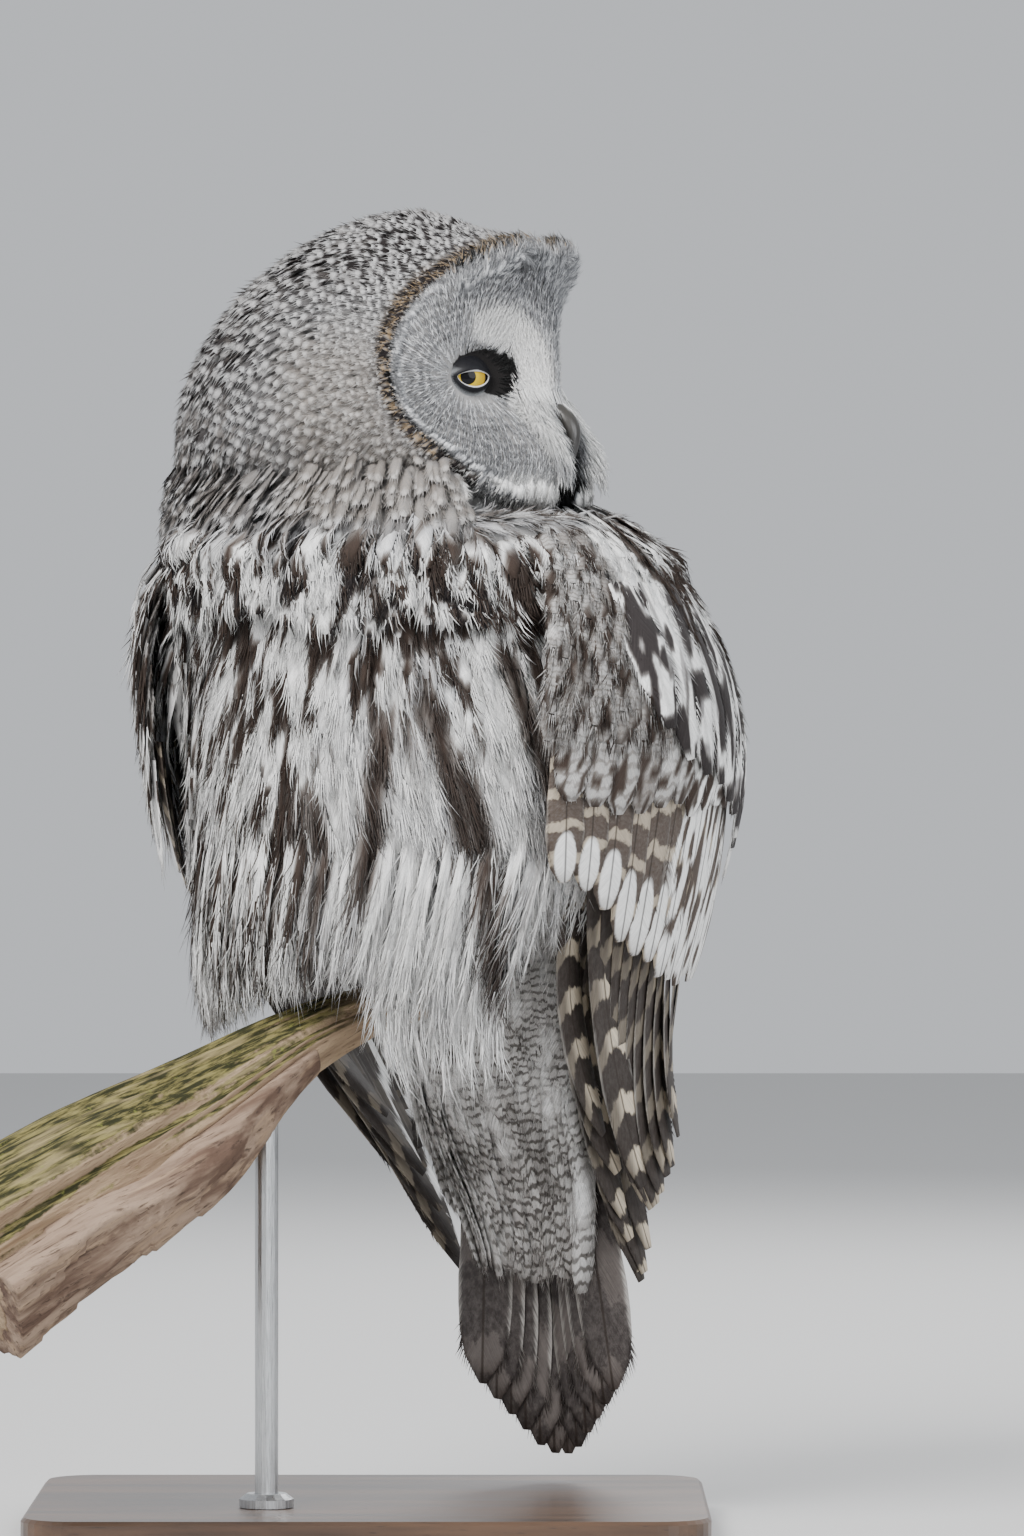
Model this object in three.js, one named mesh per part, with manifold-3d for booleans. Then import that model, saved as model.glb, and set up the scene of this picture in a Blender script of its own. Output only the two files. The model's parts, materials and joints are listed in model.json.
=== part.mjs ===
// A great grey owl perched on the end of a cut branch, life size, in millimetres, +Z up.
// The owl faces -Y in its own frame, with its left side at +X, and is turned as a whole about Z.
import * as THREE from "three";
import { mergeGeometries, mergeVertices } from "three/addons/utils/BufferGeometryUtils.js";
import Module from "manifold-3d";

const wasm = await Module();
wasm.setup();

const { degToRad, lerp, clamp, smoothstep, seededRandom } = THREE.MathUtils;
const point = (x, y, z) => new THREE.Vector3(x, y, z);
const UP = point(0, 0, 1);

// Driving sizes
const GAP = 0.35; // clear space between neighbouring pieces
const BODY_TURN = degToRad(-32); // the body faces left of the viewer
const BODY_X = 37; // the body's upright axis, from the middle of the base
const HEAD_TURN = degToRad(94); // the head looks over the left shoulder
const HEAD_CENTRE = point(-8, -12, 588); // in the body's frame
const NECK_TOP = 522;
const NECK_BOTTOM = 500;
const SEED = 7;
const SIDES = { left: 1, right: -1 };

// Torso: half width, reach to the front and to the back, and the middle of each level.
const TORSO_TOP = 548;
const TORSO_BOTTOM = 312;
const TORSO = [
  { z: 548, half: 100, front: 92, back: 90, cx: -22, cy: 0 },
  { z: 518, half: 127, front: 119, back: 100, cx: -11, cy: 0 },
  { z: 500, half: 129, front: 124, back: 106, cx: -10, cy: 2 },
  { z: 484, half: 130, front: 126, back: 109, cx: -8, cy: 3 },
  { z: 450, half: 131, front: 128, back: 112, cx: -4, cy: 4 },
  { z: 411, half: 130, front: 127, back: 112, cx: -3, cy: 4 },
  { z: 370, half: 125, front: 119, back: 106, cx: -6, cy: 2 },
  { z: 330, half: 116, front: 105, back: 98, cx: -13, cy: -6 },
  { z: 297, half: 106, front: 92, back: 84, cx: -20, cy: -14 },
  { z: 245, half: 96, front: 80, back: 70, cx: -20, cy: -16 },
  { z: 200, half: 90, front: 76, back: 66, cx: 0, cy: -10 },
];
const RUMP = { centre: point(0, 50, 350), size: point(66, 52, 62), around: 12, along: 6 };
const TRUNK = { around: 22, along: 9, top: 0.2, bottom: 0.24 }; // top and bottom are the rounded shares

// Folded wing: where its front edge, widest line and back edge lie at each level, from the body's middle.
const WING = [
  { z: 531, fx: 82, fy: -20, mx: 87, my: 28, bx: 48, by: 78 },
  { z: 515, fx: 100, fy: -46, mx: 111, my: 24, bx: 58, by: 88 },
  { z: 500, fx: 112, fy: -62, mx: 129, my: 20, bx: 72, by: 96 },
  { z: 458, fx: 119, fy: -77, mx: 147, my: 12, bx: 94, by: 106 },
  { z: 400, fx: 113, fy: -80, mx: 149, my: 16, bx: 98, by: 114 },
  { z: 345, fx: 105, fy: -62, mx: 133, my: 26, bx: 96, by: 117 },
  { z: 300, fx: 97, fy: -28, mx: 121, my: 40, bx: 91, by: 116 },
  { z: 245, fx: 86, fy: 22, mx: 99, my: 66, bx: 84, by: 114 },
  { z: 200, fx: 73, fy: 52, mx: 84, my: 84, bx: 77, by: 114 },
  { z: 165, fx: 65, fy: 74, mx: 70, my: 96, bx: 70, by: 115 },
  { z: 110, fx: 58, fy: 108, mx: 58, my: 114, bx: 58, by: 120 },
];
// How far each inner tier follows the wing's outward curve near its tips
const BULGE = { primaries: 0.3, secondaries: 0.7, low: 250, high: 350 };

const SHOULDER = {
  topZ: 534,
  bottomZ: 418,
  inner: -20,
  outer: 7,
  around: 16,
  along: 7,
  reach: 0.52,
  slim: 0.75,
  rounding: 2.2,
};
// Bars that hold the roots of the tiers: levels, heights off the wing's sheet, shares of the way across
const WING_BARS = {
  primaries: { top: 389, bottom: 371, inner: -15, outer: -8, first: 0.2, last: 0.66, bulge: BULGE.primaries },
  secondaries: {
    top: 402,
    bottom: 389.4,
    inner: -12,
    outer: -1,
    first: 0.1,
    last: 0.96,
    bulge: BULGE.secondaries,
  },
  coverts: { top: 414.5, bottom: 402.4, inner: -10, outer: 4.5, first: 0.03, last: 0.97, bulge: 1 },
};
// Tiers of the wing: levels of the tips, shares and heights of the roots and tips, and the vanes' sizes
const PRIMARIES = {
  tips: [204, 172, 148, 133, 126, 128, 140],
  root: { z: 380, first: 0.25, last: 0.6, height: -12.5 },
  tip: { first: 0.14, last: 0.7, height: -10.6 },
  vane: { width: 24, thick: 0.7, tilt: -0.13, bulge: BULGE.primaries },
};
const SECONDARIES = {
  tips: [176, 168, 166, 172, 186, 208, 236],
  root: { z: 396, first: 0.18, last: 0.92, height: -3 },
  tip: { first: 0.42, last: 0.95, height: -3 },
  vane: { width: 28, thick: 0.7, tilt: -0.12, bulge: BULGE.secondaries },
};
const FLIGHT_STEP = { root: 0.45, tip: 1.1 };
const GREATER_COVERTS = {
  tips: [344, 329, 305, 298, 288, 294, 288, 294],
  root: { z: 411, first: 0.05, last: 0.95, height: 3.4 },
  tip: { first: 0.07, last: 0.93, height: 6.5, flare: 5.5, flareBy: 0.6 },
  vane: { width: 32, thick: 1, tilt: 0.1 },
};
const MEDIAN_COVERTS = {
  tips: [382, 376, 382, 376, 382, 376, 382],
  root: { z: 434, first: 0.06, last: 0.94, height: 6.4 },
  tip: { first: 0.06, last: 0.94, height: 9 },
  vane: { width: 34, thick: 1.1, tilt: 0.09 },
};
const SCAPULARS = {
  tips: [416, 396, 390, 371, 365, 345],
  root: { z: 488, first: 0.2, last: 0.9, height: 4.5 },
  tip: { first: 0.3, last: 0.96, height: 13 },
  vane: { width: 33, thick: 1.2, tilt: 0.1 },
};

// Head: the facial disc is a pair of dishes on the front of a round skull.
const HEAD = { rear: 132, side: 97, crown: 101, chin: 74, widest: 6, rearDrop: 25 };
const DISC = { half: 80, tall: 71, centreUp: 11, notch: 9, ridge: 92, ridgeUp: -30, ridgeBend: 0.0016 };
const DISH = { sweep: 53, lowSweep: 24, sweepPower: 1.6, depth: 19, reach: 30 };
const BROW = { proud: 19, angle: degToRad(60), spread: degToRad(28) };
const LORE = { proud: 9, side: 21, wide: 12, up: -32, tall: 24, valley: 9 };
const EYE = { side: 39, up: 9, radius: 12.6, deep: degToRad(108), proud: 4.4, turn: degToRad(35) };
const LID = { thick: 1.7, wide: 19, above: 4, below: 7.4 };
// The bill's two halves: their middle lines in the head's plane of symmetry, and how they taper
const BILL = {
  upper: {
    line: [[-68, -4], [-86, -9], [-92.5, -20], [-90, -33], [-86.5, -41]],
    size: 7.2,
    end: 0.93,
    power: 1.35,
    steps: 6,
  },
  lower: { line: [[-66, -26], [-80, -30], [-84, -36]], size: 5.4, end: 0.75, power: 2, steps: 3 },
};
const NOTCH = { spread: 0.22, below: 0.6 };
// The skull's sides from the rim of the disc to the widest ring, and on to the back
const SKULL = { start: -0.5, pinch: 0.06, over: 0.92, under: 0.66, drop: 1.5 };
const HEAD_AROUND = 24;
const DISC_ROWS = 6;
const SKULL_ROWS = 7;
// Locks round the disc: shares of their roots and tips, and how far they sink, stand and bow
const RIM = { count: 20, root: 0.97, tip: 0.15, lean: -0.35, sink: 3.5, stand: 4, bow: 5 };
const RIM_LOCK = { width: 25, thick: 2, tilt: 0.17 };
const LORES = { count: 3, share: [0.3, 0.6], sink: 2.5, stand: 3.5, bow: 3, width: 9, thick: 2.2 };
// Places of the lores' roots and tips, to the side and up, from the first lock to the last
const LORE_ROOTS = { side: [12, 22], up: [2, -14] };
const LORE_TIPS = { side: [10, 30], up: [-30, -52] };

// Tail and the coverts over and under it
const TAIL = {
  feathers: 12,
  rootZ: 300,
  tipZ: 32,
  rootY: 68,
  tipY: 108,
  sag: 6,
  rootStep: 3.6,
  tipStep: 7.4,
};
const TAIL_FEATHER = { width: 34, thick: 0.8, step: 2.2, shortening: 8.1 };
const TAIL_ROOT = { half: 34, deep: 9, top: 304, bottom: 282 };
const UNDERTAIL = [
  { z: 306, half: 54, depth: 21 },
  { z: 280, half: 59, depth: 22 },
  { z: 224, half: 54, depth: 21 },
  { z: 180, half: 48, depth: 11 },
  { z: 168, half: 44, depth: 8 },
  { z: 120, half: 32, depth: 3 },
];

const UNDERTAIL_PAD = { around: 14, along: 6, rounding: 0.45, spread: 0.95, inset: 0.97 };
const UNDERTAIL_TIERS = [
  { root: 270, end: 190, count: 5, width: 34, sink: -4, stand: 3.8, settle: 0.4 },
  { root: 234, end: 136, count: 4, width: 35, sink: -4, stand: 2.2, settle: 0.6 },
];
const UNDERTAIL_TIPS = { curve: 16, stagger: 5 };
const UPPERTAIL = {
  pad: { around: 12, along: 5, top: 372, bottom: 262, half: 44, deep: 7 },
  off: 20,
  count: 6,
  rootZ: 306,
  tipZ: 200,
  curve: 16,
  stagger: 6,
  rootSide: 30,
  tipSide: 26,
  rootOff: 3,
  tipOff: 5,
  vane: { width: 24, thick: 1.1, tilt: -0.14 },
};

// Perch and stand, in the frame of the base
const PERCH = [
  { x: 62, y: 2, z: 285, r: 12.5 },
  { x: 30, y: -10, z: 280, r: 13 },
  { x: 0, y: -25, z: 271, r: 14 },
  { x: -36, y: -45, z: 256, r: 20 },
  { x: -88, y: -72, z: 222, r: 32 },
  { x: -140, y: -100, z: 192, r: 41 },
  { x: -206, y: -135, z: 150, r: 48 },
];
const GROOVES = { broad: 0.05, fine: 0.035 };
const PERCH_CLEAR_X = 4; // left of here the belly feathers rest on the branch
const BARK = { thick: 13, half: 1.5 }; // half is the angle that the bark reaches up each side
const BASE = { long: 350, deep: 262, corner: 26, thick: 18, bevel: 2 };
const ROD = { x: -52, y: -53.5, radius: 6, collar: 14, collarHeight: 7 };

// Feet: each one's place along the branch, and its toes, which grip it two to each side
const FEET = { left: 0.055, right: 0.24 };
const TOES = [
  { side: 1, along: -0.03, reach: 1.25 },
  { side: 1, along: 0.035, reach: 1.35 },
  { side: -1, along: -0.035, reach: 1.1 },
  { side: -1, along: 0.03, reach: 1.3 },
];
const TOE_RADIUS = 5.6;
const ANKLE_RADIUS = 9;
const CLAW = { radius: 3.3, reach: 0.75 };
// Locks of the belly's hem: levels of roots and tips, and how far off the torso they start and end
const HEM = [
  { count: 10, root: 366, tip: 290, sink: -7, stand: 4, settle: 0.4, width: 38 },
  { count: 11, root: 344, tip: 236, sink: -10, stand: -3, settle: 0.45, width: 34 },
];
const HEM_FROM = -66; // degrees round the body from its front
const HEM_TO = 60;
const HEM_LEVEL = 280;
const HEM_LIFT = 5;
const HEM_RAGGED = 9;
const LEG = { top: 352, thigh: 26, ankle: 13 };

const COLOURS = {
  plumage: { color: 0x8d8b8a, roughness: 0.9 },
  disc: { color: 0xa9adb3, roughness: 0.9 },
  flight: { color: 0x5b4f45, roughness: 0.8 },
  iris: { color: 0xe2b81f, roughness: 0.1 },
  horn: { color: 0xb9ad7c, roughness: 0.4 },
  claw: { color: 0x1d1b1a, roughness: 0.35 },
  wood: { color: 0x7d7850, roughness: 0.95 },
  bark: { color: 0x7a6558, roughness: 0.95 },
  base: { color: 0x2c211b, roughness: 0.4 },
  steel: { color: 0xa9abad, roughness: 0.3, metalness: 1 },
};

// Smooth value of every field of a table at a level z; the rows run from high z to low.
function level(table, z) {
  const last = table.length - 1;
  let i = 0;
  while (i < last - 1 && z < table[i + 1].z) i += 1;
  const [a, b] = [table[i], table[i + 1]];
  const span = b.z - a.z;
  const t = clamp((z - a.z) / span, 0, 1);
  const made = {};
  for (const key of Object.keys(a)) {
    const slope = (p, q) => (table[q][key] - table[p][key]) / (table[q].z - table[p].z);
    const before = slope(Math.max(i - 1, 0), i + 1) * span;
    const after = slope(i, Math.min(i + 2, last)) * span;
    const [t2, t3] = [t * t, t * t * t];
    made[key] =
      (2 * t3 - 3 * t2 + 1) * a[key] +
      (t3 - 2 * t2 + t) * before +
      (3 * t2 - 2 * t3) * b[key] +
      (t3 - t2) * after;
  }
  return made;
}

// A closed three.js geometry as a solid, turned face out if it is inside out.
function solid(geometry) {
  const bare = geometry.clone();
  for (const name of Object.keys(bare.attributes)) if (name !== "position") bare.deleteAttribute(name);
  const merged = mergeVertices(bare, 1e-3);
  const vertProperties = new Float32Array(merged.attributes.position.array);
  const triVerts = new Uint32Array(merged.index.array);
  const made = new wasm.Manifold(new wasm.Mesh({ numProp: 3, vertProperties, triVerts }));
  if (made.volume() >= 0) return made;
  for (let i = 0; i < triVerts.length; i += 3) {
    [triVerts[i + 1], triVerts[i + 2]] = [triVerts[i + 2], triVerts[i + 1]];
  }
  return new wasm.Manifold(new wasm.Mesh({ numProp: 3, vertProperties, triVerts }));
}

// The solid as a three.js geometry.
function geometryOf(made) {
  const mesh = made.getMesh();
  const positions = new Float32Array(mesh.numVert * 3);
  for (let i = 0; i < mesh.numVert; i += 1) {
    positions.set(mesh.vertProperties.subarray(i * mesh.numProp, i * mesh.numProp + 3), i * 3);
  }
  const geometry = new THREE.BufferGeometry();
  geometry.setAttribute("position", new THREE.BufferAttribute(positions, 3));
  geometry.setIndex(new THREE.BufferAttribute(new Uint32Array(mesh.triVerts), 1));
  geometry.computeVertexNormals();
  return geometry;
}

// The solid's largest closed surface, which drops loose scraps and sealed hollows.
const largest = (made) => made.decompose().sort((a, b) => b.volume() - a.volume())[0];
const joined = (pieces) => wasm.Manifold.union(pieces);
const moved = (made, matrix) => solid(geometryOf(made).applyMatrix4(matrix));

// A sphere whose points are placed by at(angle round it, share of the way from its first pole to its last).
function blob(around, along, at) {
  const ball = new THREE.SphereGeometry(1, around, along);
  const { position, uv } = ball.attributes;
  for (let i = 0; i < position.count; i += 1) {
    const share = 1 - uv.getY(i);
    const pole = share === 0 || share === 1;
    position.setXYZ(i, ...at(pole ? 0 : 2 * Math.PI * uv.getX(i), share));
  }
  return solid(ball);
}

// A capped tube: path gives its middle line, and radius its size at (share, angle).
function tube(around, along, path, radius, side = UP) {
  const cylinder = new THREE.CylinderGeometry(1, 1, 1, around, along);
  const { position } = cylinder.attributes;
  for (let i = 0; i < position.count; i += 1) {
    const share = 0.5 - position.getY(i);
    const angle = Math.atan2(position.getX(i), position.getZ(i));
    const reach = Math.hypot(position.getX(i), position.getZ(i)) * radius(share, angle);
    const ahead = path(Math.min(share + 0.01, 1)).sub(path(Math.max(share - 0.01, 0))).normalize();
    const across = side.clone().cross(ahead).normalize();
    const lift = ahead.clone().cross(across);
    const off = across.multiplyScalar(reach * Math.sin(angle)).addScaledVector(lift, reach * Math.cos(angle));
    position.setXYZ(i, ...path(share).add(off));
  }
  return solid(cylinder);
}

// A feather's vane or a lock: rows of {middle, across, out, half, thick}, split alike on both faces.
function vane(rows) {
  const positions = [];
  for (const face of [0.5, -0.5]) {
    for (const row of rows) {
      for (const side of [-1, 1]) {
        const edge = row.middle.clone().addScaledVector(row.across, side * row.half);
        positions.push(...edge.addScaledVector(row.out, face * row.thick));
      }
    }
  }
  const front = [...new THREE.PlaneGeometry(1, 1, 1, rows.length - 1).index.array];
  const [index, back] = [[...front], 2 * rows.length];
  for (let i = 0; i < front.length; i += 3) {
    index.push(front[i] + back, front[i + 2] + back, front[i + 1] + back);
  }
  const right = rows.map((row, r) => 2 * r + 1);
  const left = rows.map((row, r) => 2 * r).reverse();
  const border = [...right, ...left];
  border.forEach((from, i) => {
    const to = border[(i + 1) % border.length];
    index.push(from, to, to + back, from, to + back, from + back);
  });
  const geometry = new THREE.BufferGeometry();
  geometry.setAttribute("position", new THREE.Float32BufferAttribute(positions, 3));
  geometry.setIndex(index);
  return solid(geometry);
}

// Half width of a feather along its length: narrow at the root, broad past the middle, rounded at the tip.
const FEATHER = [[0, 0.5], [0.3, 0.86], [0.62, 1], [0.86, 0.82], [1, 0.26]];
const COVERT = [[0, 0.62], [0.55, 1], [0.86, 0.78], [1, 0.2]];
const LOCK = [[0, 1], [0.5, 0.85], [1, 0.1]];
const QUILL_LEVELS = [335, 290, 245, 205, 170];

// Outline of a long quill. Its rows lie at levels that the whole tier shares, so that neighbours bend alike.
function quill(rootZ, tipZ) {
  const widest = 0.6;
  const levels = QUILL_LEVELS.map((z) => (rootZ - z) / (rootZ - tipZ));
  const shares = levels.filter((share) => share > 0.05 && share < 0.84);
  const rounded = (share) => Math.sqrt(1 - ((share - widest) / 0.42) ** 2);
  const wide = (share) => (share < widest ? lerp(0.5, 1, share / widest) : rounded(share));
  return [0, ...shares, 0.91, 1].map((share) => [share, wide(share)]);
}

// A vane along a path: at(share) gives {middle, out}, and the outline gives its half widths.
function feather(outline, at, { width, thick, tilt = 0 }) {
  const step = 0.04;
  const rows = outline.map(([share, wide]) => {
    const { middle, out } = at(share);
    const ahead = at(Math.min(share + step, 1)).middle.sub(at(Math.max(share - step, 0)).middle).normalize();
    const across = out.clone().cross(ahead).normalize().applyAxisAngle(ahead, tilt);
    const up = ahead.clone().cross(across).normalize();
    if (up.dot(out) < 0) up.negate();
    return { middle, across, out: up, half: (width / 2) * wide, thick: share === 1 ? 0.6 * thick : thick };
  });
  return vane(rows);
}

// Point of the torso's surface at an angle from the front, positive to the left, and a level.
function torsoAt(angle, z, grow = 0) {
  const s = level(TORSO, z);
  const reach = Math.cos(angle) > 0 ? s.front : s.back;
  return point(s.cx + (s.half + grow) * Math.sin(angle), s.cy - (reach + grow) * Math.cos(angle), z);
}

function torsoForm(grow = 0) {
  const form = blob(TRUNK.around, TRUNK.along, (angle, share) => {
    const top = 1 - clamp(share / TRUNK.top, 0, 1);
    const bottom = 1 - clamp((1 - share) / TRUNK.bottom, 0, 1);
    const close = Math.sqrt(1 - top * top) * Math.sqrt(1 - bottom ** 2.6);
    const z = lerp(TORSO_TOP + grow, TORSO_BOTTOM - grow, share);
    const { cx, cy } = level(TORSO, z);
    return point(cx, cy, z).lerp(torsoAt(angle, z, grow), close);
  });
  const rump = blob(RUMP.around, RUMP.along, (angle, share) => {
    const round = new THREE.Vector3().setFromSphericalCoords(1, Math.PI * share, angle);
    return point(round.x, round.z, round.y).multiply(RUMP.size.clone().addScalar(grow)).add(RUMP.centre);
  });
  return form.add(rump);
}

// Head frame: x to the bird's left, y backwards, z up, from the middle of the skull.
function rimAt(angle) {
  const inMiddle = Math.exp(-(((Math.abs(angle) - Math.PI / 2) / NOTCH.spread) ** 2));
  const notch = DISC.notch * inMiddle * (angle > 0 ? 1 : NOTCH.below);
  const up = DISC.centreUp + (DISC.tall - notch) * Math.sin(angle);
  return { side: (DISC.half - notch) * Math.cos(angle), up };
}

function discForward(side, up, share) {
  const off = Math.abs(side);
  const ridge = DISC.ridge - DISC.ridgeBend * (up - DISC.ridgeUp) ** 2;
  const chin = smoothstep(DISC.centreUp - up, 15, DISC.tall);
  const sweep = lerp(DISH.sweep, DISH.lowSweep, chin) * (off / DISC.half) ** DISH.sweepPower;
  const dish = DISH.depth * Math.exp(-((Math.hypot(off - EYE.side, up - EYE.up) / DISH.reach) ** 2));
  const angle = Math.atan2(up - DISC.centreUp, off);
  const brow = BROW.proud * Math.exp(-(((angle - BROW.angle) / BROW.spread) ** 2)) * share ** 5;
  const beside = ((off - LORE.side) / LORE.wide) ** 2 + ((up - LORE.up) / LORE.tall) ** 2;
  const lore = LORE.proud * Math.exp(-beside);
  const valley = LORE.valley * Math.exp(-((off / 8) ** 2)) * smoothstep(-up, -8, 14);
  return ridge - sweep - dish + brow + lore - valley;
}

function discAt(angle, share) {
  const rim = rimAt(angle);
  const [side, up] = [rim.side * share, DISC.centreUp + (rim.up - DISC.centreUp) * share];
  return point(side, -discForward(side, up, share), up);
}

function skullAt(angle, share) {
  const rim = discAt(angle, 1);
  const under = smoothstep(-Math.sin(angle), 0, 0.8);
  const tall = Math.sin(angle) > 0 ? HEAD.crown : HEAD.chin;
  const [side, up] = [HEAD.side * Math.cos(angle), tall * Math.sin(angle)];
  const turn = lerp(SKULL.start, Math.PI / 2, share);
  if (turn < 0) {
    const part = turn / SKULL.start;
    const back = 1 - part ** 2;
    const wide = 1 - SKULL.pinch * part ** 2 * back;
    const forward = lerp(-rim.y, HEAD.widest, Math.sin(((1 - part) * Math.PI) / 2));
    return point(lerp(rim.x, side, back) * wide, -forward, lerp(rim.z, up, back) * wide);
  }
  const round = Math.cos(turn) ** lerp(SKULL.over, SKULL.under, under);
  const forward = HEAD.widest - (HEAD.rear + HEAD.widest) * Math.sin(turn);
  return point(side * round, -forward, up * round - HEAD.rearDrop * Math.sin(turn) ** SKULL.drop);
}

function headForm() {
  const rows = DISC_ROWS + SKULL_ROWS;
  return blob(HEAD_AROUND, rows, (turn, share) => {
    const angle = turn > Math.PI ? turn - 2 * Math.PI : turn;
    const row = Math.round(share * rows);
    return row <= DISC_ROWS ? discAt(angle, row / DISC_ROWS) : skullAt(angle, (row - DISC_ROWS) / SKULL_ROWS);
  });
}

function rimLocks() {
  const made = [];
  for (let i = 0; i < RIM.count; i += 1) {
    const angle = -Math.PI + (2 * Math.PI * (i + 0.5)) / RIM.count;
    const out = point(Math.cos(angle), RIM.lean, Math.sin(angle)).normalize();
    const root = discAt(angle, RIM.root).addScaledVector(out, -RIM.sink);
    const tip = skullAt(angle, RIM.tip).addScaledVector(out, RIM.stand);
    const bowed = (t) => root.clone().lerp(tip, t).addScaledVector(out, RIM.bow * Math.sin(Math.PI * t));
    made.push(feather(LOCK, (t) => ({ middle: bowed(t), out }), RIM_LOCK));
  }
  return made;
}

// One end of a lock of the lores, at a share of the way from the first lock to the last
function loreEnd({ side, up }, sign, share, reach) {
  const end = point(sign * lerp(...side, share), 0, lerp(...up, share));
  end.y = -discForward(end.x, end.z, reach);
  return end;
}

function loreLocks() {
  const made = [];
  for (const sign of [-1, 1]) {
    for (let i = 0; i < LORES.count; i += 1) {
      const share = i / (LORES.count - 1);
      const root = loreEnd(LORE_ROOTS, sign, share, LORES.share[0]);
      const tip = loreEnd(LORE_TIPS, sign, share, LORES.share[1]);
      root.y += LORES.sink;
      tip.y -= LORES.stand;
      const out = point(sign * 0.4, -1, 0).normalize();
      const bowed = (t) => root.clone().lerp(tip, t).addScaledVector(out, LORES.bow * Math.sin(Math.PI * t));
      made.push(feather(LOCK, (t) => ({ middle: bowed(t), out }), LORES));
    }
  }
  return made;
}

const eyeAxis = (sign) => point(sign * Math.sin(EYE.turn), -Math.cos(EYE.turn), 0);

// Frame of an eye: its origin is the eyeball's middle, and its z axis looks out of the face.
function eyeFrame(sign) {
  const face = point(sign * EYE.side, -discForward(EYE.side, EYE.up, 0.4), EYE.up);
  const centre = face.addScaledVector(eyeAxis(sign), EYE.proud - EYE.radius);
  return new THREE.Matrix4().lookAt(eyeAxis(sign), point(0, 0, 0), UP).setPosition(centre);
}

// An eyeball that ends flat in the skull, a little behind its middle.
function eyeball(sign, grow = 0) {
  const [radius, around] = [EYE.radius + grow, 14];
  const cap = new THREE.SphereGeometry(radius, around, 5, 0, 2 * Math.PI, 0, EYE.deep);
  const disk = new THREE.CircleGeometry(radius * Math.sin(EYE.deep), around);
  disk.rotateX(Math.PI / 2).translate(0, radius * Math.cos(EYE.deep), 0);
  const outward = new THREE.Matrix4().makeRotationX(Math.PI / 2);
  return moved(solid(mergeGeometries([cap, disk])), eyeFrame(sign).multiply(outward));
}

// The almond opening between the lids, as a prism along the eye's axis.
function lidOpening(sign) {
  const half = LID.wide / 2;
  const shape = new THREE.Shape();
  shape.moveTo(-half, 0);
  shape.bezierCurveTo(-half * 0.6, LID.above * 1.3, half * 0.6, LID.above * 1.3, half, 0);
  shape.bezierCurveTo(half * 0.6, -LID.below * 1.3, -half * 0.6, -LID.below * 1.3, -half, 0);
  const prism = new THREE.ExtrudeGeometry(shape, { depth: 40, bevelEnabled: false, curveSegments: 4 });
  return moved(solid(prism), eyeFrame(sign));
}

function billPart({ line, size, end, power, steps }, grow = 0) {
  const curve = new THREE.CatmullRomCurve3(line.map(([y, z]) => point(0, y, z)));
  const path = (t) => curve.getPoint(t);
  return tube(10, steps, path, (t) => size * (1 - end * t ** power) + grow, point(1, 0, 0));
}

// Wing sheet: the folded wing's own surface, from its front edge (0) to its back edge (1), at a level.
function wingAt(share, z, sign, bulge) {
  const w = level(WING, z);
  const middle = level(TORSO, z).cx;
  const [chordX, chordY] = [lerp(w.fx, w.bx, share), lerp(w.fy, w.by, share)];
  const reach = 4 * share * (1 - share) * lerp(bulge, 1, smoothstep(z, BULGE.low, BULGE.high));
  const [bulgeX, bulgeY] = [w.mx - (w.fx + w.bx) / 2, w.my - (w.fy + w.by) / 2];
  return point(middle + sign * (chordX + reach * bulgeX), chordY + reach * bulgeY, z);
}

function wingOut(share, z, sign, bulge) {
  const [before, after] = [clamp(share - 0.02, 0, 1), clamp(share + 0.02, 0, 1)];
  const back = wingAt(after, z, sign, bulge).sub(wingAt(before, z, sign, bulge));
  const down = wingAt(share, z - 4, sign, bulge).sub(wingAt(share, z + 4, sign, bulge));
  return down.cross(back).multiplyScalar(sign).normalize();
}

// Point at a height off the wing sheet.
function offWing(share, z, sign, height, bulge = 1) {
  return wingAt(share, z, sign, bulge).addScaledVector(wingOut(share, z, sign, bulge), height);
}

// A feather that lies on the wing sheet from one (share, level) to another, at heights off it.
function wingFeather(outline, sign, from, to, heights, { bulge = 1, tilt, ...sizes }) {
  const at = (t) => {
    const [share, z] = [lerp(from[0], to[0], t), lerp(from[1], to[1], t)];
    const middle = offWing(share, z, sign, lerp(heights[0], heights[1], t), bulge);
    return { middle, out: wingOut(share, z, sign, bulge) };
  };
  return feather(outline, at, { ...sizes, tilt: sign * tilt });
}

// A bar that follows the wing sheet between two levels and two heights off it, and holds the feathers' roots.
function wingBar(sign, { top, bottom, inner, outer, first, last, bulge }) {
  const box = new THREE.BoxGeometry(1, 1, 1, 7, 1, 1);
  const { position } = box.attributes;
  for (let i = 0; i < position.count; i += 1) {
    const share = lerp(first, last, position.getX(i) + 0.5);
    const z = lerp(bottom, top, position.getY(i) + 0.5);
    const height = lerp(inner, outer, position.getZ(i) + 0.5);
    position.setXYZ(i, ...offWing(share, z, sign, height, bulge));
  }
  return solid(box);
}

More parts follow.
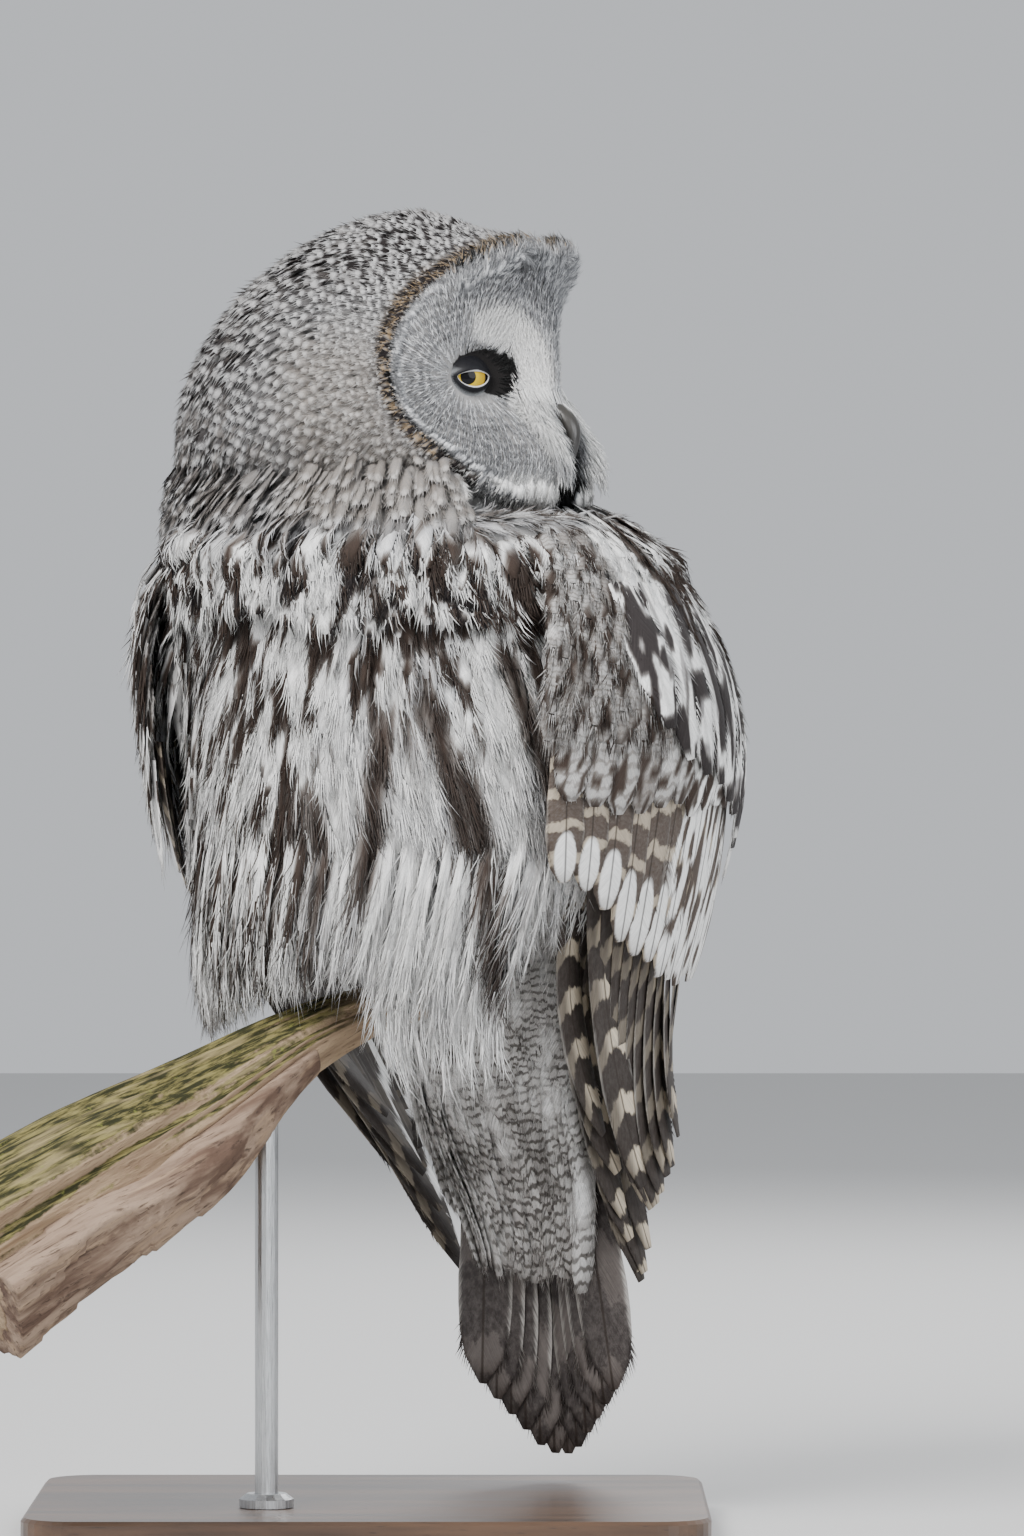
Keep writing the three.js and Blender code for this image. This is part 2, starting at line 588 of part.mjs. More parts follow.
function shoulderPad(sign) {
  const { topZ, bottomZ, inner, outer, around, along, reach, slim, rounding } = SHOULDER;
  return blob(around, along, (angle, share) => {
    const down = Math.min((share * along) / (along - 1), 1);
    const size = share === 1 ? 0 : Math.sqrt(Math.sin((Math.PI / 2) * Math.min(rounding * down, 1)));
    const across = share === 1 ? 0.5 : clamp(0.5 + reach * Math.cos(angle) * lerp(slim, 1, size), 0, 1);
    const height = (inner + outer) / 2 + ((outer - inner) / 2) * Math.sin(angle) * size;
    return offWing(across, lerp(topZ, bottomZ, down), sign, height);
  });
}

// A tier of feathers along the wing, each on the one before it.
function wingTier(sign, { tips, root, tip, vane: sizes }, outline, step = { root: 0, tip: 0 }) {
  return tips.map((tipZ, i) => {
    const share = i / (tips.length - 1);
    const flare = tip.flare ? tip.flare * smoothstep(share, 0, tip.flareBy) : 0;
    const from = [lerp(root.first, root.last, share), root.z];
    const to = [lerp(tip.first, tip.last, share), tipZ];
    const heights = [root.height + step.root * i, tip.height + flare + step.tip * i];
    return wingFeather(outline(root.z, tipZ), sign, from, to, heights, sizes);
  });
}

function tailPlane(z) {
  const share = (TAIL.rootZ - z) / (TAIL.rootZ - TAIL.tipZ);
  return lerp(TAIL.rootY, TAIL.tipY, share) + TAIL.sag * Math.sin(Math.PI * clamp(share, 0, 1));
}

function tailFeathers() {
  const made = [];
  for (let i = 0; i < TAIL.feathers; i += 1) {
    const place = i - (TAIL.feathers - 1) / 2;
    const tip = TAIL.tipZ + TAIL_FEATHER.shortening * Math.max(0, Math.abs(place) - 1);
    const depth = (TAIL.feathers - 1) / 2 - Math.abs(place) + (place > 0 ? 0.5 : 0);
    const at = (t) => {
      const z = lerp(TAIL.rootZ - 6, tip, t);
      const side = place * lerp(TAIL.rootStep, TAIL.tipStep, t);
      const middle = point(side, tailPlane(z) + depth * TAIL_FEATHER.step, z);
      return { middle, out: point(0, -1, 0.1).normalize() };
    };
    made.push(feather(FEATHER, at, { width: TAIL_FEATHER.width, thick: TAIL_FEATHER.thick }));
  }
  return made;
}

function tailRoot(grow = 0) {
  const middleY = tailPlane(TAIL.rootZ) + 4;
  return blob(16, 6, (angle, share) => {
    const round = Math.sin(Math.PI * share) ** 0.4;
    const x = (TAIL_ROOT.half + grow) * Math.sin(angle) * round;
    const y = (TAIL_ROOT.deep + grow) * Math.cos(angle) * round;
    return point(x, middleY + y, lerp(TAIL_ROOT.top + grow, TAIL_ROOT.bottom - grow, share));
  });
}

function undertailMiddle(z) {
  const { half, depth } = level(UNDERTAIL, z);
  return { depth, half, y: tailPlane(z) - depth - 3 };
}

function undertail() {
  const { around, along, rounding, spread, inset } = UNDERTAIL_PAD;
  const [top, bottom] = [UNDERTAIL[0].z, UNDERTAIL[UNDERTAIL.length - 2].z];
  const made = [
    blob(around, along, (angle, share) => {
      const z = lerp(top, bottom, share);
      const { depth, half, y } = undertailMiddle(z);
      const round = Math.sin(Math.PI * share) ** rounding;
      return point(half * Math.sin(angle) * round, y + depth * Math.cos(angle) * round, z);
    }),
  ];
  for (const { root, end, count, width, sink, stand, settle } of UNDERTAIL_TIERS) {
    for (let i = 0; i < count; i += 1) {
      const share = (2 * i) / (count - 1) - 1;
      const tip = end + UNDERTAIL_TIPS.curve * share * share + UNDERTAIL_TIPS.stagger * (i % 2);
      const angle = share * spread;
      const out = point(Math.sin(angle), -Math.cos(angle), 0);
      const at = (t) => {
        const z = lerp(root, tip, t);
        const { depth, half, y } = undertailMiddle(z);
        const onPad = point(half * inset * Math.sin(angle), y - depth * Math.cos(angle), z);
        return { middle: onPad.addScaledVector(out, lerp(sink, stand, Math.min(t / settle, 1))), out };
      };
      made.push(feather(COVERT, at, { width, thick: 1.2, tilt: 0.12 }));
    }
  }
  return joined(made);
}

function uppertail() {
  const { pad, count, rootZ, tipZ, curve, stagger, rootSide, tipSide, rootOff, tipOff } = UPPERTAIL;
  const middleY = (z) => tailPlane(z) + UPPERTAIL.off;
  const made = [
    blob(pad.around, pad.along, (angle, share) => {
      const z = lerp(pad.top, pad.bottom, share);
      const round = Math.sqrt(Math.sin(Math.PI * share));
      return point(pad.half * Math.sin(angle) * round, middleY(z) + pad.deep * Math.cos(angle) * round, z);
    }),
  ];
  for (let i = 0; i < count; i += 1) {
    const share = (2 * i) / (count - 1) - 1;
    const tip = tipZ + curve * share * share + stagger * (i % 2);
    const at = (t) => {
      const z = lerp(rootZ, tip, t);
      const middle = point(share * lerp(rootSide, tipSide, t), middleY(z) + lerp(rootOff, tipOff, t), z);
      return { middle, out: point(0, 1, 0.1).normalize() };
    };
    made.push(feather(COVERT, at, UPPERTAIL.vane));
  }
  return joined(made);
}

// The loose hem of the belly: locks that end on the branch, or hang past it
function bellyLocks() {
  seededRandom(SEED);
  const made = [];
  for (const tier of HEM) {
    for (let i = 0; i < tier.count; i += 1) {
      const angle = degToRad(lerp(HEM_FROM, HEM_TO, i / (tier.count - 1)));
      const out = point(Math.sin(angle), -Math.cos(angle), 0);
      const tipX = torsoAt(angle, HEM_LEVEL).applyMatrix4(toWorld).x;
      const rest = tipX < PERCH_CLEAR_X ? perchTop(tipX) + HEM_LIFT : 0;
      const low = Math.max(tier.tip, rest) + HEM_RAGGED * seededRandom();
      const at = (t) => {
        const spread = lerp(tier.sink, tier.stand, Math.min(t / tier.settle, 1));
        return { middle: torsoAt(angle, lerp(tier.root, low, t), spread), out };
      };
      made.push(feather(LOCK, at, { width: tier.width, thick: 2, tilt: 0.16 }));
    }
  }
  return made;
}

const perchCurve = new THREE.CatmullRomCurve3(PERCH.map(({ x, y, z }) => point(x, y, z)));

function perchRadius(share) {
  const place = clamp(share, 0, 1) * (PERCH.length - 1);
  const i = Math.min(Math.floor(place), PERCH.length - 2);
  return lerp(PERCH[i].r, PERCH[i + 1].r, place - i);
}

// The branch: grooved along its length, with a hollow side where a slab of bark still hangs on.
function perchForm(grow = 0) {
  const broad = (t, angle) => GROOVES.broad * (1 + Math.sin(3 * angle + 2 * t));
  const groove = (t, angle) => broad(t, angle) + GROOVES.fine * (1 + Math.sin(7 * angle - 3 * t));
  const radius = (t, angle) => perchRadius(t) * (1 - groove(t, angle)) + grow;
  return tube(18, 10, (t) => perchCurve.getPoint(t), radius);
}

// Level of the branch's upper side at a place along it.
function perchTop(x) {
  const last = PERCH.length - 1;
  let i = 0;
  while (i < last - 1 && x < PERCH[i + 1].x) i += 1;
  const [a, b] = [PERCH[i], PERCH[i + 1]];
  const share = (x - a.x) / (b.x - a.x);
  return lerp(a.z, b.z, share) + 1.18 * lerp(a.r, b.r, share);
}

function barkSlab() {
  const along = (t) => lerp(0.5, 1, t);
  const radius = (t, angle) => {
    const fromUnder = Math.abs(Math.abs(angle) - Math.PI);
    const ragged = 1 + 0.12 * Math.sin(9 * t + 5 * angle) + 0.1 * Math.sin(23 * t);
    const thick = BARK.thick * smoothstep(t, 0, 0.5) * ragged * smoothstep(BARK.half - fromUnder, 0, 0.6);
    return fromUnder < BARK.half ? perchRadius(along(t)) + thick + 1 : 0.6 * perchRadius(along(t));
  };
  return tube(12, 6, (t) => perchCurve.getPoint(along(t)), radius).subtract(perchForm(GAP));
}

// Place on the branch at a share along it and an angle round it from the top, at a height off the bark.
function onPerch(share, angle, height) {
  const ahead = perchCurve.getTangent(share);
  const across = UP.clone().cross(ahead).normalize();
  const lift = ahead.clone().cross(across);
  const out = across.multiplyScalar(Math.sin(angle)).addScaledVector(lift, Math.cos(angle));
  return { middle: perchCurve.getPoint(share).addScaledVector(out, perchRadius(share) + height), out };
}

const ALONG_BODY = point(1, 0, 0.01); // steadies the section of a tube that curls round the branch

function toeForm(foot, toe, grow) {
  const path = (t) => {
    const along = clamp(foot + toe.along * Math.min(1, 0.3 + t), 0, 1);
    return onPerch(along, toe.side * toe.reach * lerp(0.05, 1, t), TOE_RADIUS + GAP).middle;
  };
  return tube(6, 4, path, (t) => TOE_RADIUS * (1 - 0.2 * t) + grow, ALONG_BODY);
}

function footForm(foot, grow = 0) {
  const { middle } = onPerch(foot, 0, ANKLE_RADIUS);
  const ankle = new THREE.SphereGeometry(ANKLE_RADIUS + grow, 6, 4).translate(...middle);
  return joined([...TOES.map((toe) => toeForm(foot, toe, grow)), solid(ankle)]);
}

function clawForm(foot, toe) {
  const path = (t) => {
    const angle = toe.side * (toe.reach + CLAW.reach * t);
    return onPerch(clamp(foot + toe.along, 0, 1), angle, lerp(TOE_RADIUS + 0.6, 1.4, t * t)).middle;
  };
  return tube(6, 3, path, (t) => CLAW.radius * (1 - 0.82 * t), ALONG_BODY);
}

function legForm(foot, grow = 0) {
  const ankle = onPerch(foot, 0, ANKLE_RADIUS).middle.applyMatrix4(toBody);
  const thigh = point(ankle.x * 1.25, ankle.y + 8, LEG.top);
  const path = (t) => thigh.clone().lerp(ankle, t);
  return tube(12, 3, path, (t) => lerp(LEG.thigh, LEG.ankle, t ** 0.8) + grow, point(0, 1, 0));
}

const lifted = (made, z) => moved(made, new THREE.Matrix4().makeTranslation(0, 0, z));

// Everything between two levels.
function slab(bottom, top) {
  const size = 700;
  return lifted(solid(new THREE.BoxGeometry(size, size, top - bottom)), (top + bottom) / 2);
}

function upright(radius, bottom, tall) {
  const cylinder = new THREE.CylinderGeometry(radius, radius, tall, 16);
  return solid(cylinder.rotateX(Math.PI / 2).translate(ROD.x, ROD.y, bottom + tall / 2));
}

function baseForm() {
  const { long, deep, thick, bevel, corner } = BASE;
  const [w, d] = [long / 2 - bevel - corner, deep / 2 - bevel - corner];
  const outline = new THREE.Shape();
  outline.moveTo(w, -d - corner);
  outline.absarc(w, -d, corner, -Math.PI / 2, 0);
  outline.absarc(w, d, corner, 0, Math.PI / 2);
  outline.absarc(-w, d, corner, Math.PI / 2, Math.PI);
  outline.absarc(-w, -d, corner, Math.PI, 1.5 * Math.PI);
  const edge = { bevelThickness: bevel, bevelSize: bevel, bevelSegments: 1, curveSegments: 4 };
  return lifted(solid(new THREE.ExtrudeGeometry(outline, { depth: thick - 2 * bevel, ...edge })), bevel);
}

function collarForm() {
  const [inner, outer, bottom] = [ROD.radius + GAP, ROD.collar, BASE.thick + GAP];
  const top = bottom + ROD.collarHeight;
  const profile = [
    new THREE.Vector2(inner, bottom),
    new THREE.Vector2(outer, bottom),
    new THREE.Vector2(outer, lerp(bottom, top, 0.6)),
    new THREE.Vector2(lerp(outer, inner, 0.5), top),
    new THREE.Vector2(inner, top),
    new THREE.Vector2(inner, bottom),
  ];
  return solid(new THREE.LatheGeometry(profile, 16).rotateX(Math.PI / 2).translate(ROD.x, ROD.y, 0));
}

// Assembly: each node's solid is cut clear of the ones before it, in the frame that holds it.
const toWorld = new THREE.Matrix4().makeRotationZ(BODY_TURN).setPosition(BODY_X, 0, 0);
const toBody = toWorld.clone().invert();
const headToBody = new THREE.Matrix4().makeRotationZ(HEAD_TURN).setPosition(HEAD_CENTRE);

const part = new THREE.Group();
const bird = new THREE.Group();
bird.position.set(BODY_X, 0, 0);
bird.rotation.z = BODY_TURN;
part.add(bird);
const headGroup = new THREE.Group();
headGroup.position.copy(HEAD_CENTRE);
headGroup.rotation.z = HEAD_TURN;
bird.add(headGroup);

function add(group, name, made, look) {
  const mesh = new THREE.Mesh(geometryOf(largest(made)), new THREE.MeshStandardMaterial(COLOURS[look]));
  mesh.name = name;
  group.add(mesh);
}

function addPerchAndStand() {
  const rodLong = 300;
  const perchGrown = perchForm(GAP);
  const above = joined([perchGrown, lifted(perchGrown, 25), lifted(perchGrown, 60)]);
  const drilled = barkSlab().subtract(upright(ROD.radius + GAP, 0, rodLong));
  add(part, "perch", perchForm(), "wood");
  add(part, "perch_bark", drilled, "bark");
  add(part, "stand_base", baseForm(), "base");
  add(part, "stand_rod", upright(ROD.radius, BASE.thick + GAP, rodLong).subtract(above), "steel");
  add(part, "stand_collar", collarForm(), "steel");
}

// The feet and claws; gives back the space that they take.
function addFeet() {
  const taken = [];
  for (const [name, foot] of Object.entries(FEET)) {
    const claws = TOES.map((toe) => clawForm(foot, toe));
    const grown = footForm(foot, GAP);
    const clear = grown.add(perchForm(GAP));
    claws.forEach((claw, i) => add(part, `claw_${name}_${i + 1}`, claw.subtract(clear), "claw"));
    add(part, `foot_${name}`, footForm(foot).subtract(perchForm(GAP)), "plumage");
    taken.push(grown, ...claws);
  }
  return joined(taken);
}

// The legs, torso and neck; gives back the head's share of the body and what its other pieces keep clear of.
function addBody(feet) {
  const torsoGrown = torsoForm(GAP);
  const perchAndFeet = joined([moved(perchForm(1), toBody), moved(feet, toBody)]);
  const clear = torsoGrown.add(perchAndFeet);
  add(bird, "leg_left", legForm(FEET.left).subtract(clear), "plumage");
  add(bird, "leg_right", legForm(FEET.right).subtract(clear.add(legForm(FEET.left, GAP))), "plumage");
  const whole = torsoForm().add(moved(headForm(), headToBody));
  const torso = joined([whole.intersect(slab(200, NECK_BOTTOM)), ...bellyLocks()]);
  const legs = joined([legForm(FEET.left, GAP), legForm(FEET.right, GAP)]);
  const below = joined([perchAndFeet, legs, tailRoot(GAP)]);
  add(bird, "torso", torso.subtract(below), "plumage");
  add(bird, "neck", whole.intersect(slab(NECK_BOTTOM + GAP, NECK_TOP - GAP)), "plumage");
  const wider = 1 + GAP / HEAD.side;
  const grow = new THREE.Matrix4().makeScale(wider, wider, wider);
  const headGrown = moved(headForm(), headToBody.clone().multiply(grow));
  return {
    headWhole: whole.intersect(slab(NECK_TOP, 800)),
    wingClear: torsoGrown.add(headGrown),
    tailClear: torsoGrown.add(below),
  };
}

function addHead(headWhole) {
  const toHead = headToBody.clone().invert();
  let head = joined([moved(headWhole, toHead), ...rimLocks(), ...loreLocks()]);
  for (const [name, sign] of Object.entries(SIDES)) {
    head = head.add(eyeball(sign, GAP + LID.thick)).subtract(eyeball(sign, GAP)).subtract(lidOpening(sign));
    add(headGroup, `eye_${name}`, eyeball(sign), "iris");
  }
  const upperGrown = billPart(BILL.upper, GAP);
  const clear = joined([upperGrown, billPart(BILL.lower, GAP), moved(slab(0, NECK_TOP), toHead)]);
  add(headGroup, "bill_upper", billPart(BILL.upper), "horn");
  add(headGroup, "bill_lower", billPart(BILL.lower).subtract(upperGrown), "horn");
  add(headGroup, "head", head.subtract(clear), "disc");
}

function addWings(clear) {
  const covert = () => COVERT;
  const scapular = () => FEATHER;
  for (const [name, sign] of Object.entries(SIDES)) {
    const tier = (kind, pieces, look) => {
      add(bird, `wing_${name}_${kind}`, joined(pieces).subtract(clear), look);
    };
    const bar = (kind) => wingBar(sign, WING_BARS[kind]);
    tier("primaries", [bar("primaries"), ...wingTier(sign, PRIMARIES, quill, FLIGHT_STEP)], "flight");
    tier("secondaries", [bar("secondaries"), ...wingTier(sign, SECONDARIES, quill, FLIGHT_STEP)], "flight");
    tier("coverts", [bar("coverts"), ...wingTier(sign, GREATER_COVERTS, covert)], "plumage");
    const medians = wingTier(sign, MEDIAN_COVERTS, covert);
    tier("shoulder", [shoulderPad(sign), ...medians, ...wingTier(sign, SCAPULARS, scapular)], "plumage");
  }
}

function addTail(clear) {
  add(bird, "tail", joined([tailRoot(), ...tailFeathers()]), "flight");
  add(bird, "undertail_coverts", undertail().subtract(clear), "plumage");
  add(bird, "uppertail_coverts", uppertail().subtract(clear), "plumage");
}

addPerchAndStand();
const { headWhole, wingClear, tailClear } = addBody(addFeet());
addHead(headWhole);
addWings(wingClear);
addTail(tailClear);

export default part;
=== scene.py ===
"""A great grey owl on the end of a cut branch, life size, in metres, +Z up."""

from __future__ import annotations

import json
import logging
import math
from collections.abc import Callable, Mapping, Sequence
from dataclasses import dataclass, field, replace
from enum import Enum
from itertools import product

import bmesh
import bpy
import numpy as np
from mathutils import Matrix, Vector
from mathutils.bvhtree import BVHTree

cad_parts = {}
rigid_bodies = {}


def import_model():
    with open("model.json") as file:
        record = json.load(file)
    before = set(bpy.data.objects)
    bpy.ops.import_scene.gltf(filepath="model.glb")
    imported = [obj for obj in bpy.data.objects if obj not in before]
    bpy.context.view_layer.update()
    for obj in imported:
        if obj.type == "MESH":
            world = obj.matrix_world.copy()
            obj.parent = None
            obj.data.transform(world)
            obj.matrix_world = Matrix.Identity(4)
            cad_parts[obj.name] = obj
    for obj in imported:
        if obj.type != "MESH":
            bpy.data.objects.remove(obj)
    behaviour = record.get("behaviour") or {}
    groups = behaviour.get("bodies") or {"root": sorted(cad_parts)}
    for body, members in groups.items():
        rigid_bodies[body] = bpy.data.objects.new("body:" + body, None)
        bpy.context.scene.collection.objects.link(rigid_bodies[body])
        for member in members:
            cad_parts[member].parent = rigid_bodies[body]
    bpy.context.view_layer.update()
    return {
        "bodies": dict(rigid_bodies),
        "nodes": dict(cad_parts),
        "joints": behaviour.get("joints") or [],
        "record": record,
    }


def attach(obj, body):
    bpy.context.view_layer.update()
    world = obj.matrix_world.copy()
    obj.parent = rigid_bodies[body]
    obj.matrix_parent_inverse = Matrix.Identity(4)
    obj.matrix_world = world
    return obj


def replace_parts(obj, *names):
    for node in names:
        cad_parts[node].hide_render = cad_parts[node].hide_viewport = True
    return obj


LOG = logging.getLogger("owl")
MM = 0.001
SEED = 11
BAKE_MAP = "OFBake"
BAKE_PATCH = 0.003
Colour = tuple[float, float, float]
Array = np.ndarray
Amount = np.ndarray | float
Material = bpy.types.Material
Form = bmesh.types.BMesh
Rule = Callable[[Array, Array], Array]


def smooth(low: float, high: float, value: Amount) -> Array:
    """Smooth step of a value from 0 at low to 1 at high."""
    share = np.clip((np.asarray(value, float) - low) / (high - low), 0.0, 1.0)
    return share * share * (3.0 - 2.0 * share)


def bell(value: Amount, middle: float, spread: float) -> Array:
    """Bell curve of height 1 about a middle."""
    return np.exp(-(((np.asarray(value, float) - middle) / spread) ** 2))


def unit(vectors: Array) -> Array:
    """Rows of an array brought to length 1."""
    return vectors / np.maximum(np.linalg.norm(vectors, axis=-1, keepdims=True), 1e-9)


def lerp(first: Amount, second: Amount, share: Amount) -> Amount:
    """Straight blend of two values."""
    return first + (second - first) * share


def rows_of(*columns: Amount) -> Array:
    """Rows of an array from its columns, of which some may be single values."""
    return np.stack(np.broadcast_arrays(*columns), -1)


def draw(number: int) -> np.random.Generator:
    """Source of one part's variation, the same in every run."""
    return np.random.default_rng(SEED + number)


class Cloudiness:
    """Smooth random field in space, for markings that skin and feathers share."""

    def __init__(self, size: int = 24) -> None:
        """Draws the field's values, of which size stand along each side before it repeats."""
        self.values = draw(0).random((size, size, size))
        self.size = size

    def at(self, points: Array, scale: float | Sequence[float]) -> Array:
        """Field at points.

        Args:
            points: Rows of x, y, z.
            scale: Size of the clouds, or their sizes along x, y and z, in the points' unit.

        Returns:
            One value from 0 to 1 for each point.
        """
        place = points / np.asarray(scale, float)
        low = np.floor(place).astype(int)
        part = place - low
        part = part * part * (3.0 - 2.0 * part)
        total = np.zeros(len(points))
        for corner in range(8):
            step = np.array([corner & 1, (corner >> 1) & 1, corner >> 2])
            cell = (low + step) % self.size
            weight = np.prod(np.where(step == 1, part, 1.0 - part), axis=1)
            total += weight * self.values[cell[:, 0], cell[:, 1], cell[:, 2]]
        return total


CLOUDS = Cloudiness()


class Socket:
    """Output of a shader node that takes part in sums."""

    def __init__(self, graph: "Graph", raw: bpy.types.NodeSocket) -> None:
        """Keeps the output and the graph that it belongs to."""
        self.graph = graph
        self.raw = raw

    def __add__(self, other: "Value") -> "Socket":
        """Sum with a value or output."""
        return self.graph.maths("ADD", self, other)

    __radd__ = __add__

    def __mul__(self, other: "Value") -> "Socket":
        """Product with a value or output."""
        return self.graph.maths("MULTIPLY", self, other)

    __rmul__ = __mul__

    def __sub__(self, other: "Value") -> "Socket":
        """Difference from a value or output."""
        return self.graph.maths("SUBTRACT", self, other)

    def __rsub__(self, other: "Value") -> "Socket":
        """Difference of a value from this output."""
        return self.graph.maths("SUBTRACT", other, self)

    def __truediv__(self, other: "Value") -> "Socket":
        """Quotient by a value or output."""
        return self.graph.maths("DIVIDE", self, other)

    def __rtruediv__(self, other: "Value") -> "Socket":
        """Quotient of a value by this output."""
        return self.graph.maths("DIVIDE", other, self)

    def __pow__(self, other: "Value") -> "Socket":
        """Power of this output."""
        return self.graph.maths("POWER", self, other)

    def __abs__(self) -> "Socket":
        """Size without its sign."""
        return self.graph.maths("ABSOLUTE", self)

    def sine(self) -> "Socket":
        """Sine of this output, in radians."""
        return self.graph.maths("SINE", self)

    def most(self, other: "Value") -> "Socket":
        """Larger of two."""
        return self.graph.maths("MAXIMUM", self, other)

    def step(self, low: float, high: float, start: float = 0.0, end: float = 1.0) -> "Socket":
        """Smooth step of this output.

        Args:
            low: Value where the step begins.
            high: Value where it ends.
            start: Result below low.
            end: Result above high.

        Returns:
            The stepped output.
        """
        settings = {"interpolation_type": "SMOOTHSTEP"}
        inputs = {"Value": self, "From Min": low, "From Max": high, "To Min": start, "To Max": end}
        return self.graph.add("ShaderNodeMapRange", settings, inputs)


Value = Socket | float | int | Sequence[float]


class Graph:
    """Nodes of one material round its main shader."""

    def __init__(self, name: str, **constants: Value) -> None:
        """Starts a material.

        Args:
            name: Name of the material.
            constants: Values set on the shader's own sockets, with _ for a space.
        """
        self.material = bpy.data.materials.new(name)
        self.material.use_nodes = True
        self.tree = self.material.node_tree
        self.shader = next(n for n in self.tree.nodes if n.type == "BSDF_PRINCIPLED")
        for key, value in constants.items():
            self.shader.inputs[key.replace("_", " ")].default_value = value

    def feed(self, target: bpy.types.NodeSocket, value: Value) -> None:
        """Links an output to an input, or sets its value.

        Args:
            target: The input.
            value: The output or the value.
        """
        if isinstance(value, Socket):
            self.tree.links.new(value.raw, target)
            return
        if target.type == "RGBA" and len(value) == 3:
            value = (*value, 1.0)
        target.default_value = value

    def add(
        self,
        kind: str,
        settings: Mapping[str, object] | None = None,
        inputs: Mapping[str | int, Value] | None = None,
        out: str | int = 0,
    ) -> Socket:
        """Adds a node.

        Args:
            kind: Type of the node.
            settings: Its settings, which come before its inputs.
            inputs: Its inputs by name or number.
            out: Name or number of the output that is wanted.

        Returns:
            That output.
        """
        node = self.tree.nodes.new(kind)
        for key, value in (settings or {}).items():
            setattr(node, key, value)
        for key, value in (inputs or {}).items():
            self.feed(node.inputs[key], value)
        return Socket(self, node.outputs[out])

    def maths(self, operation: str, *values: Value) -> Socket:
        """Adds a Math node on up to three values."""
        return self.add("ShaderNodeMath", {"operation": operation}, dict(enumerate(values)))

    def vector(self, operation: str, *values: Value, out: str | int = 0) -> Socket:
        """Adds a Vector Math node on up to three values."""
        return self.add("ShaderNodeVectorMath", {"operation": operation}, dict(enumerate(values)), out)

    def mix(self, factor: Value, first: Value, second: Value, how: str = "MIX") -> Socket:
        """Mixes two colours.

        Args:
            factor: Share of the second colour.
            first: First colour.
            second: Second colour.
            how: Way of mixing.

        Returns:
            The mixed colour.
        """
        settings = {"data_type": "RGBA", "blend_type": how, "clamp_factor": True}
        return self.add("ShaderNodeMix", settings, {0: factor, 6: first, 7: second}, 2)

    def place(self) -> Socket:
        """Place in the object's own coordinates, in metres."""
        return self.add("ShaderNodeTexCoord", out="Object")

    def split(self, vector: Socket) -> list[Socket]:
        """Takes a vector apart.

        Args:
            vector: The vector.

        Returns:
            Its three parts.
        """
        node = self.tree.nodes.new("ShaderNodeSeparateXYZ")
        self.feed(node.inputs[0], vector)
        return [Socket(self, out) for out in node.outputs]

    def join(self, x: Value, y: Value, z: Value) -> Socket:
        """A vector from its three parts."""
        return self.add("ShaderNodeCombineXYZ", inputs={0: x, 1: y, 2: z})

    def attribute(self, name: str) -> list[Socket]:
        """The three parts of a mesh attribute."""
        return self.split(self.add("ShaderNodeAttribute", {"attribute_name": name}, out="Vector"))

    def noise(self, vector: Socket, scale: float, detail: float = 2.0, rough: float = 0.5) -> Socket:
        """Noise at a place.

        Args:
            vector: The place.
            scale: Number of clouds in a unit.
            detail: Number of finer layers.
            rough: Weight of the finer layers.

        Returns:
            A value about 0.5.
        """
        inputs = {"Vector": vector, "Scale": scale, "Detail": detail, "Roughness": rough}
        return self.add("ShaderNodeTexNoise", inputs=inputs)

    def stretched(self, vector: Socket, scale: Sequence[float]) -> Socket:
        """A place scaled by a Mapping node."""
        return self.add("ShaderNodeMapping", {"vector_type": "POINT"}, {"Vector": vector, "Scale": scale})

    def streaked(self, colour: Value, shade: Socket) -> Socket:
        """A colour made lighter and darker by a value."""
        return self.mix(1.0, colour, self.join(shade, shade, shade), "MULTIPLY")

    def finish(
        self,
        colour: Value,
        roughness: Value,
        bump: Socket | None = None,
        height: float = 0.0,
    ) -> Material:
        """Feeds the main shader.

        Args:
            colour: Base colour.
            roughness: Roughness.
            bump: Height of the relief, from 0 to 1.
            height: Depth of the relief in metres.

        Returns:
            The material.
        """
        self.feed(self.shader.inputs["Base Color"], colour)
        self.feed(self.shader.inputs["Roughness"], roughness)
        if bump is not None:
            inputs = {"Strength": 1.0, "Distance": height, "Height": bump}
            self.feed(self.shader.inputs["Normal"], self.add("ShaderNodeBump", inputs=inputs))
        return self.material


@dataclass(frozen=True)
class Frame:
    """A frame of the bird within the model's own."""

    matrix: Matrix

    def world(self, points: Array) -> Array:
        """Places of this frame in the model's."""
        return self.turn(points) + np.array(self.matrix)[:3, 3]

    def local(self, points: Array) -> Array:
        """Places of the model in this frame."""
        return Frame(self.matrix.inverted()).world(points)

    def turn(self, ways: Array) -> Array:
        """Directions of this frame in the model's."""
        return ways @ np.array(self.matrix)[:3, :3].T


BODY_TURN, HEAD_TURN = math.radians(-32), math.radians(94)
BODY_PLACE, HEAD_PLACE = Vector((37 * MM, 0, 0)), Vector((-8 * MM, -12 * MM, 588 * MM))
ON_BODY = Frame(Matrix.Translation(BODY_PLACE) @ Matrix.Rotation(BODY_TURN, 4, "Z"))
ON_HEAD = Frame(ON_BODY.matrix @ Matrix.Translation(HEAD_PLACE) @ Matrix.Rotation(HEAD_TURN, 4, "Z"))


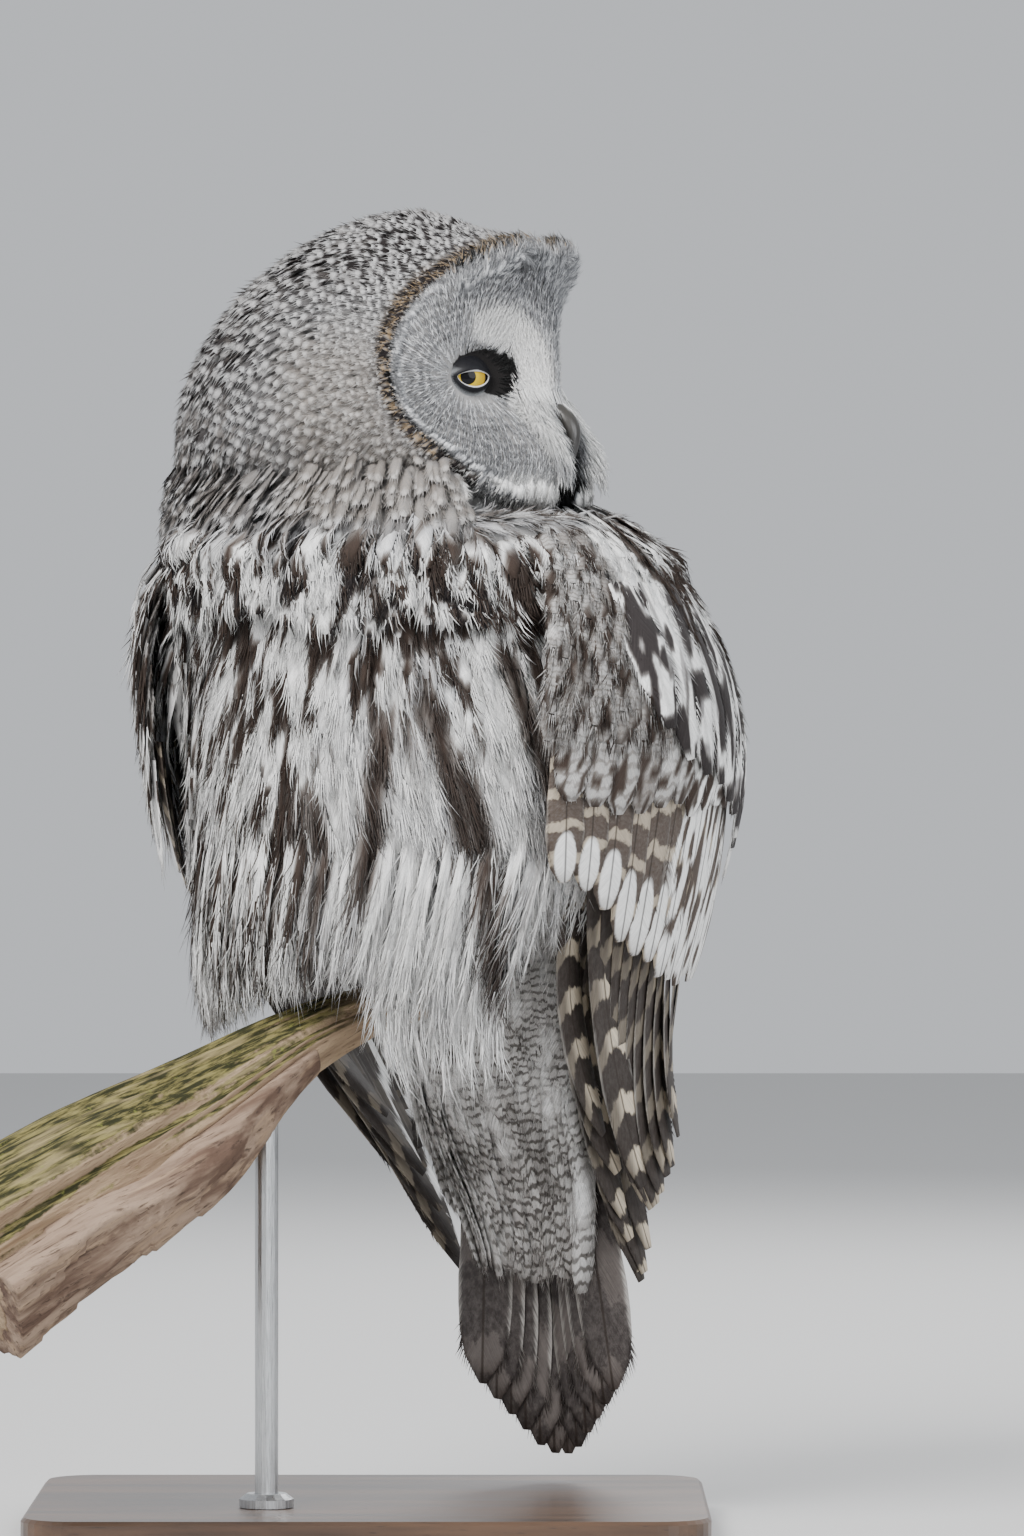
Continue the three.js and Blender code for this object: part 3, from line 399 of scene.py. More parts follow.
@dataclass(frozen=True)
class Levels:
    """Table of sizes at falling levels, in millimetres, read as smooth curves."""

    names: tuple[str, ...]
    rows: tuple[tuple[float, ...], ...]

    def at(self, z: Array) -> dict[str, Array]:
        """Sizes at levels.

        Args:
            z: Levels in metres.

        Returns:
            Each named size in metres.
        """
        table = np.array(self.rows) * MM
        levels = table[:, 0]
        z = np.asarray(z, float)
        i = np.clip(np.searchsorted(-levels, -z, side="right") - 1, 0, len(levels) - 2)
        span = levels[i + 1] - levels[i]
        t = np.clip((z - levels[i]) / span, 0, 1)
        before, after = np.maximum(i - 1, 0), np.minimum(i + 2, len(levels) - 1)
        made = {}
        for column, name in enumerate(self.names, start=1):
            v = table[:, column]
            first = (v[i + 1] - v[before]) / (levels[i + 1] - levels[before]) * span
            second = (v[after] - v[i]) / (levels[after] - levels[i]) * span
            t2, t3 = t * t, t * t * t
            made[name] = (2 * t3 - 3 * t2 + 1) * v[i] + (t3 - 2 * t2 + t) * first
            made[name] += (3 * t2 - 2 * t3) * v[i + 1] + (t3 - t2) * second
        return made


TORSO = Levels(
    ("half", "front", "back", "cx", "cy"),
    (
        (548, 100, 92, 90, -22, 0),
        (518, 127, 119, 100, -11, 0),
        (500, 129, 124, 106, -10, 2),
        (484, 130, 126, 109, -8, 3),
        (450, 131, 128, 112, -4, 4),
        (411, 130, 127, 112, -3, 4),
        (370, 125, 119, 106, -6, 2),
        (330, 116, 105, 98, -13, -6),
        (297, 106, 92, 84, -20, -14),
        (245, 96, 80, 70, -20, -16),
        (200, 90, 76, 66, 0, -10),
    ),
)
WING = Levels(
    ("fx", "fy", "mx", "my", "bx", "by"),
    (
        (531, 82, -20, 87, 28, 48, 78),
        (515, 100, -46, 111, 24, 58, 88),
        (500, 112, -62, 129, 20, 72, 96),
        (458, 119, -77, 147, 12, 94, 106),
        (400, 113, -80, 149, 16, 98, 114),
        (345, 105, -62, 133, 26, 96, 117),
        (300, 97, -28, 121, 40, 91, 116),
        (245, 86, 22, 99, 66, 84, 114),
        (200, 73, 52, 84, 84, 77, 114),
        (165, 65, 74, 70, 96, 70, 115),
        (110, 58, 108, 58, 114, 58, 120),
    ),
)
UNDERTAIL = Levels(
    ("half", "depth"),
    ((306, 54, 21), (280, 59, 22), (224, 54, 21), (180, 48, 11), (168, 44, 8), (120, 32, 3)),
)


@dataclass(frozen=True)
class HeadShape:
    """Skull with the facial disc, in the head's frame: x to the bird's left, y backwards, z up."""

    rear: float = 132 * MM
    side: float = 97 * MM
    crown: float = 101 * MM
    chin: float = 74 * MM
    widest: float = 6 * MM
    rear_drop: float = 25 * MM
    disc_half: float = 80 * MM
    disc_tall: float = 71 * MM
    disc_up: float = 11 * MM
    notch: float = 9 * MM
    ridge: float = 92 * MM
    ridge_up: float = -30 * MM
    ridge_bend: float = 1.6
    sweep: float = 53 * MM
    low_sweep: float = 24 * MM
    dish: float = 19 * MM
    dish_reach: float = 30 * MM
    brow: float = 19 * MM
    brow_angle: float = math.radians(60)
    brow_spread: float = math.radians(28)
    lore: float = 9 * MM
    valley: float = 9 * MM
    eye_side: float = 39 * MM
    eye_up: float = 9 * MM
    eye_radius: float = 12.6 * MM
    eye_proud: float = 4.4 * MM
    eye_turn: float = math.radians(35)

    def rim(self, angle: Array) -> tuple[Array, Array]:
        """Side and height of the disc's rim at angles from the left.

        Args:
            angle: Angles from the bird's left.

        Returns:
            Side and height.
        """
        middle = bell(np.abs(angle), math.pi / 2, 0.22)
        notch = self.notch * middle * np.where(angle > 0, 1, 0.6)
        side = (self.disc_half - notch) * np.cos(angle)
        return side, self.disc_up + (self.disc_tall - notch) * np.sin(angle)

    def forward(self, side: Array, up: Array, share: Array) -> Array:
        """How far the disc's surface stands forward of the head's middle.

        Args:
            side: Place to the left.
            up: Place upwards.
            share: Share of the way from the disc's middle to its rim.

        Returns:
            The reach forward, in metres.
        """
        off = np.abs(side)
        ridge = self.ridge - self.ridge_bend * (up - self.ridge_up) ** 2
        chin = smooth(15 * MM, self.disc_tall, self.disc_up - up)
        sweep = lerp(self.sweep, self.low_sweep, chin) * (off / self.disc_half) ** 1.6
        dish = self.dish * np.exp(-((np.hypot(off - self.eye_side, up - self.eye_up) / self.dish_reach) ** 2))
        angle = np.arctan2(up - self.disc_up, off)
        brow = self.brow * bell(angle, self.brow_angle, self.brow_spread) * share**5
        lore = self.lore * bell(off, 21 * MM, 12 * MM) * bell(up, -32 * MM, 24 * MM)
        valley = self.valley * bell(off, 0, 8 * MM) * smooth(-8 * MM, 14 * MM, -up)
        return ridge - sweep - dish + brow + lore - valley

    def share(self, side: Array, up: Array) -> Array:
        """Share of the way from the disc's middle to its rim, at places on the face."""
        rim_side, rim_up = self.rim(np.arctan2(up - self.disc_up, side))
        return np.hypot(side, up - self.disc_up) / np.hypot(rim_side, rim_up - self.disc_up)

    def face(self, side: Array, up: Array, share: Amount) -> Array:
        """Points of the face, of which side, height and share of the way to the rim are known."""
        return rows_of(side, -self.forward(side, up, share), up)

    def disc(self, angle: Array, share: Array) -> Array:
        """Points of the disc at angles and shares of the way to its rim."""
        rim_side, rim_up = self.rim(angle)
        return self.face(rim_side * share, self.disc_up + (rim_up - self.disc_up) * share, share)

    def skull(self, angle: Array, share: Array) -> Array:
        """Points of the skull at angles and shares of the way from the rim to the back.

        Args:
            angle: Angles from the bird's left.
            share: Shares of the way back.

        Returns:
            Rows of points in the head's frame.
        """
        rim = self.disc(angle, np.ones_like(angle))
        under = smooth(0, 0.8, -np.sin(angle))
        side = self.side * np.cos(angle)
        up = np.where(np.sin(angle) > 0, self.crown, self.chin) * np.sin(angle)
        start = -0.5
        turn = lerp(start, math.pi / 2, share)
        part = np.clip(turn / start, 0, 1)
        back = 1 - part**2
        wide = 1 - 0.06 * part**2 * back
        forward = lerp(-rim[:, 1], self.widest, np.sin((1 - part) * math.pi / 2))
        near = rows_of(lerp(rim[:, 0], side, back) * wide, -forward, lerp(rim[:, 2], up, back) * wide)
        rise = np.clip(turn, 0, math.pi / 2)
        round_ = np.maximum(np.cos(rise), 0) ** lerp(0.92, 0.66, under)
        behind = self.widest - (self.rear + self.widest) * np.sin(rise)
        far = rows_of(side * round_, -behind, up * round_ - self.rear_drop * np.sin(rise) ** 1.5)
        return np.where((turn < 0)[:, None], near, far)

    def eye_axis(self, sign: int) -> Vector:
        """Direction in which an eye looks."""
        return Vector((sign * math.sin(self.eye_turn), -math.cos(self.eye_turn), 0))

    def eye_middle(self, sign: int) -> Vector:
        """Middle of an eyeball.

        Args:
            sign: 1 for the left eye, -1 for the right.

        Returns:
            The middle in the head's frame.
        """
        reach = float(self.forward(np.float64(self.eye_side), np.float64(self.eye_up), np.float64(0.4)))
        face = Vector((sign * self.eye_side, -reach, self.eye_up))
        return face + self.eye_axis(sign) * (self.eye_proud - self.eye_radius)


@dataclass(frozen=True)
class WingSheet:
    """Rule of a folded wing, from its front edge (0) to its back edge (1), at a level."""

    sign: int
    low: float = 250 * MM
    high: float = 350 * MM

    def at(self, share: Array, z: Array, bulge: float = 1.0) -> Array:
        """Points of the sheet in the body's frame.

        Args:
            share: Shares of the way from the front edge.
            z: Levels.
            bulge: How far the sheet bows outwards.

        Returns:
            Rows of points.
        """
        w, middle = WING.at(z), TORSO.at(z)["cx"]
        reach = 4 * share * (1 - share) * lerp(bulge, 1, smooth(self.low, self.high, z))
        wide = lerp(w["fx"], w["bx"], share) + reach * (w["mx"] - (w["fx"] + w["bx"]) / 2)
        deep = lerp(w["fy"], w["by"], share) + reach * (w["my"] - (w["fy"] + w["by"]) / 2)
        return rows_of(middle + self.sign * wide, deep, z)

    def out(self, share: Array, z: Array, bulge: float = 1.0) -> Array:
        """Directions out of the sheet in the body's frame.

        Args:
            share: Shares of the way from the front edge.
            z: Levels.
            bulge: How far the sheet bows outwards.

        Returns:
            Rows of directions.
        """
        before, after = np.clip(share - 0.02, 0, 1), np.clip(share + 0.02, 0, 1)
        back = self.at(after, z, bulge) - self.at(before, z, bulge)
        down = self.at(share, z - 4 * MM, bulge) - self.at(share, z + 4 * MM, bulge)
        return unit(np.cross(down, back) * self.sign)

    def off(self, share: Array, z: Array, height: Amount, bulge: float = 1.0) -> Array:
        """Points at heights off the sheet."""
        return self.at(share, z, bulge) + self.out(share, z, bulge) * np.asarray(height)[..., None]


HEAD = HeadShape()


class Sculpt:
    """Turns bmesh pieces into objects of the model."""

    @staticmethod
    def ball(around: int, along: int, at: Rule) -> Form:
        """A sphere whose points are placed by a function.

        Args:
            around: Number of points round it.
            along: Number of rows from its first pole to its last.
            at: Gives points for angles round it and shares of the way along it.

        Returns:
            The closed form.
        """
        form = bmesh.new()
        bmesh.ops.create_uvsphere(form, u_segments=around, v_segments=along, radius=1)
        raw = np.array([v.co for v in form.verts])
        share = np.arccos(np.clip(raw[:, 2], -1, 1)) / math.pi
        angle = np.arctan2(raw[:, 1], raw[:, 0])
        angle[(share < 1e-4) | (share > 1 - 1e-4)] = 0
        for vert, place in zip(form.verts, at(angle, share)):
            vert.co = place
        bmesh.ops.recalc_face_normals(form, faces=form.faces)
        return form

    @staticmethod
    def object_of(form: Form, name: str, look: Material | None = None, soft: bool = True) -> bpy.types.Object:
        """Makes an object of a bmesh.

        Args:
            form: The form, which is used up.
            name: Name of the piece.
            look: Its material.
            soft: Whether it is shaded smooth.

        Returns:
            The object, at the origin.
        """
        mesh = bpy.data.meshes.new(name)
        form.to_mesh(mesh)
        form.free()
        mesh.polygons.foreach_set("use_smooth", [soft] * len(mesh.polygons))
        if look is not None:
            mesh.materials.append(look)
        made = bpy.data.objects.new(name, mesh)
        bpy.context.scene.collection.objects.link(made)
        return made

    @staticmethod
    def copy_of(node: bpy.types.Object) -> Form:
        """A merged copy of a CAD node's mesh.

        Args:
            node: The node.

        Returns:
            The copy.
        """
        form = bmesh.new()
        form.from_mesh(node.data)
        bmesh.ops.remove_doubles(form, verts=form.verts, dist=1e-6)
        return form

    @staticmethod
    def apply(piece: bpy.types.Object) -> None:
        """Applies a piece's modifiers to its mesh.

        Args:
            piece: The piece.
        """
        graph = bpy.context.evaluated_depsgraph_get()
        made = bpy.data.meshes.new_from_object(piece.evaluated_get(graph))
        piece.modifiers.clear()
        old = piece.data
        piece.data = made
        made.name = piece.name
        bpy.data.meshes.remove(old)


@dataclass
class Skin:
    """One skin under the coat: torso, rump, head, shoulders, legs and feet."""

    nodes: dict[str, bpy.types.Object]
    torso_depth: float = 9 * MM
    head_depth: float = 5 * MM
    disc_depth: float = 2.5 * MM
    voxel: float = 3.2 * MM
    piece: bpy.types.Object | None = None
    tree: BVHTree | None = None
    points: Array = field(default_factory=lambda: np.zeros((0, 3)))
    normals: Array = field(default_factory=lambda: np.zeros((0, 3)))
    areas: Array = field(default_factory=lambda: np.zeros(0))
    charts: Array = field(default_factory=lambda: np.zeros((0, 2)))

    def torso_at(self, angle: Array, share: Array) -> Array:
        """Points of the torso below its coat.

        Args:
            angle: Angles round the form.
            share: Shares of the way from its first pole to its last.

        Returns:
            Rows of points in the model's frame.
        """
        depth = self.torso_depth
        top, bottom = 1 - np.clip(share / 0.2, 0, 1), 1 - np.clip((1 - share) / 0.24, 0, 1)
        close = np.sqrt(1 - top**2) * np.sqrt(1 - bottom**2.6)
        z = lerp(548 * MM - depth, 312 * MM + depth, share)
        s = TORSO.at(z)
        reach = np.where(np.cos(angle) > 0, s["front"], s["back"])
        x = s["cx"] + (s["half"] - depth) * np.sin(angle) * close
        y = s["cy"] - (reach - depth) * np.cos(angle) * close
        return ON_BODY.world(rows_of(x, y, z))

    def rump_at(self, angle: Array, share: Array) -> Array:
        """Points of the rump below its coat.

        Args:
            angle: Angles round the form.
            share: Shares of the way from its first pole to its last.

        Returns:
            Rows of points in the model's frame.
        """
        size = np.array([66, 52, 62]) * MM - 6 * MM
        turn = share * math.pi
        round_ = rows_of(np.sin(turn) * np.cos(angle), np.sin(turn) * np.sin(angle), np.cos(turn))
        return ON_BODY.world(round_ * size + np.array([0, 50, 350]) * MM)

    def undertail_at(self, angle: Array, share: Array) -> Array:
        """Points of the pad under the undertail coverts.

        Args:
            angle: Angles round the form.
            share: Shares of the way from its first pole to its last.

        Returns:
            Rows of points in the model's frame.
        """
        z = lerp(306 * MM, 168 * MM, share)
        size = UNDERTAIL.at(z)
        along = (300 * MM - z) / (268 * MM)
        plane = lerp(68 * MM, 108 * MM, along) + 6 * MM * np.sin(math.pi * np.clip(along, 0, 1))
        y = plane - size["depth"] - 3 * MM
        round_ = np.sin(math.pi * np.clip(share, 0, 1)) ** 0.45
        depth = (size["depth"] - 3 * MM) * round_
        x = (size["half"] - 3 * MM) * round_ * np.sin(angle)
        return ON_BODY.world(rows_of(x, y + depth * np.cos(angle), z))

    def head_at(self, angle: Array, share: Array) -> Array:
        """Points of the head below its coat.

        Args:
            angle: Angles round the form.
            share: Shares of the way from its first pole to its last.

        Returns:
            Rows of points in the model's frame.
        """
        front = 0.42
        disc = HEAD.disc(angle, np.clip(share / front, 0, 1))
        skull = HEAD.skull(angle, np.clip((share - front) / (1 - front), 0, 1))
        on_disc = share < front
        place = np.where(on_disc[:, None], disc, skull)
        middle = np.array([0, 10, -2]) * MM
        away = unit(place - middle)
        disc_depth = lerp(self.disc_depth, self.head_depth, smooth(0.8, 1, share / front))
        depth = np.where(on_disc, disc_depth, self.head_depth)
        return ON_HEAD.world(place - away * depth[:, None])

    def wing_at(self, sign: int) -> Rule:
        """Points of a wing's flesh under its small coverts.

        Args:
            sign: 1 for the left wing, -1 for the right.

        Returns:
            A rule that gives the points.
        """
        sheet = WingSheet(sign)

        def place(angle: Array, share: Array) -> Array:
            """Points at angles round the wing and shares of the way down it.

            Args:
                angle: Angles round the form.
                share: Shares of the way from its first pole to its last.

            Returns:
                Rows of points in the model's frame.
            """
            size = np.sqrt(np.sin(math.pi / 2 * np.minimum(2.2 * np.minimum(share, 1 - share), 1)))
            across = np.clip(0.5 + 0.47 * np.cos(angle) * (0.75 + 0.25 * size), 0, 1)
            height = -9 * MM + 9 * MM * np.sin(angle) * size
            return ON_BODY.world(sheet.off(across, lerp(529 * MM, 396 * MM, share), height))

        return place

    def build(self, look: Material) -> None:
        """Joins the forms into one skin and unwraps it.

        Args:
            look: Material of the skin.
        """
        forms = [Sculpt.ball(64, 40, self.torso_at), Sculpt.ball(32, 20, self.rump_at)]
        forms += [Sculpt.ball(96, 80, self.head_at)]
        forms += [Sculpt.ball(32, 20, self.wing_at(sign)) for sign in (1, -1)]
        forms += [Sculpt.ball(32, 20, self.undertail_at)]
        limbs = ("leg_left", "leg_right", "foot_left", "foot_right", "neck")
        forms += [Sculpt.copy_of(self.nodes[name]) for name in limbs]
        whole = bmesh.new()
        for form in forms:
            mesh = bpy.data.meshes.new("form")
            form.to_mesh(mesh)
            form.free()
            whole.from_mesh(mesh)
            bpy.data.meshes.remove(mesh)
        self.piece = Sculpt.object_of(whole, "skin", look)
        remesh = self.piece.modifiers.new("join", "REMESH")
        remesh.mode, remesh.voxel_size, remesh.use_smooth_shade = "VOXEL", self.voxel, True
        soften = self.piece.modifiers.new("soften", "SMOOTH")
        soften.factor, soften.iterations = 0.5, 4
        Sculpt.apply(self.piece)
        mesh = self.piece.data
        if mesh.materials:
            mesh.materials[0] = look
        else:
            mesh.materials.append(look)
        self.unwrap()
        self.measure()

    def unwrap(self) -> None:
        """Unwraps the skin into the map that the coat's patches lie on."""
        mesh = self.piece.data
        mesh.uv_layers.new(name=BAKE_MAP)
        bpy.context.view_layer.objects.active = self.piece
        self.piece.select_set(True)
        bpy.ops.object.mode_set(mode="EDIT")
        bpy.ops.mesh.select_all(action="SELECT")
        bpy.ops.uv.smart_project(angle_limit=math.radians(66), island_margin=0.002)
        bpy.ops.object.mode_set(mode="OBJECT")
        self.piece.select_set(False)

    def measure(self) -> None:
        """Keeps the skin's faces for rooting feathers."""
        mesh = self.piece.data
        count = len(mesh.polygons)
        self.points, self.normals = np.zeros(count * 3), np.zeros(count * 3)
        self.areas = np.zeros(count)
        mesh.polygons.foreach_get("center", self.points)
        mesh.polygons.foreach_get("normal", self.normals)
        mesh.polygons.foreach_get("area", self.areas)
        self.points, self.normals = self.points.reshape(-1, 3), self.normals.reshape(-1, 3)
        loops = np.zeros(len(mesh.loops) * 2)
        mesh.uv_layers[BAKE_MAP].data.foreach_get("uv", loops)
        starts, totals = np.zeros(count, int), np.zeros(count, int)
        mesh.polygons.foreach_get("loop_start", starts)
        mesh.polygons.foreach_get("loop_total", totals)
        sums = np.add.reduceat(loops.reshape(-1, 2), starts, axis=0)
        self.charts = sums / totals[:, None]
        graph = bpy.context.evaluated_depsgraph_get()
        self.tree = BVHTree.FromObject(self.piece, graph)

    def touch(self, points: Array) -> tuple[Array, Array, Array]:
        """Nearest places on the skin.

        Args:
            points: Rows of points.

        Returns:
            The places, their outward directions and their places on the unwrap.
        """
        found = [self.tree.find_nearest(Vector(p)) for p in points]
        places = np.array([f[0] for f in found])
        normals = np.array([f[1] for f in found])
        return places, normals, self.charts[[f[2] for f in found]]


@dataclass(frozen=True)
class Barb:
    """One hair-like strand of a feather, in millimetres on the feather's own plane."""

    start: tuple[float, float]
    end: tuple[float, float]
    width: float
    bend: float = 0.0
    rise: float = 0.0


class Pattern:
    """A feather's form in its own frame: x across, y from root to tip, z outwards, in millimetres."""

    def __init__(self, width: float, length: float) -> None:
        """Starts an empty feather.

        Args:
            width: Its nominal width.
            length: Its nominal length.
        """
        self.width, self.length = width, length
        self.points: list[tuple[float, float, float]] = []
        self.bases: list[tuple[float, float]] = []
        self.strands: list[int] = []
        self.weights: list[float] = []
        self.faces: list[tuple[int, int, int]] = []
        self.strand_count = 1

    def put(
        self,
        x: float,
        y: float,
        z: float,
        base: tuple[float, float],
        strand: int = 0,
        weight: float = 0.0,
    ) -> int:
        """Adds a point and returns its number.

        Args:
            x: Place across.
            y: Place along.
            z: Place outwards.
            base: Place whose marking it takes.
            strand: Number of its strand.
            weight: How far it strays with the strand.

        Returns:
            Its number.
        """
        self.points.append((x, y, z))
        self.bases.append(base)
        self.strands.append(strand)
        self.weights.append(weight)
        return len(self.points) - 1

    def vane(
        self,
        outline: Sequence[tuple[float, float]],
        columns: int = 2,
        cup: float = 0.16,
        thick: float = 0.25,
        ragged: float = 0.0,
    ) -> None:
        """Adds the closed vane.

        Args:
            outline: Shares of the length, and of the half width there.
            columns: Number of strips across it.
            cup: Rise of the middle over the edges, as a share of the width.
            thick: Thickness of the vane.
            ragged: How far every other edge point of the outer half is pulled in.
        """
        half = self.width / 2
        rows = []
        for r, (along, wide) in enumerate(outline):
            row = []
            notch = 1 - ragged * (r % 2) * (along > 0.4)
            for c in range(columns + 1):
                share = 2 * c / columns - 1
                x, y = share * half * wide * notch, along * self.length
                z = cup * self.width * (1 - share * share) * (0.4 + 0.6 * wide)
                row.append(self.put(x, y, z, (x, y)))
            under = []
            for i in (row[0], row[-1]):
                x, y, z = self.points[i]
                under.append(self.put(x, y, z - thick, self.bases[i]))
            rows.append((row, under))
        for (low, low_under), (high, high_under) in zip(rows, rows[1:]):
            for a, b, c, d in zip(low, low[1:], high[1:], high):
                self.faces += [(a, b, c), (a, c, d)]
            (a, b), (c, d) = low_under, high_under
            self.faces += [(b, a, c), (b, c, d)]
            self.faces += [(low_under[0], low[0], high[0]), (low_under[0], high[0], high_under[0])]
            self.faces += [(low[-1], low_under[1], high_under[1]), (low[-1], high_under[1], high[-1])]
        (low, low_under), (high, high_under) = rows[0], rows[-1]
        self.faces += [(low_under[0], b, a) for a, b in zip(low, [*low[1:], low_under[1]])]
        self.faces += [(high_under[0], a, b) for a, b in zip(high, [*high[1:], high_under[1]])]

    def barb(self, made: Barb, segments: int = 1) -> None:
        """Adds a tapered three-sided strand.

        Args:
            made: Its sizes.
            segments: Number of lengths that it is made of.
        """
        (x0, y0), (x1, y1) = made.start, made.end
        dx, dy = x1 - x0, y1 - y0
        long = max(math.hypot(dx, dy), 1e-6)
        nx, ny = -dy / long, dx / long
        strand = self.strand_count
        self.strand_count += 1
        rings = []
        for s in range(segments):
            t = s / segments
            wide = made.width * (1 - 0.7 * t) / 2
            x = x0 + dx * t + nx * made.bend * math.sin(math.pi * t)
            y = y0 + dy * t + ny * made.bend * math.sin(math.pi * t)
            z = made.rise * t
            weight = t * t
            rings.append(
                [
                    self.put(x - nx * wide, y - ny * wide, z, made.start, strand, weight),
                    self.put(x + nx * wide, y + ny * wide, z, made.start, strand, weight),
                    self.put(x, y, z + 0.8 * wide + 0.08, made.start, strand, weight),
                ]
            )
        tip = self.put(x1, y1, made.rise, made.start, strand, 1.0)
        for low, high in zip(rings, rings[1:]):
            for k in range(3):
                a, b, c, d = low[k], low[(k + 1) % 3], high[(k + 1) % 3], high[k]
                self.faces += [(a, b, c), (a, c, d)]
        last = rings[-1]
        self.faces += [(last[k], last[(k + 1) % 3], tip) for k in range(3)]

    def fringe(
        self,
        rng: np.random.Generator,
        count: int,
        reach: float,
        width: float,
        first: float = 0.35,
        segments: int = 1,
    ) -> None:
        """Adds strands round the outer part of the vane's edge.

        Args:
            rng: Source of the variation.
            count: Number of strands.
            reach: Their length.
            width: Their width.
            first: Share of the length where they start.
            segments: Number of lengths in each.
        """
        half = self.width / 2
        for k in range(count):
            turn = lerp(-1.0, 1.0, (k + 0.5) / count) + rng.uniform(-0.4, 0.4) / count
            side, off = math.copysign(1, turn), abs(turn)
            along = lerp(0.97, first, off**1.3)
            x = side * half * 0.78 * min(1.0, 1.7 * off**0.7)
            y = along * self.length
            angle = lerp(0.05, 0.62, off) * side
            long = reach * rng.uniform(0.75, 1.25) * lerp(1.0, 0.8, off)
            end = (x + math.sin(angle) * long, y + math.cos(angle) * long)
            wide, bend = width * rng.uniform(0.8, 1.3), side * 0.06 * long
            self.barb(Barb((x, y - 0.3 * long), end, wide, bend, rng.uniform(-0.1, 0.25)), segments)

    def plume(
        self,
        rng: np.random.Generator,
        count: int,
        reach: float,
        width: float,
        first: float = 0.1,
        spread: float = 0.3,
        segments: int = 2,
    ) -> None:
        """Adds loose strands all along a shaft, as on the belly.

        Args:
            rng: Source of the variation.
            count: Number of strands.
            reach: Length of the longest.
            width: Their width at the shaft.
            first: Share of the length where they start.
            spread: Angle at which they leave the shaft, in radians.
            segments: Number of lengths in each.
        """
        for k in range(count):
            share = (k + 0.5) / count
            side = 1 if k % 2 else -1
            y = lerp(first, 0.86, share) * self.length
            angle = side * spread * rng.uniform(0.5, 1.3) * (1 - 0.6 * share)
            long = reach * rng.uniform(0.7, 1.2) * (1 - 0.35 * share)
            x = side * rng.uniform(0.0, 0.2) * self.width / 2
            end = (x + math.sin(angle) * long, y + math.cos(angle) * long)
            wide, bend = width * rng.uniform(0.8, 1.3), side * 0.08 * long
            self.barb(Barb((x, y), end, wide, bend, rng.uniform(-0.6, 0.9)), segments)


def feathers(
    kinds: int,
    number: int,
    size: Sequence[float],
    vane: Sequence,
    fringe: Sequence,
) -> list[Pattern]:
    """Like feathers that differ in their strands.

    Args:
        kinds: How many of them.
        number: Number that their draws start from.
        size: Width and length.
        vane: Outline, strips, cup, thickness and raggedness of the vane.
        fringe: Number, reach, width, first place and lengths of the strands.

    Returns:
        The feathers' forms.
    """
    made = [Pattern(*size) for _ in range(kinds)]
    for kind, pattern in enumerate(made):
        pattern.vane(*vane)
        pattern.fringe(draw(number + kind), *fringe)
    return made


def lengths(points: Array) -> Array:
    """Distances along a line of points from its first."""
    return np.concatenate([[0], np.cumsum(np.linalg.norm(np.diff(points, axis=0), axis=1))])


def outward(angle: Array, rise: float = 0.0) -> Array:
    """Directions away from the body at angles from its front."""
    return ON_BODY.turn(rows_of(np.sin(angle), -np.cos(angle), rise))


def staggered(count: int, row: int) -> Array:
    """Shares of a row's length where its feathers stand, shifted by half a feather in every other row."""
    return (np.arange(count) + 0.5 * (row % 2)) / count


@dataclass
class Lay:
    """Where feathers lie: three places along each, the directions outwards there, and its unwrap."""

    places: Array
    outs: Array
    charts: Array

    def part(self, keep: Array) -> "Lay":
        """Those feathers that are kept."""
        return Lay(self.places[keep], self.outs[keep], self.charts[keep])


Marker = Callable[[Array], Array]


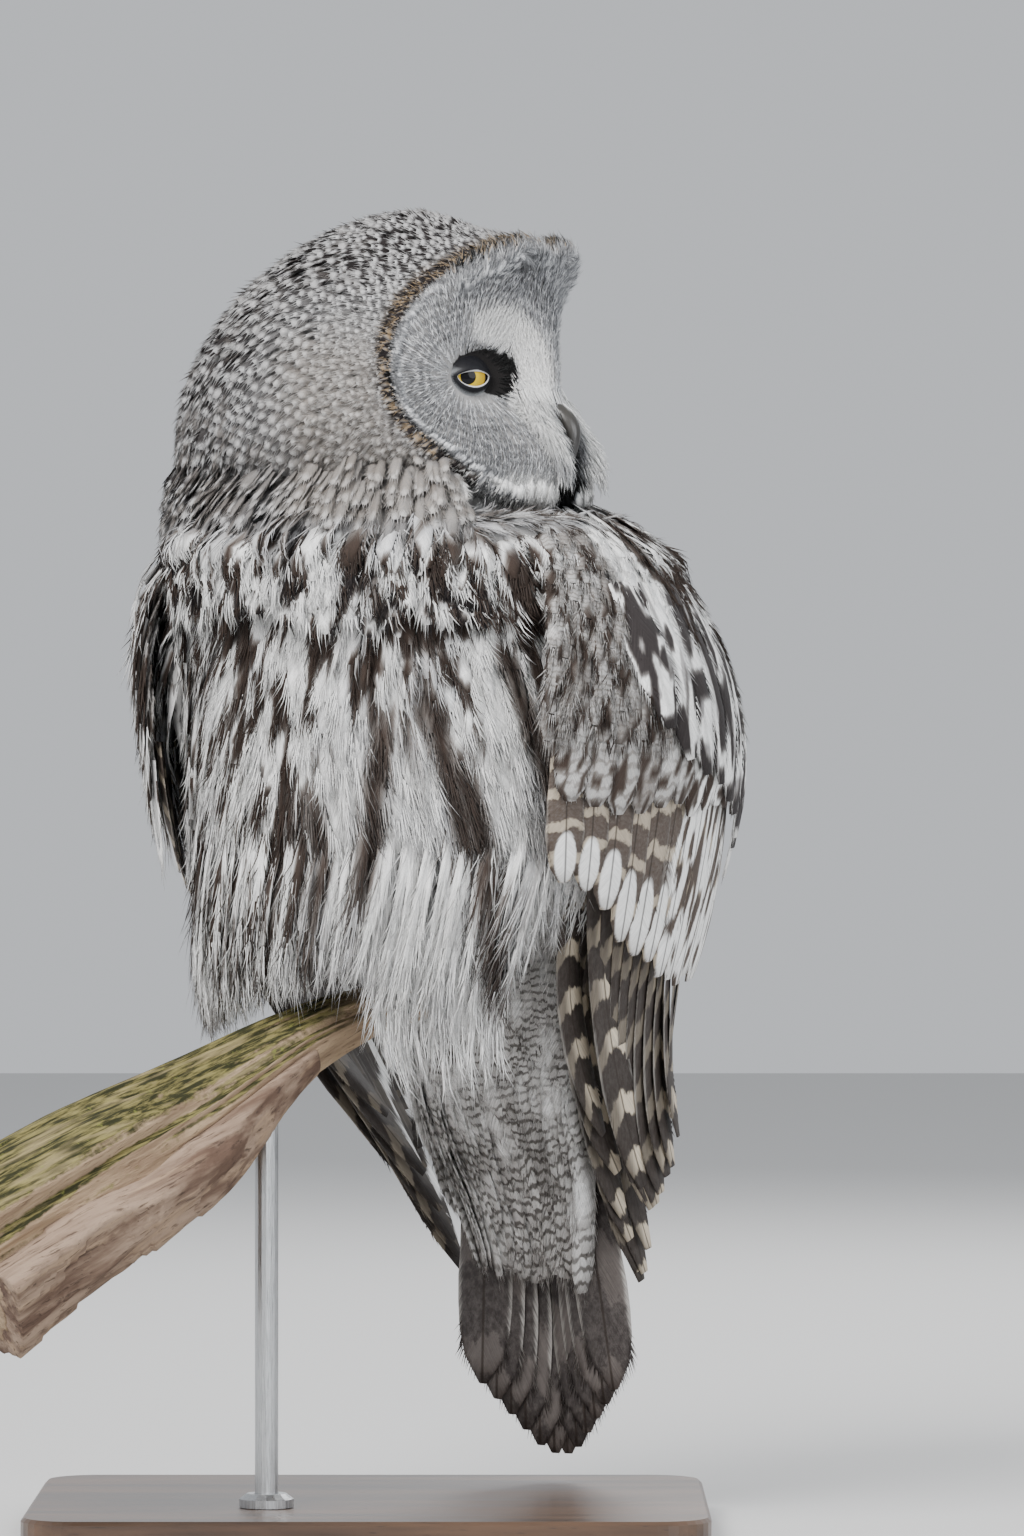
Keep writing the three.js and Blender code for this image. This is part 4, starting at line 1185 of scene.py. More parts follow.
class Coat:
    """A joined mesh of many feathers."""

    def __init__(self, name: str, seed: int) -> None:
        """Starts an empty coat piece with its own random draw.

        Args:
            name: Name of the piece.
            seed: Number that its draw starts from.
        """
        self.name = name
        self.rng = draw(seed)
        self.chunks: list[dict[str, Array]] = []
        self.count = 0

    def lay(
        self,
        pattern: Pattern,
        lay: Lay,
        width: Amount,
        sink: float,
        stand: Amount,
        marker: Marker,
        sway: float = 0.6,
        roll: float = 0.12,
        chart: tuple[float, float, float, float] | None = None,
        tilt: float = 0.0,
    ) -> None:
        """Lays copies of a feather.

        Args:
            pattern: The feather.
            lay: Where the copies lie.
            width: Width of each, in metres.
            sink: Height of the roots off the surface, in metres.
            stand: Height of the tips off it, in metres.
            marker: Gives the marking at points.
            sway: How far strands stray at their tips, in millimetres.
            roll: How far a feather turns about its shaft, in radians.
            chart: Corner and size of a block of the map that broad feathers share out.
            tilt: Turn of every feather about its shaft, in radians.
        """
        count = len(lay.places)
        if not count:
            return
        rng = self.rng
        local, base = np.array(pattern.points), np.array(pattern.bases)
        strand, weight = np.array(pattern.strands), np.array(pattern.weights)
        width = np.broadcast_to(np.asarray(width, float), (count,))
        stand = np.broadcast_to(np.asarray(stand, float), (count,))
        stray = rng.normal(size=(count, pattern.strand_count, 3)) * np.array([1.0, 0.9, 0.7]) * sway
        stray = stray[:, strand] * weight[None, :, None]
        moved = local[None] + stray
        u = moved[..., 0] / (pattern.width / 2)
        v = moved[..., 1] / pattern.length
        size = width / (pattern.width * MM)
        angle = tilt + rng.normal(size=count) * roll
        place, along, out = self.curve(lay, v)
        across = unit(np.cross(along, out))
        turned = across * np.cos(angle)[:, None, None] + out * np.sin(angle)[:, None, None]
        height = moved[..., 2] * MM * size[:, None] + lerp(sink, stand[:, None], np.clip(v, 0, 1.1))
        points = place + turned * (u * width[:, None] / 2)[..., None] + out * height[..., None]
        bu, bv = base[:, 0] / (pattern.width / 2), base[:, 1] / pattern.length
        base_place, base_along, base_out = self.curve(lay, np.broadcast_to(bv, (count, len(bv))))
        base_across = unit(np.cross(base_along, base_out))
        marks_at = base_place + base_across * (bu[None] * width[:, None] / 2)[..., None]
        marks = marker(marks_at.reshape(-1, 3))
        tone = np.broadcast_to(rng.random(count)[:, None], v.shape)
        vane = rows_of(u, v, tone)
        if chart is None:
            uv = lay.charts[:, None] + rows_of(u * BAKE_PATCH / 2, (v - 0.5) * BAKE_PATCH)
        else:
            left, low, wide, tall = chart
            cell = wide / count
            middle = left + (np.arange(count) + 0.5) * cell
            across_map = middle[:, None] + np.clip(u, -1.3, 1.3) * cell * 0.36
            uv = rows_of(across_map, low + tall * np.clip(v, 0, 1.05) * 0.94)
        faces = np.array(pattern.faces)[None] + (np.arange(count) * len(local))[:, None, None] + self.count
        self.count += count * len(local)
        chunk = {"co": points.reshape(-1, 3), "faces": faces.reshape(-1, 3), "vane": vane.reshape(-1, 3)}
        self.chunks.append({**chunk, "mark": marks, "uv": uv.reshape(-1, 2)})

    def lay_mixed(
        self,
        patterns: Sequence[Pattern],
        lay: Lay,
        width: Amount,
        sink: float,
        stand: Amount,
        marker: Marker,
        sway: float,
        roll: float,
        only: Array | bool = True,
    ) -> None:
        """Lays copies of several like feathers in turn.

        Args:
            patterns: The feathers.
            lay: Where the copies lie.
            width: Width of each, in metres.
            sink: Height of the roots off the surface, in metres.
            stand: Height of the tips off it, in metres.
            marker: Gives the marking at points.
            sway: How far strands stray at their tips, in millimetres.
            roll: How far a feather turns about its shaft, in radians.
            only: Says which of the places are used.
        """
        count = len(lay.places)
        width, stand = np.broadcast_to(width, (count,)), np.broadcast_to(stand, (count,))
        for kind, pattern in enumerate(patterns):
            part = (np.arange(count) % len(patterns) == kind) & only
            self.lay(pattern, lay.part(part), width[part], sink, stand[part], marker, sway, roll)

    @staticmethod
    def curve(lay: Lay, v: Array) -> tuple[Array, Array, Array]:
        """The curves that feathers follow.

        Args:
            lay: Where the feathers lie.
            v: Shares of each feather's length.

        Returns:
            Places, directions along and directions outwards.
        """
        v = v[..., None]
        p0, p1, p2 = (lay.places[:, None, k] for k in range(3))
        n0, n1, n2 = (lay.outs[:, None, k] for k in range(3))
        w0, w1, w2 = 2 * (v - 0.5) * (v - 1), 4 * v * (1 - v), 2 * v * (v - 0.5)
        along = p0 * (4 * v - 3) + p1 * (4 - 8 * v) + p2 * (4 * v - 1)
        t = np.clip(v, 0, 1)
        out = n0 * (1 - t) ** 2 + n1 * 2 * t * (1 - t) + n2 * t * t
        along = unit(along)
        out = unit(out - along * np.sum(out * along, -1, keepdims=True))
        return p0 * w0 + p1 * w1 + p2 * w2, along, out

    def build(self, look: Material, slot: str) -> bpy.types.Object:
        """Makes the coat piece.

        Args:
            look: Its material.
            slot: Name of a material slot of the record; not used.

        Returns:
            The piece.
        """
        whole = {key: np.concatenate([chunk[key] for chunk in self.chunks]) for key in self.chunks[0]}
        mesh = bpy.data.meshes.new(self.name)
        count, faces = len(whole["co"]), len(whole["faces"])
        mesh.vertices.add(count)
        mesh.vertices.foreach_set("co", whole["co"].astype(np.float32).ravel())
        mesh.loops.add(faces * 3)
        mesh.loops.foreach_set("vertex_index", whole["faces"].astype(np.int32).ravel())
        mesh.polygons.add(faces)
        mesh.polygons.foreach_set("loop_start", np.arange(0, faces * 3, 3, dtype=np.int32))
        mesh.polygons.foreach_set("loop_total", np.full(faces, 3, dtype=np.int32))
        mesh.polygons.foreach_set("use_smooth", np.ones(faces, dtype=bool))
        mesh.update(calc_edges=True)
        for key in ("vane", "mark"):
            layer = mesh.attributes.new(key, "FLOAT_VECTOR", "POINT")
            layer.data.foreach_set("vector", whole[key].astype(np.float32).ravel())
        uv = mesh.uv_layers.new(name=BAKE_MAP)
        uv.data.foreach_set("uv", whole["uv"][whole["faces"].ravel()].astype(np.float32).ravel())
        mesh.materials.append(look)
        piece = bpy.data.objects.new(self.name, mesh)
        bpy.context.scene.collection.objects.link(piece)
        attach(piece, "root")
        LOG.info("%s: %d triangles", self.name, faces)
        return piece


def apart(first: Array, second: Array) -> float:
    """Square of the distance between two places."""
    dx, dy, dz = first - second
    return dx * dx + dy * dy + dz * dz


@dataclass
class Rooting:
    """Sets feathers on the skin."""

    skin: Skin

    def scatter(self, where: Rule, spacing: float, seed: int) -> Array:
        """Spreads roots evenly over part of the skin.

        Args:
            where: Says which of some places, with their outward directions, are in the part.
            spacing: Distance between roots, in metres.
            seed: Number that the draw starts from.

        Returns:
            Rows of places.
        """
        rng = draw(seed)
        inside = np.flatnonzero(where(self.skin.points, self.skin.normals))
        weight = self.skin.areas[inside] / spacing**2
        count = int(weight.sum() * 7)
        pick = rng.choice(len(inside), size=count, p=weight / weight.sum())
        places = self.skin.points[inside][pick] + rng.normal(size=(count, 3)) * self.skin.voxel * 0.35
        grid: dict[tuple[int, int, int], list[int]] = {}
        kept: list[int] = []
        around = list(product((-1, 0, 1), repeat=3))
        for i, (x, y, z) in enumerate(np.floor(places / spacing).astype(int).tolist()):
            beside = (j for dx, dy, dz in around for j in grid.get((x + dx, y + dy, z + dz), ()))
            if all(apart(places[i], places[j]) >= spacing**2 for j in beside):
                grid.setdefault((x, y, z), []).append(i)
                kept.append(i)
        return places[kept]

    def free(self, places: Sequence[Array], outs: Sequence[Array]) -> Lay:
        """Places feathers off the skin, by three rows of places and of directions outwards."""
        return Lay(np.stack(places, 1), np.stack(outs, 1), self.skin.touch(places[0])[2])

    def along(self, roots: Array, way: Rule, length: Amount, free: Amount = 0.0) -> Lay:
        """Lays feathers along the skin.

        Args:
            roots: Places near the skin.
            way: Direction of the lie at places, with their outward directions.
            length: Length of each feather, in metres.
            free: How far the outer half leaves the skin and hangs straight, from 0 to 1.

        Returns:
            Where they lie.
        """
        length = np.broadcast_to(np.asarray(length, float), (len(roots),))[:, None]
        free = np.broadcast_to(np.asarray(free, float), (len(roots),))[:, None]
        first, n0, charts = self.skin.touch(roots)
        go = way(first, n0)
        go = unit(go - n0 * np.sum(go * n0, -1, keepdims=True))
        ahead = first + go * length / 2
        middle, n1, _ = self.skin.touch(ahead)
        middle = lerp(middle, ahead, 0.6 * free)
        n1 = unit(lerp(n1, n0, 0.6 * free))
        go = unit(middle - first)
        flat = unit(go - n1 * np.sum(go * n1, -1, keepdims=True))
        go = unit(lerp(flat, go, free) + np.array([0, 0, -0.35]) * free)
        ahead = middle + go * length / 2
        last, n2, _ = self.skin.touch(ahead)
        last = lerp(last, ahead, free)
        n2 = unit(lerp(n2, n1, free))
        return Lay(np.stack([first, middle, last], 1), np.stack([n0, n1, n2], 1), charts)


WHITE: Colour = (0.87, 0.87, 0.86)
SILVER: Colour = (0.50, 0.50, 0.505)
UMBER: Colour = (0.045, 0.032, 0.026)
TAN: Colour = (0.31, 0.225, 0.135)
SMOKE: Colour = (0.17, 0.155, 0.145)


@dataclass(frozen=True)
class PlumageFinish:
    """Soft feathers, whose markings come from the coat and skin alike."""

    name: str
    light: Colour = SILVER
    shade: Colour = SMOKE
    dark: Colour = UMBER
    white: Colour = WHITE
    tan: Colour = TAN
    scallop: float = 0.0
    scallop_from: float = 0.42
    vermiculation: float = 0.0
    waves: float = 9.0
    shaft: float = 0.0
    strand: float = 70.0
    spread: float = 0.42
    roughness: float = 0.82

    def make(self) -> Material:
        """Makes the material.

        Returns:
            The material.
        """
        graph = Graph(self.name, Specular_IOR_Level=0.12, Sheen_Weight=0.06, Sheen_Roughness=0.45)
        u, v, tone = graph.attribute("vane")
        dark, white, tan = graph.attribute("mark")
        place = graph.place()
        cloud = graph.noise(place, 90, 3)
        off = abs(u)
        lean = v * 6 - off * 2.2
        strands = graph.noise(graph.join(lean * 5 * (self.strand / 70), u * 0.7, tone * 91), 1.6, 2, 0.7)
        fine = graph.noise(place, 1400, 2, 0.6)
        varied = (tone * 0.5 + strands * 0.3 + cloud * 0.2).step(0.25, 0.75, 0.0, self.spread)
        colour = graph.mix(varied, self.light, self.shade)
        if self.scallop:
            edge = v + (strands - 0.5) * 0.35 - off * 0.1
            start = self.scallop_from
            low = (edge + (tone - 0.5) * 0.22).step(start, start + 0.22, self.scallop, 0.0)
            colour = graph.mix(low * (1 - white * 0.7) * (1 - tan * 1.3).most(0.0), colour, self.dark)
        if self.vermiculation:
            wobble = (graph.noise(graph.join(u * 1.4, v * 3, tone * 57), 1.5, 2) - 0.5) * 9
            wave = (v * self.waves * 6.28 + wobble + tone * 30).sine()
            colour = graph.mix(wave.step(0.0, 0.9, 0.0, self.vermiculation) * (1 - white), colour, self.shade)
        ragged = (strands - 0.5) * 0.7
        colour = graph.mix((tan + ragged * 0.6).step(0.15, 0.85), colour, self.tan)
        colour = graph.mix((white + ragged * 0.5).step(0.3, 0.7), colour, self.white)
        colour = graph.mix((dark + ragged).step(0.15, 0.5), colour, self.shade)
        colour = graph.mix((dark + ragged).step(0.4, 0.8), colour, self.dark)
        if self.shaft:
            line = off.step(0.03, 0.16, self.shaft, 0.0) * v.step(0.0, 0.9, 1.0, 0.3)
            colour = graph.mix(line, colour, self.dark)
        streaky = strands.step(0.25, 0.75, 0.72, 1.12) * fine.step(0.3, 0.7, 0.9, 1.08)
        colour = graph.streaked(colour, streaky)
        rough = strands.step(0.0, 1.0, self.roughness - 0.08, self.roughness + 0.1)
        return graph.finish(colour, rough, strands, 0.25 * MM)


@dataclass(frozen=True)
class SkinFinish:
    """Down under the coat, with the coat's own markings; its grey, darker than the coat's, is partly the
    down's own colour and partly painted shade for the gaps between feathers.
    """

    name: str = "under_down_gap_shade"
    # Grey of the down, kept darker than the coat's: painted shade in the gaps between feathers.
    light: Colour = (0.30, 0.30, 0.30)
    dark: Colour = (0.006, 0.005, 0.005)

    def make(self) -> Material:
        """Makes the material.

        Returns:
            The material.
        """
        graph = Graph(self.name, Specular_IOR_Level=0.15, Sheen_Weight=0.2)
        dark, white, _ = graph.attribute("mark")
        place = graph.place()
        fluff = graph.noise(graph.stretched(place, (1, 1, 0.35)), 900, 4, 0.65)
        colour = graph.mix(fluff.step(0.3, 0.7, 0.0, 0.5), self.light, SMOKE)
        colour = graph.mix((white * 0.8 + (fluff - 0.5) * 0.4).step(0.3, 0.8, 0.0, 0.6), colour, WHITE)
        colour = graph.mix((dark + (fluff - 0.5) * 0.5).step(0.3, 0.7), colour, self.dark)
        return graph.finish(colour, fluff.step(0.0, 1.0, 0.85, 1.0), fluff, 0.6 * MM)


@dataclass(frozen=True)
class QuillFinish:
    """Broad stiff feathers of wing and tail: bars across, a pale edge and a shaft."""

    name: str
    ground: Colour = (0.060, 0.047, 0.040)
    bar: Colour = (0.42, 0.36, 0.28)
    edge: Colour = (0.50, 0.48, 0.45)
    bars: float = 8.0
    bar_share: float = 0.35
    bar_strength: float = 1.0
    inner_only: float = 0.0
    tip: float = 0.0
    edge_strength: float = 0.6
    mottle: float = 0.5
    roughness: float = 0.55

    def make(self) -> Material:
        """Makes the material.

        Returns:
            The material.
        """
        graph = Graph(self.name, Specular_IOR_Level=0.25)
        u, v, tone = graph.attribute("vane")
        dark, white, tan = graph.attribute("mark")
        off = abs(u)
        strands = graph.noise(graph.join(v * 60 - off * 9, u * 0.8, tone * 83), 2.2, 2, 0.7)
        fleck = graph.noise(graph.join(u * 3, v * 30, tone * 41), 1.8, 3, 0.7)
        wobble = (graph.noise(graph.join(u * 1.2, v * 4, tone * 67), 1.3, 2) - 0.5) * 1.6
        wave = ((v * self.bars + wobble * 0.35 - off * 0.25 + tone * 3.0) * 6.283).sine() * 0.5 + 0.5
        bar = (wave + (fleck - 0.5) * 0.5).step(1 - self.bar_share - 0.1, 1 - self.bar_share + 0.12)
        inner = u.step(-0.1, 0.5, 1.0, 1.0 - self.inner_only)
        colour = graph.mix(fleck.step(0.3, 0.8, 0.0, self.mottle), self.ground, SMOKE)
        colour = graph.mix(bar * inner * self.bar_strength, colour, self.bar)
        rim = (off + (strands - 0.5) * 0.25).step(0.8, 0.97, 0.0, self.edge_strength)
        colour = graph.mix(rim, colour, self.edge)
        if self.tip:
            rise, bow = (v - 0.82) * 5.4, off * 1.8
            oval = (rise * rise + bow * bow + (strands - 0.5) * 0.7).step(0.8, 1.15, self.tip, 0.0)
            colour = graph.mix(oval, colour, WHITE)
        colour = graph.mix((white + (strands - 0.5) * 0.7).step(0.3, 0.7), colour, WHITE)
        colour = graph.mix((dark + (strands - 0.5) * 0.7).step(0.3, 0.7), colour, self.ground)
        line = off.step(0.02, 0.07, 0.75, 0.0)
        colour = graph.mix(line, colour, (0.028, 0.020, 0.016))
        streaky = strands.step(0.25, 0.75, 0.8, 1.15)
        colour = graph.streaked(colour, streaky)
        rough = strands.step(0.0, 1.0, self.roughness - 0.1, self.roughness + 0.15)
        return graph.finish(colour, rough, strands, 0.3 * MM)


class Markings:
    """Markings of the plumage at places on the bird: dark, white and tan shares."""

    streaks = (
        ((12, 425), (6, 395), (2, 360), (-3, 330), 7.0),
        ((30, 440), (36, 420), (44, 385), (50, 360), 6.0),
        ((46, 405), (56, 370), (63, 335), (69, 285), 7.5),
        ((66, 462), (78, 430), (90, 395), (96, 372), 6.0),
        ((-26, 392), (-22, 372), (-20, 352), (-24, 330), 5.0),
        ((-2, 462), (8, 446), (22, 440), (34, 446), 6.0),
    )

    @staticmethod
    def head(points: Array) -> Array:
        """Markings of the head.

        Args:
            points: Places in the model's frame.

        Returns:
            Rows of dark, white and tan shares.
        """
        q, p = ON_HEAD.local(points) / MM, points / MM
        side, back, up = np.abs(q[:, 0]), q[:, 1], q[:, 2]
        share = HEAD.share(side * MM, up * MM)
        front = smooth(-10, -24, back)
        on_disc = smooth(1.0, 0.96, share) * front
        ex, ey = side - HEAD.eye_side / MM, up - HEAD.eye_up / MM
        from_eye = np.hypot(ex, ey)
        ripple = CLOUDS.at(p, 7)
        rings = 0.5 + 0.5 * np.sin(from_eye / 4.6 * 2 * math.pi + ripple * 5)
        speck = CLOUDS.at(p, 1.8)
        dark = 0.5 * smooth(0.35, 0.65, 0.6 * rings + 0.4 * speck) * smooth(15, 24, from_eye) * on_disc
        toward = np.arctan2(ey, -ex)
        crescent = bell(from_eye, 26, 10) * smooth(-1.3, -0.5, toward) * smooth(1.95, 1.3, toward)
        lower = bell(side, 14, 12) * bell(up, -16, 24)
        white = 1.5 * np.maximum(crescent, 0.75 * lower) * on_disc * smooth(14, 19, from_eye)
        around = np.hypot((ex + 6) * 0.9, (ey - 1.5) * 1.1)
        tear = smooth(14.5, 11.5, around) * smooth(-16, -9, ey - 0.7 * (ex + 14))
        lores = bell(side, 0, 11) * smooth(0, -15, up) * on_disc
        white = white * (1 - tear) * (1 - 0.8 * lores)
        dark = dark * (1 - np.clip(white, 0, 1))
        dark = np.maximum(dark, np.maximum(1.4 * tear * on_disc, 1.2 * lores))
        far = q[:, 0] > 0
        tie = np.where(far, bell(side, 26, 16) * bell(up, -44, 16), bell(side, 32, 25) * bell(up, -55, 12))
        tie = np.clip(1.7 * tie * front * smooth(6, 12, side), 0, 1)
        white = np.maximum(white, 1.4 * tie)
        throat = smooth(14, 9, side) * smooth(-36, -44, up) * front
        dark, white = np.maximum(dark * (1 - tie), 1.4 * throat), white * (1 - throat)
        rim = bell(share, 0.985, 0.026) * smooth(-8, -20, back)
        flecks = CLOUDS.at(p, 0.6)
        low_rim = smooth(-26, -46, up)
        tan = 0.9 * rim * smooth(0.45, 0.58, flecks) * (1 - 0.8 * low_rim)
        dark = np.maximum(dark, rim * smooth(0.6, 0.48, flecks) * 1.2 * (1 - 0.45 * low_rim))
        white = np.maximum(white * (1 - 0.6 * rim), low_rim * rim * smooth(0.44, 0.54, flecks) * 1.3)
        behind = smooth(70, 10, back) * smooth(70, 10, up) * (1 - on_disc) * (1 - rim)
        nape = smooth(20, 80, back) * smooth(10, -40, up)
        patch = CLOUDS.at(p, 4.5)
        dark = dark + (1 - front) * (0.3 + 0.25 * nape) * smooth(0.5, 0.66, patch) * (1 - 0.7 * behind)
        tan = np.maximum(tan, 0.36 * behind + 0.4 * nape * smooth(0.4, 0.6, patch))
        return rows_of(dark, white, tan)

    @classmethod
    def body(cls, points: Array) -> Array:
        """Markings of breast, belly, flanks and mantle.

        Args:
            points: Places in the model's frame.

        Returns:
            Rows of dark, white and tan shares.
        """
        p = points / MM
        x, y, z = p.T
        low = smooth(455, 395, z)
        flank = smooth(-70, -95, x)
        skew = p + rows_of(0.25 * (z - 450) * np.sign(x), 0, 0)
        upper = 0.62 * CLOUDS.at(skew, (6.5, 7, 17)) + 0.38 * CLOUDS.at(skew, (2.8, 3, 8))
        narrow = 0.7 * CLOUDS.at(skew + 200, (3.6, 4.5, 34)) + 0.3 * CLOUDS.at(skew, (2, 3, 12))
        upper = lerp(upper, narrow, np.maximum(flank, 0.35 * low))
        dark = smooth(0.445 + 0.05 * low, 0.56 + 0.05 * low, upper)
        dark = dark * (1 - 0.75 * low * smooth(-45, -10, x) * smooth(10, -20, y))
        front = smooth(10, -20, y)
        for *line, half in cls.streaks:
            line = np.array(line)
            order = np.argsort(-line[:, 1])
            middle = np.interp(-z, -line[order, 1], line[order, 0])
            ends = smooth(line[:, 1].min() - 6, line[:, 1].min() + 8, z)
            ends = ends * smooth(line[:, 1].max() + 6, line[:, 1].max() - 6, z)
            dark = np.maximum(dark, bell(x, middle, half) * ends * front * 0.8)
        nape = smooth(496, 532, z)
        patch = smooth(0.47, 0.62, CLOUDS.at(p, (4.5, 4.5, 5.5)))
        dark = lerp(dark, 0.6 * patch, nape)
        white = 0.55 + 0.45 * smooth(0.35, 0.6, CLOUDS.at(p - 170, (16, 16, 40)))
        white = white * (1 - 0.35 * smooth(0, 60, y)) * (1 - 0.75 * nape)
        return rows_of(dark, white * (1 - dark), 0.3 * nape * patch)

    @staticmethod
    def rear(points: Array) -> Array:
        """Markings of the coverts over and under the tail: grey with soft dark clouds.

        Args:
            points: Places in the model's frame.

        Returns:
            Rows of dark, white and tan shares.
        """
        cloud = CLOUDS.at(points / MM, (9, 9, 16))
        dark = 0.3 * smooth(0.52, 0.7, cloud)
        white = 0.55 * smooth(0.55, 0.3, cloud)
        return rows_of(dark, white, 0)

    @classmethod
    def skin(cls, points: Array) -> Array:
        """Markings of the whole skin.

        Args:
            points: Places in the model's frame.

        Returns:
            Rows of dark, white and tan shares.
        """
        q = ON_HEAD.local(points) / MM
        on_head = smooth(-80, -60, q[:, 2]) * (np.abs(q[:, 0]) < 105)
        return lerp(cls.body(points), cls.head(points), on_head[:, None])


@dataclass
class HeadCoat:
    """Cap of scalloped feathers, the disc's bristles and the rim round it."""

    rooting: Rooting
    row_near: float = 3.9 * MM
    row_far: float = 6.4 * MM
    bristle: float = 2.0 * MM
    rim_count: int = 350
    chin_count: int = 520
    brow_count: int = 620
    lore_count: int = 900

    def cap_rows(self) -> Array:
        """Spreads the cap's roots in offset rows, from the rim of the disc to the back of the head.

        Returns:
            The roots in the head's frame.
        """
        fine, steps = 400, np.linspace(0, 1, 400)
        arc = lengths(HEAD.skull(np.full(fine, math.pi / 2), steps))
        roots, reach, row = [], 2 * MM, 0
        while reach < arc[-1] - 2 * MM:
            step = lerp(self.row_near, self.row_far, smooth(0, 130 * MM, reach))
            share = np.interp(reach, arc, steps)
            turn = np.linspace(-math.pi, math.pi, 721)
            ring = lengths(HEAD.skull(turn, np.full(len(turn), share)))
            count = max(int(ring[-1] / (step * 1.12)), 5)
            angle = np.interp(staggered(count, row) * ring[-1], ring, turn)
            roots.append(HEAD.skull(angle, np.full(count, share)))
            reach += step * 0.92
            row += 1
        whole = np.concatenate(roots)
        return whole + draw(1).normal(size=whole.shape) * 1.0 * MM

    @staticmethod
    def cap_way(points: Array, outs: Array) -> Array:
        """Lie of the cap: backwards from the forehead, and down at the nape and under the chin.

        Args:
            points: Places on the skin.
            outs: Their outward directions.

        Returns:
            Directions.
        """
        q = ON_HEAD.local(points)
        down = 0.25 + 1.7 * smooth(-10 * MM, 100 * MM, q[:, 1]) + 0.9 * smooth(0, -50 * MM, q[:, 2])
        return ON_HEAD.turn(unit(rows_of(q[:, 0] * 1.2, 1.0, -down)))

    def cap(self, look: Material) -> None:
        """Lays the cap.

        Args:
            look: Its material.
        """
        q = self.cap_rows()
        roots = ON_HEAD.world(q)
        clear = roots[:, 2] > 500 * MM
        roots, q = roots[clear], q[clear]
        far = smooth(-50 * MM, 60 * MM, q[:, 1])
        lay = self.rooting.along(roots, self.cap_way, lerp(9.5 * MM, 16 * MM, far), 0.15)
        outline = ((0, 0.5), (0.4, 0.9), (0.75, 0.8), (0.92, 0.45))
        kinds = feathers(3, 20, (6.4, 12), (outline, 2, 0.09, 0.2, 0.1), (12, 3.4, 0.7, 0.4))
        width = lerp(5.2 * MM, 8.0 * MM, far) * draw(12).uniform(0.8, 1.3, len(roots))
        stand = lerp(2.2 * MM, 4.0 * MM, far)
        back = q[:, 1] > -8 * MM
        for name, piece in (("coat_crown", ~back), ("coat_nape", back)):
            coat = Coat(name, 2)
            coat.lay_mixed(kinds, lay, width, -1.2 * MM, stand, Markings.head, 0.9, 0.35, piece)
            coat.build(look, "head_plumage")

    def disc_roots(self) -> Array:
        """Spreads the bristles' roots in rings round each eye, within the rim.

        Returns:
            The roots in the head's frame.
        """
        roots = []
        for sign in (1, -1):
            reach = 11.6 * MM
            while reach < 130 * MM:
                count = int(2 * math.pi * reach / (self.bristle * 0.88))
                turn = (np.arange(count) + 0.37 * (reach / self.bristle % 1)) / count * 2 * math.pi
                side, up = HEAD.eye_side + reach * np.cos(turn), HEAD.eye_up + reach * np.sin(turn)
                share = HEAD.share(side, up)
                keep = (side > 0) & (share < 0.985) & (up > -60 * MM)
                roots.append(HEAD.face(side[keep], up[keep], share[keep]) * (sign, 1, 1))
                reach += self.bristle
        whole = np.concatenate(roots)
        return whole + draw(3).normal(size=whole.shape) * 0.5 * MM

    @staticmethod
    def disc_way(points: Array, outs: Array) -> Array:
        """Lie of the bristles: away from the eye, and away from the bill along the middle of the face.

        Args:
            points: Places on the skin.
            outs: Their outward directions.

        Returns:
            Directions.
        """
        q = ON_HEAD.local(points)
        off, up = np.abs(q[:, 0]), q[:, 2]
        from_eye = rows_of(off - HEAD.eye_side, up - HEAD.eye_up)
        from_bill = unit(rows_of(off * 1.6 + 2 * MM, up + 26 * MM))
        clear = smooth(13 * MM, 18 * MM, np.hypot(*from_eye.T))
        flat = unit(lerp(unit(from_eye), from_bill, (smooth(30 * MM, 14 * MM, off) * clear)[:, None]))
        low = smooth(-22 * MM, -38 * MM, up)[:, None] * smooth(52 * MM, 36 * MM, off)[:, None]
        flat = unit(lerp(flat, rows_of(0.35 + off * 6, -1.0), low))
        return ON_HEAD.turn(rows_of(np.where(q[:, 0] >= 0, 1.0, -1.0) * flat[:, 0], 0.0, flat[:, 1]))

    def disc(self, look: Material) -> None:
        """Lays the bristles of the disc.

        Args:
            look: Their material.
        """
        q = self.disc_roots()
        lay = self.rooting.along(ON_HEAD.world(q), self.disc_way, 8 * MM)
        kinds = []
        for kind in range(3):
            rng = draw(30 + kind)
            pattern = Pattern(3, 10)
            pattern.barb(Barb((0, 0), (0, 10), 0.8, 0.0, 0.3), 2)
            for side, start in product((-1, 1), (2.2, 5.0)):
                start += rng.uniform(-0.6, 0.6)
                end = (side * rng.uniform(0.9, 1.5), start + rng.uniform(3.2, 4.4))
                pattern.barb(Barb((0, start), end, 0.62, 0.0, rng.uniform(-0.2, 0.3)))
            kinds.append(pattern)
        coat = Coat("coat_disc", 4)
        stand = 1.5 * MM + 2.4 * MM * smooth(30 * MM, 60 * MM, q[:, 2])
        coat.lay_mixed(kinds, lay, 3 * MM, -0.2 * MM, stand, Markings.head, 0.45, 0.5)
        coat.build(look, "head_plumage")

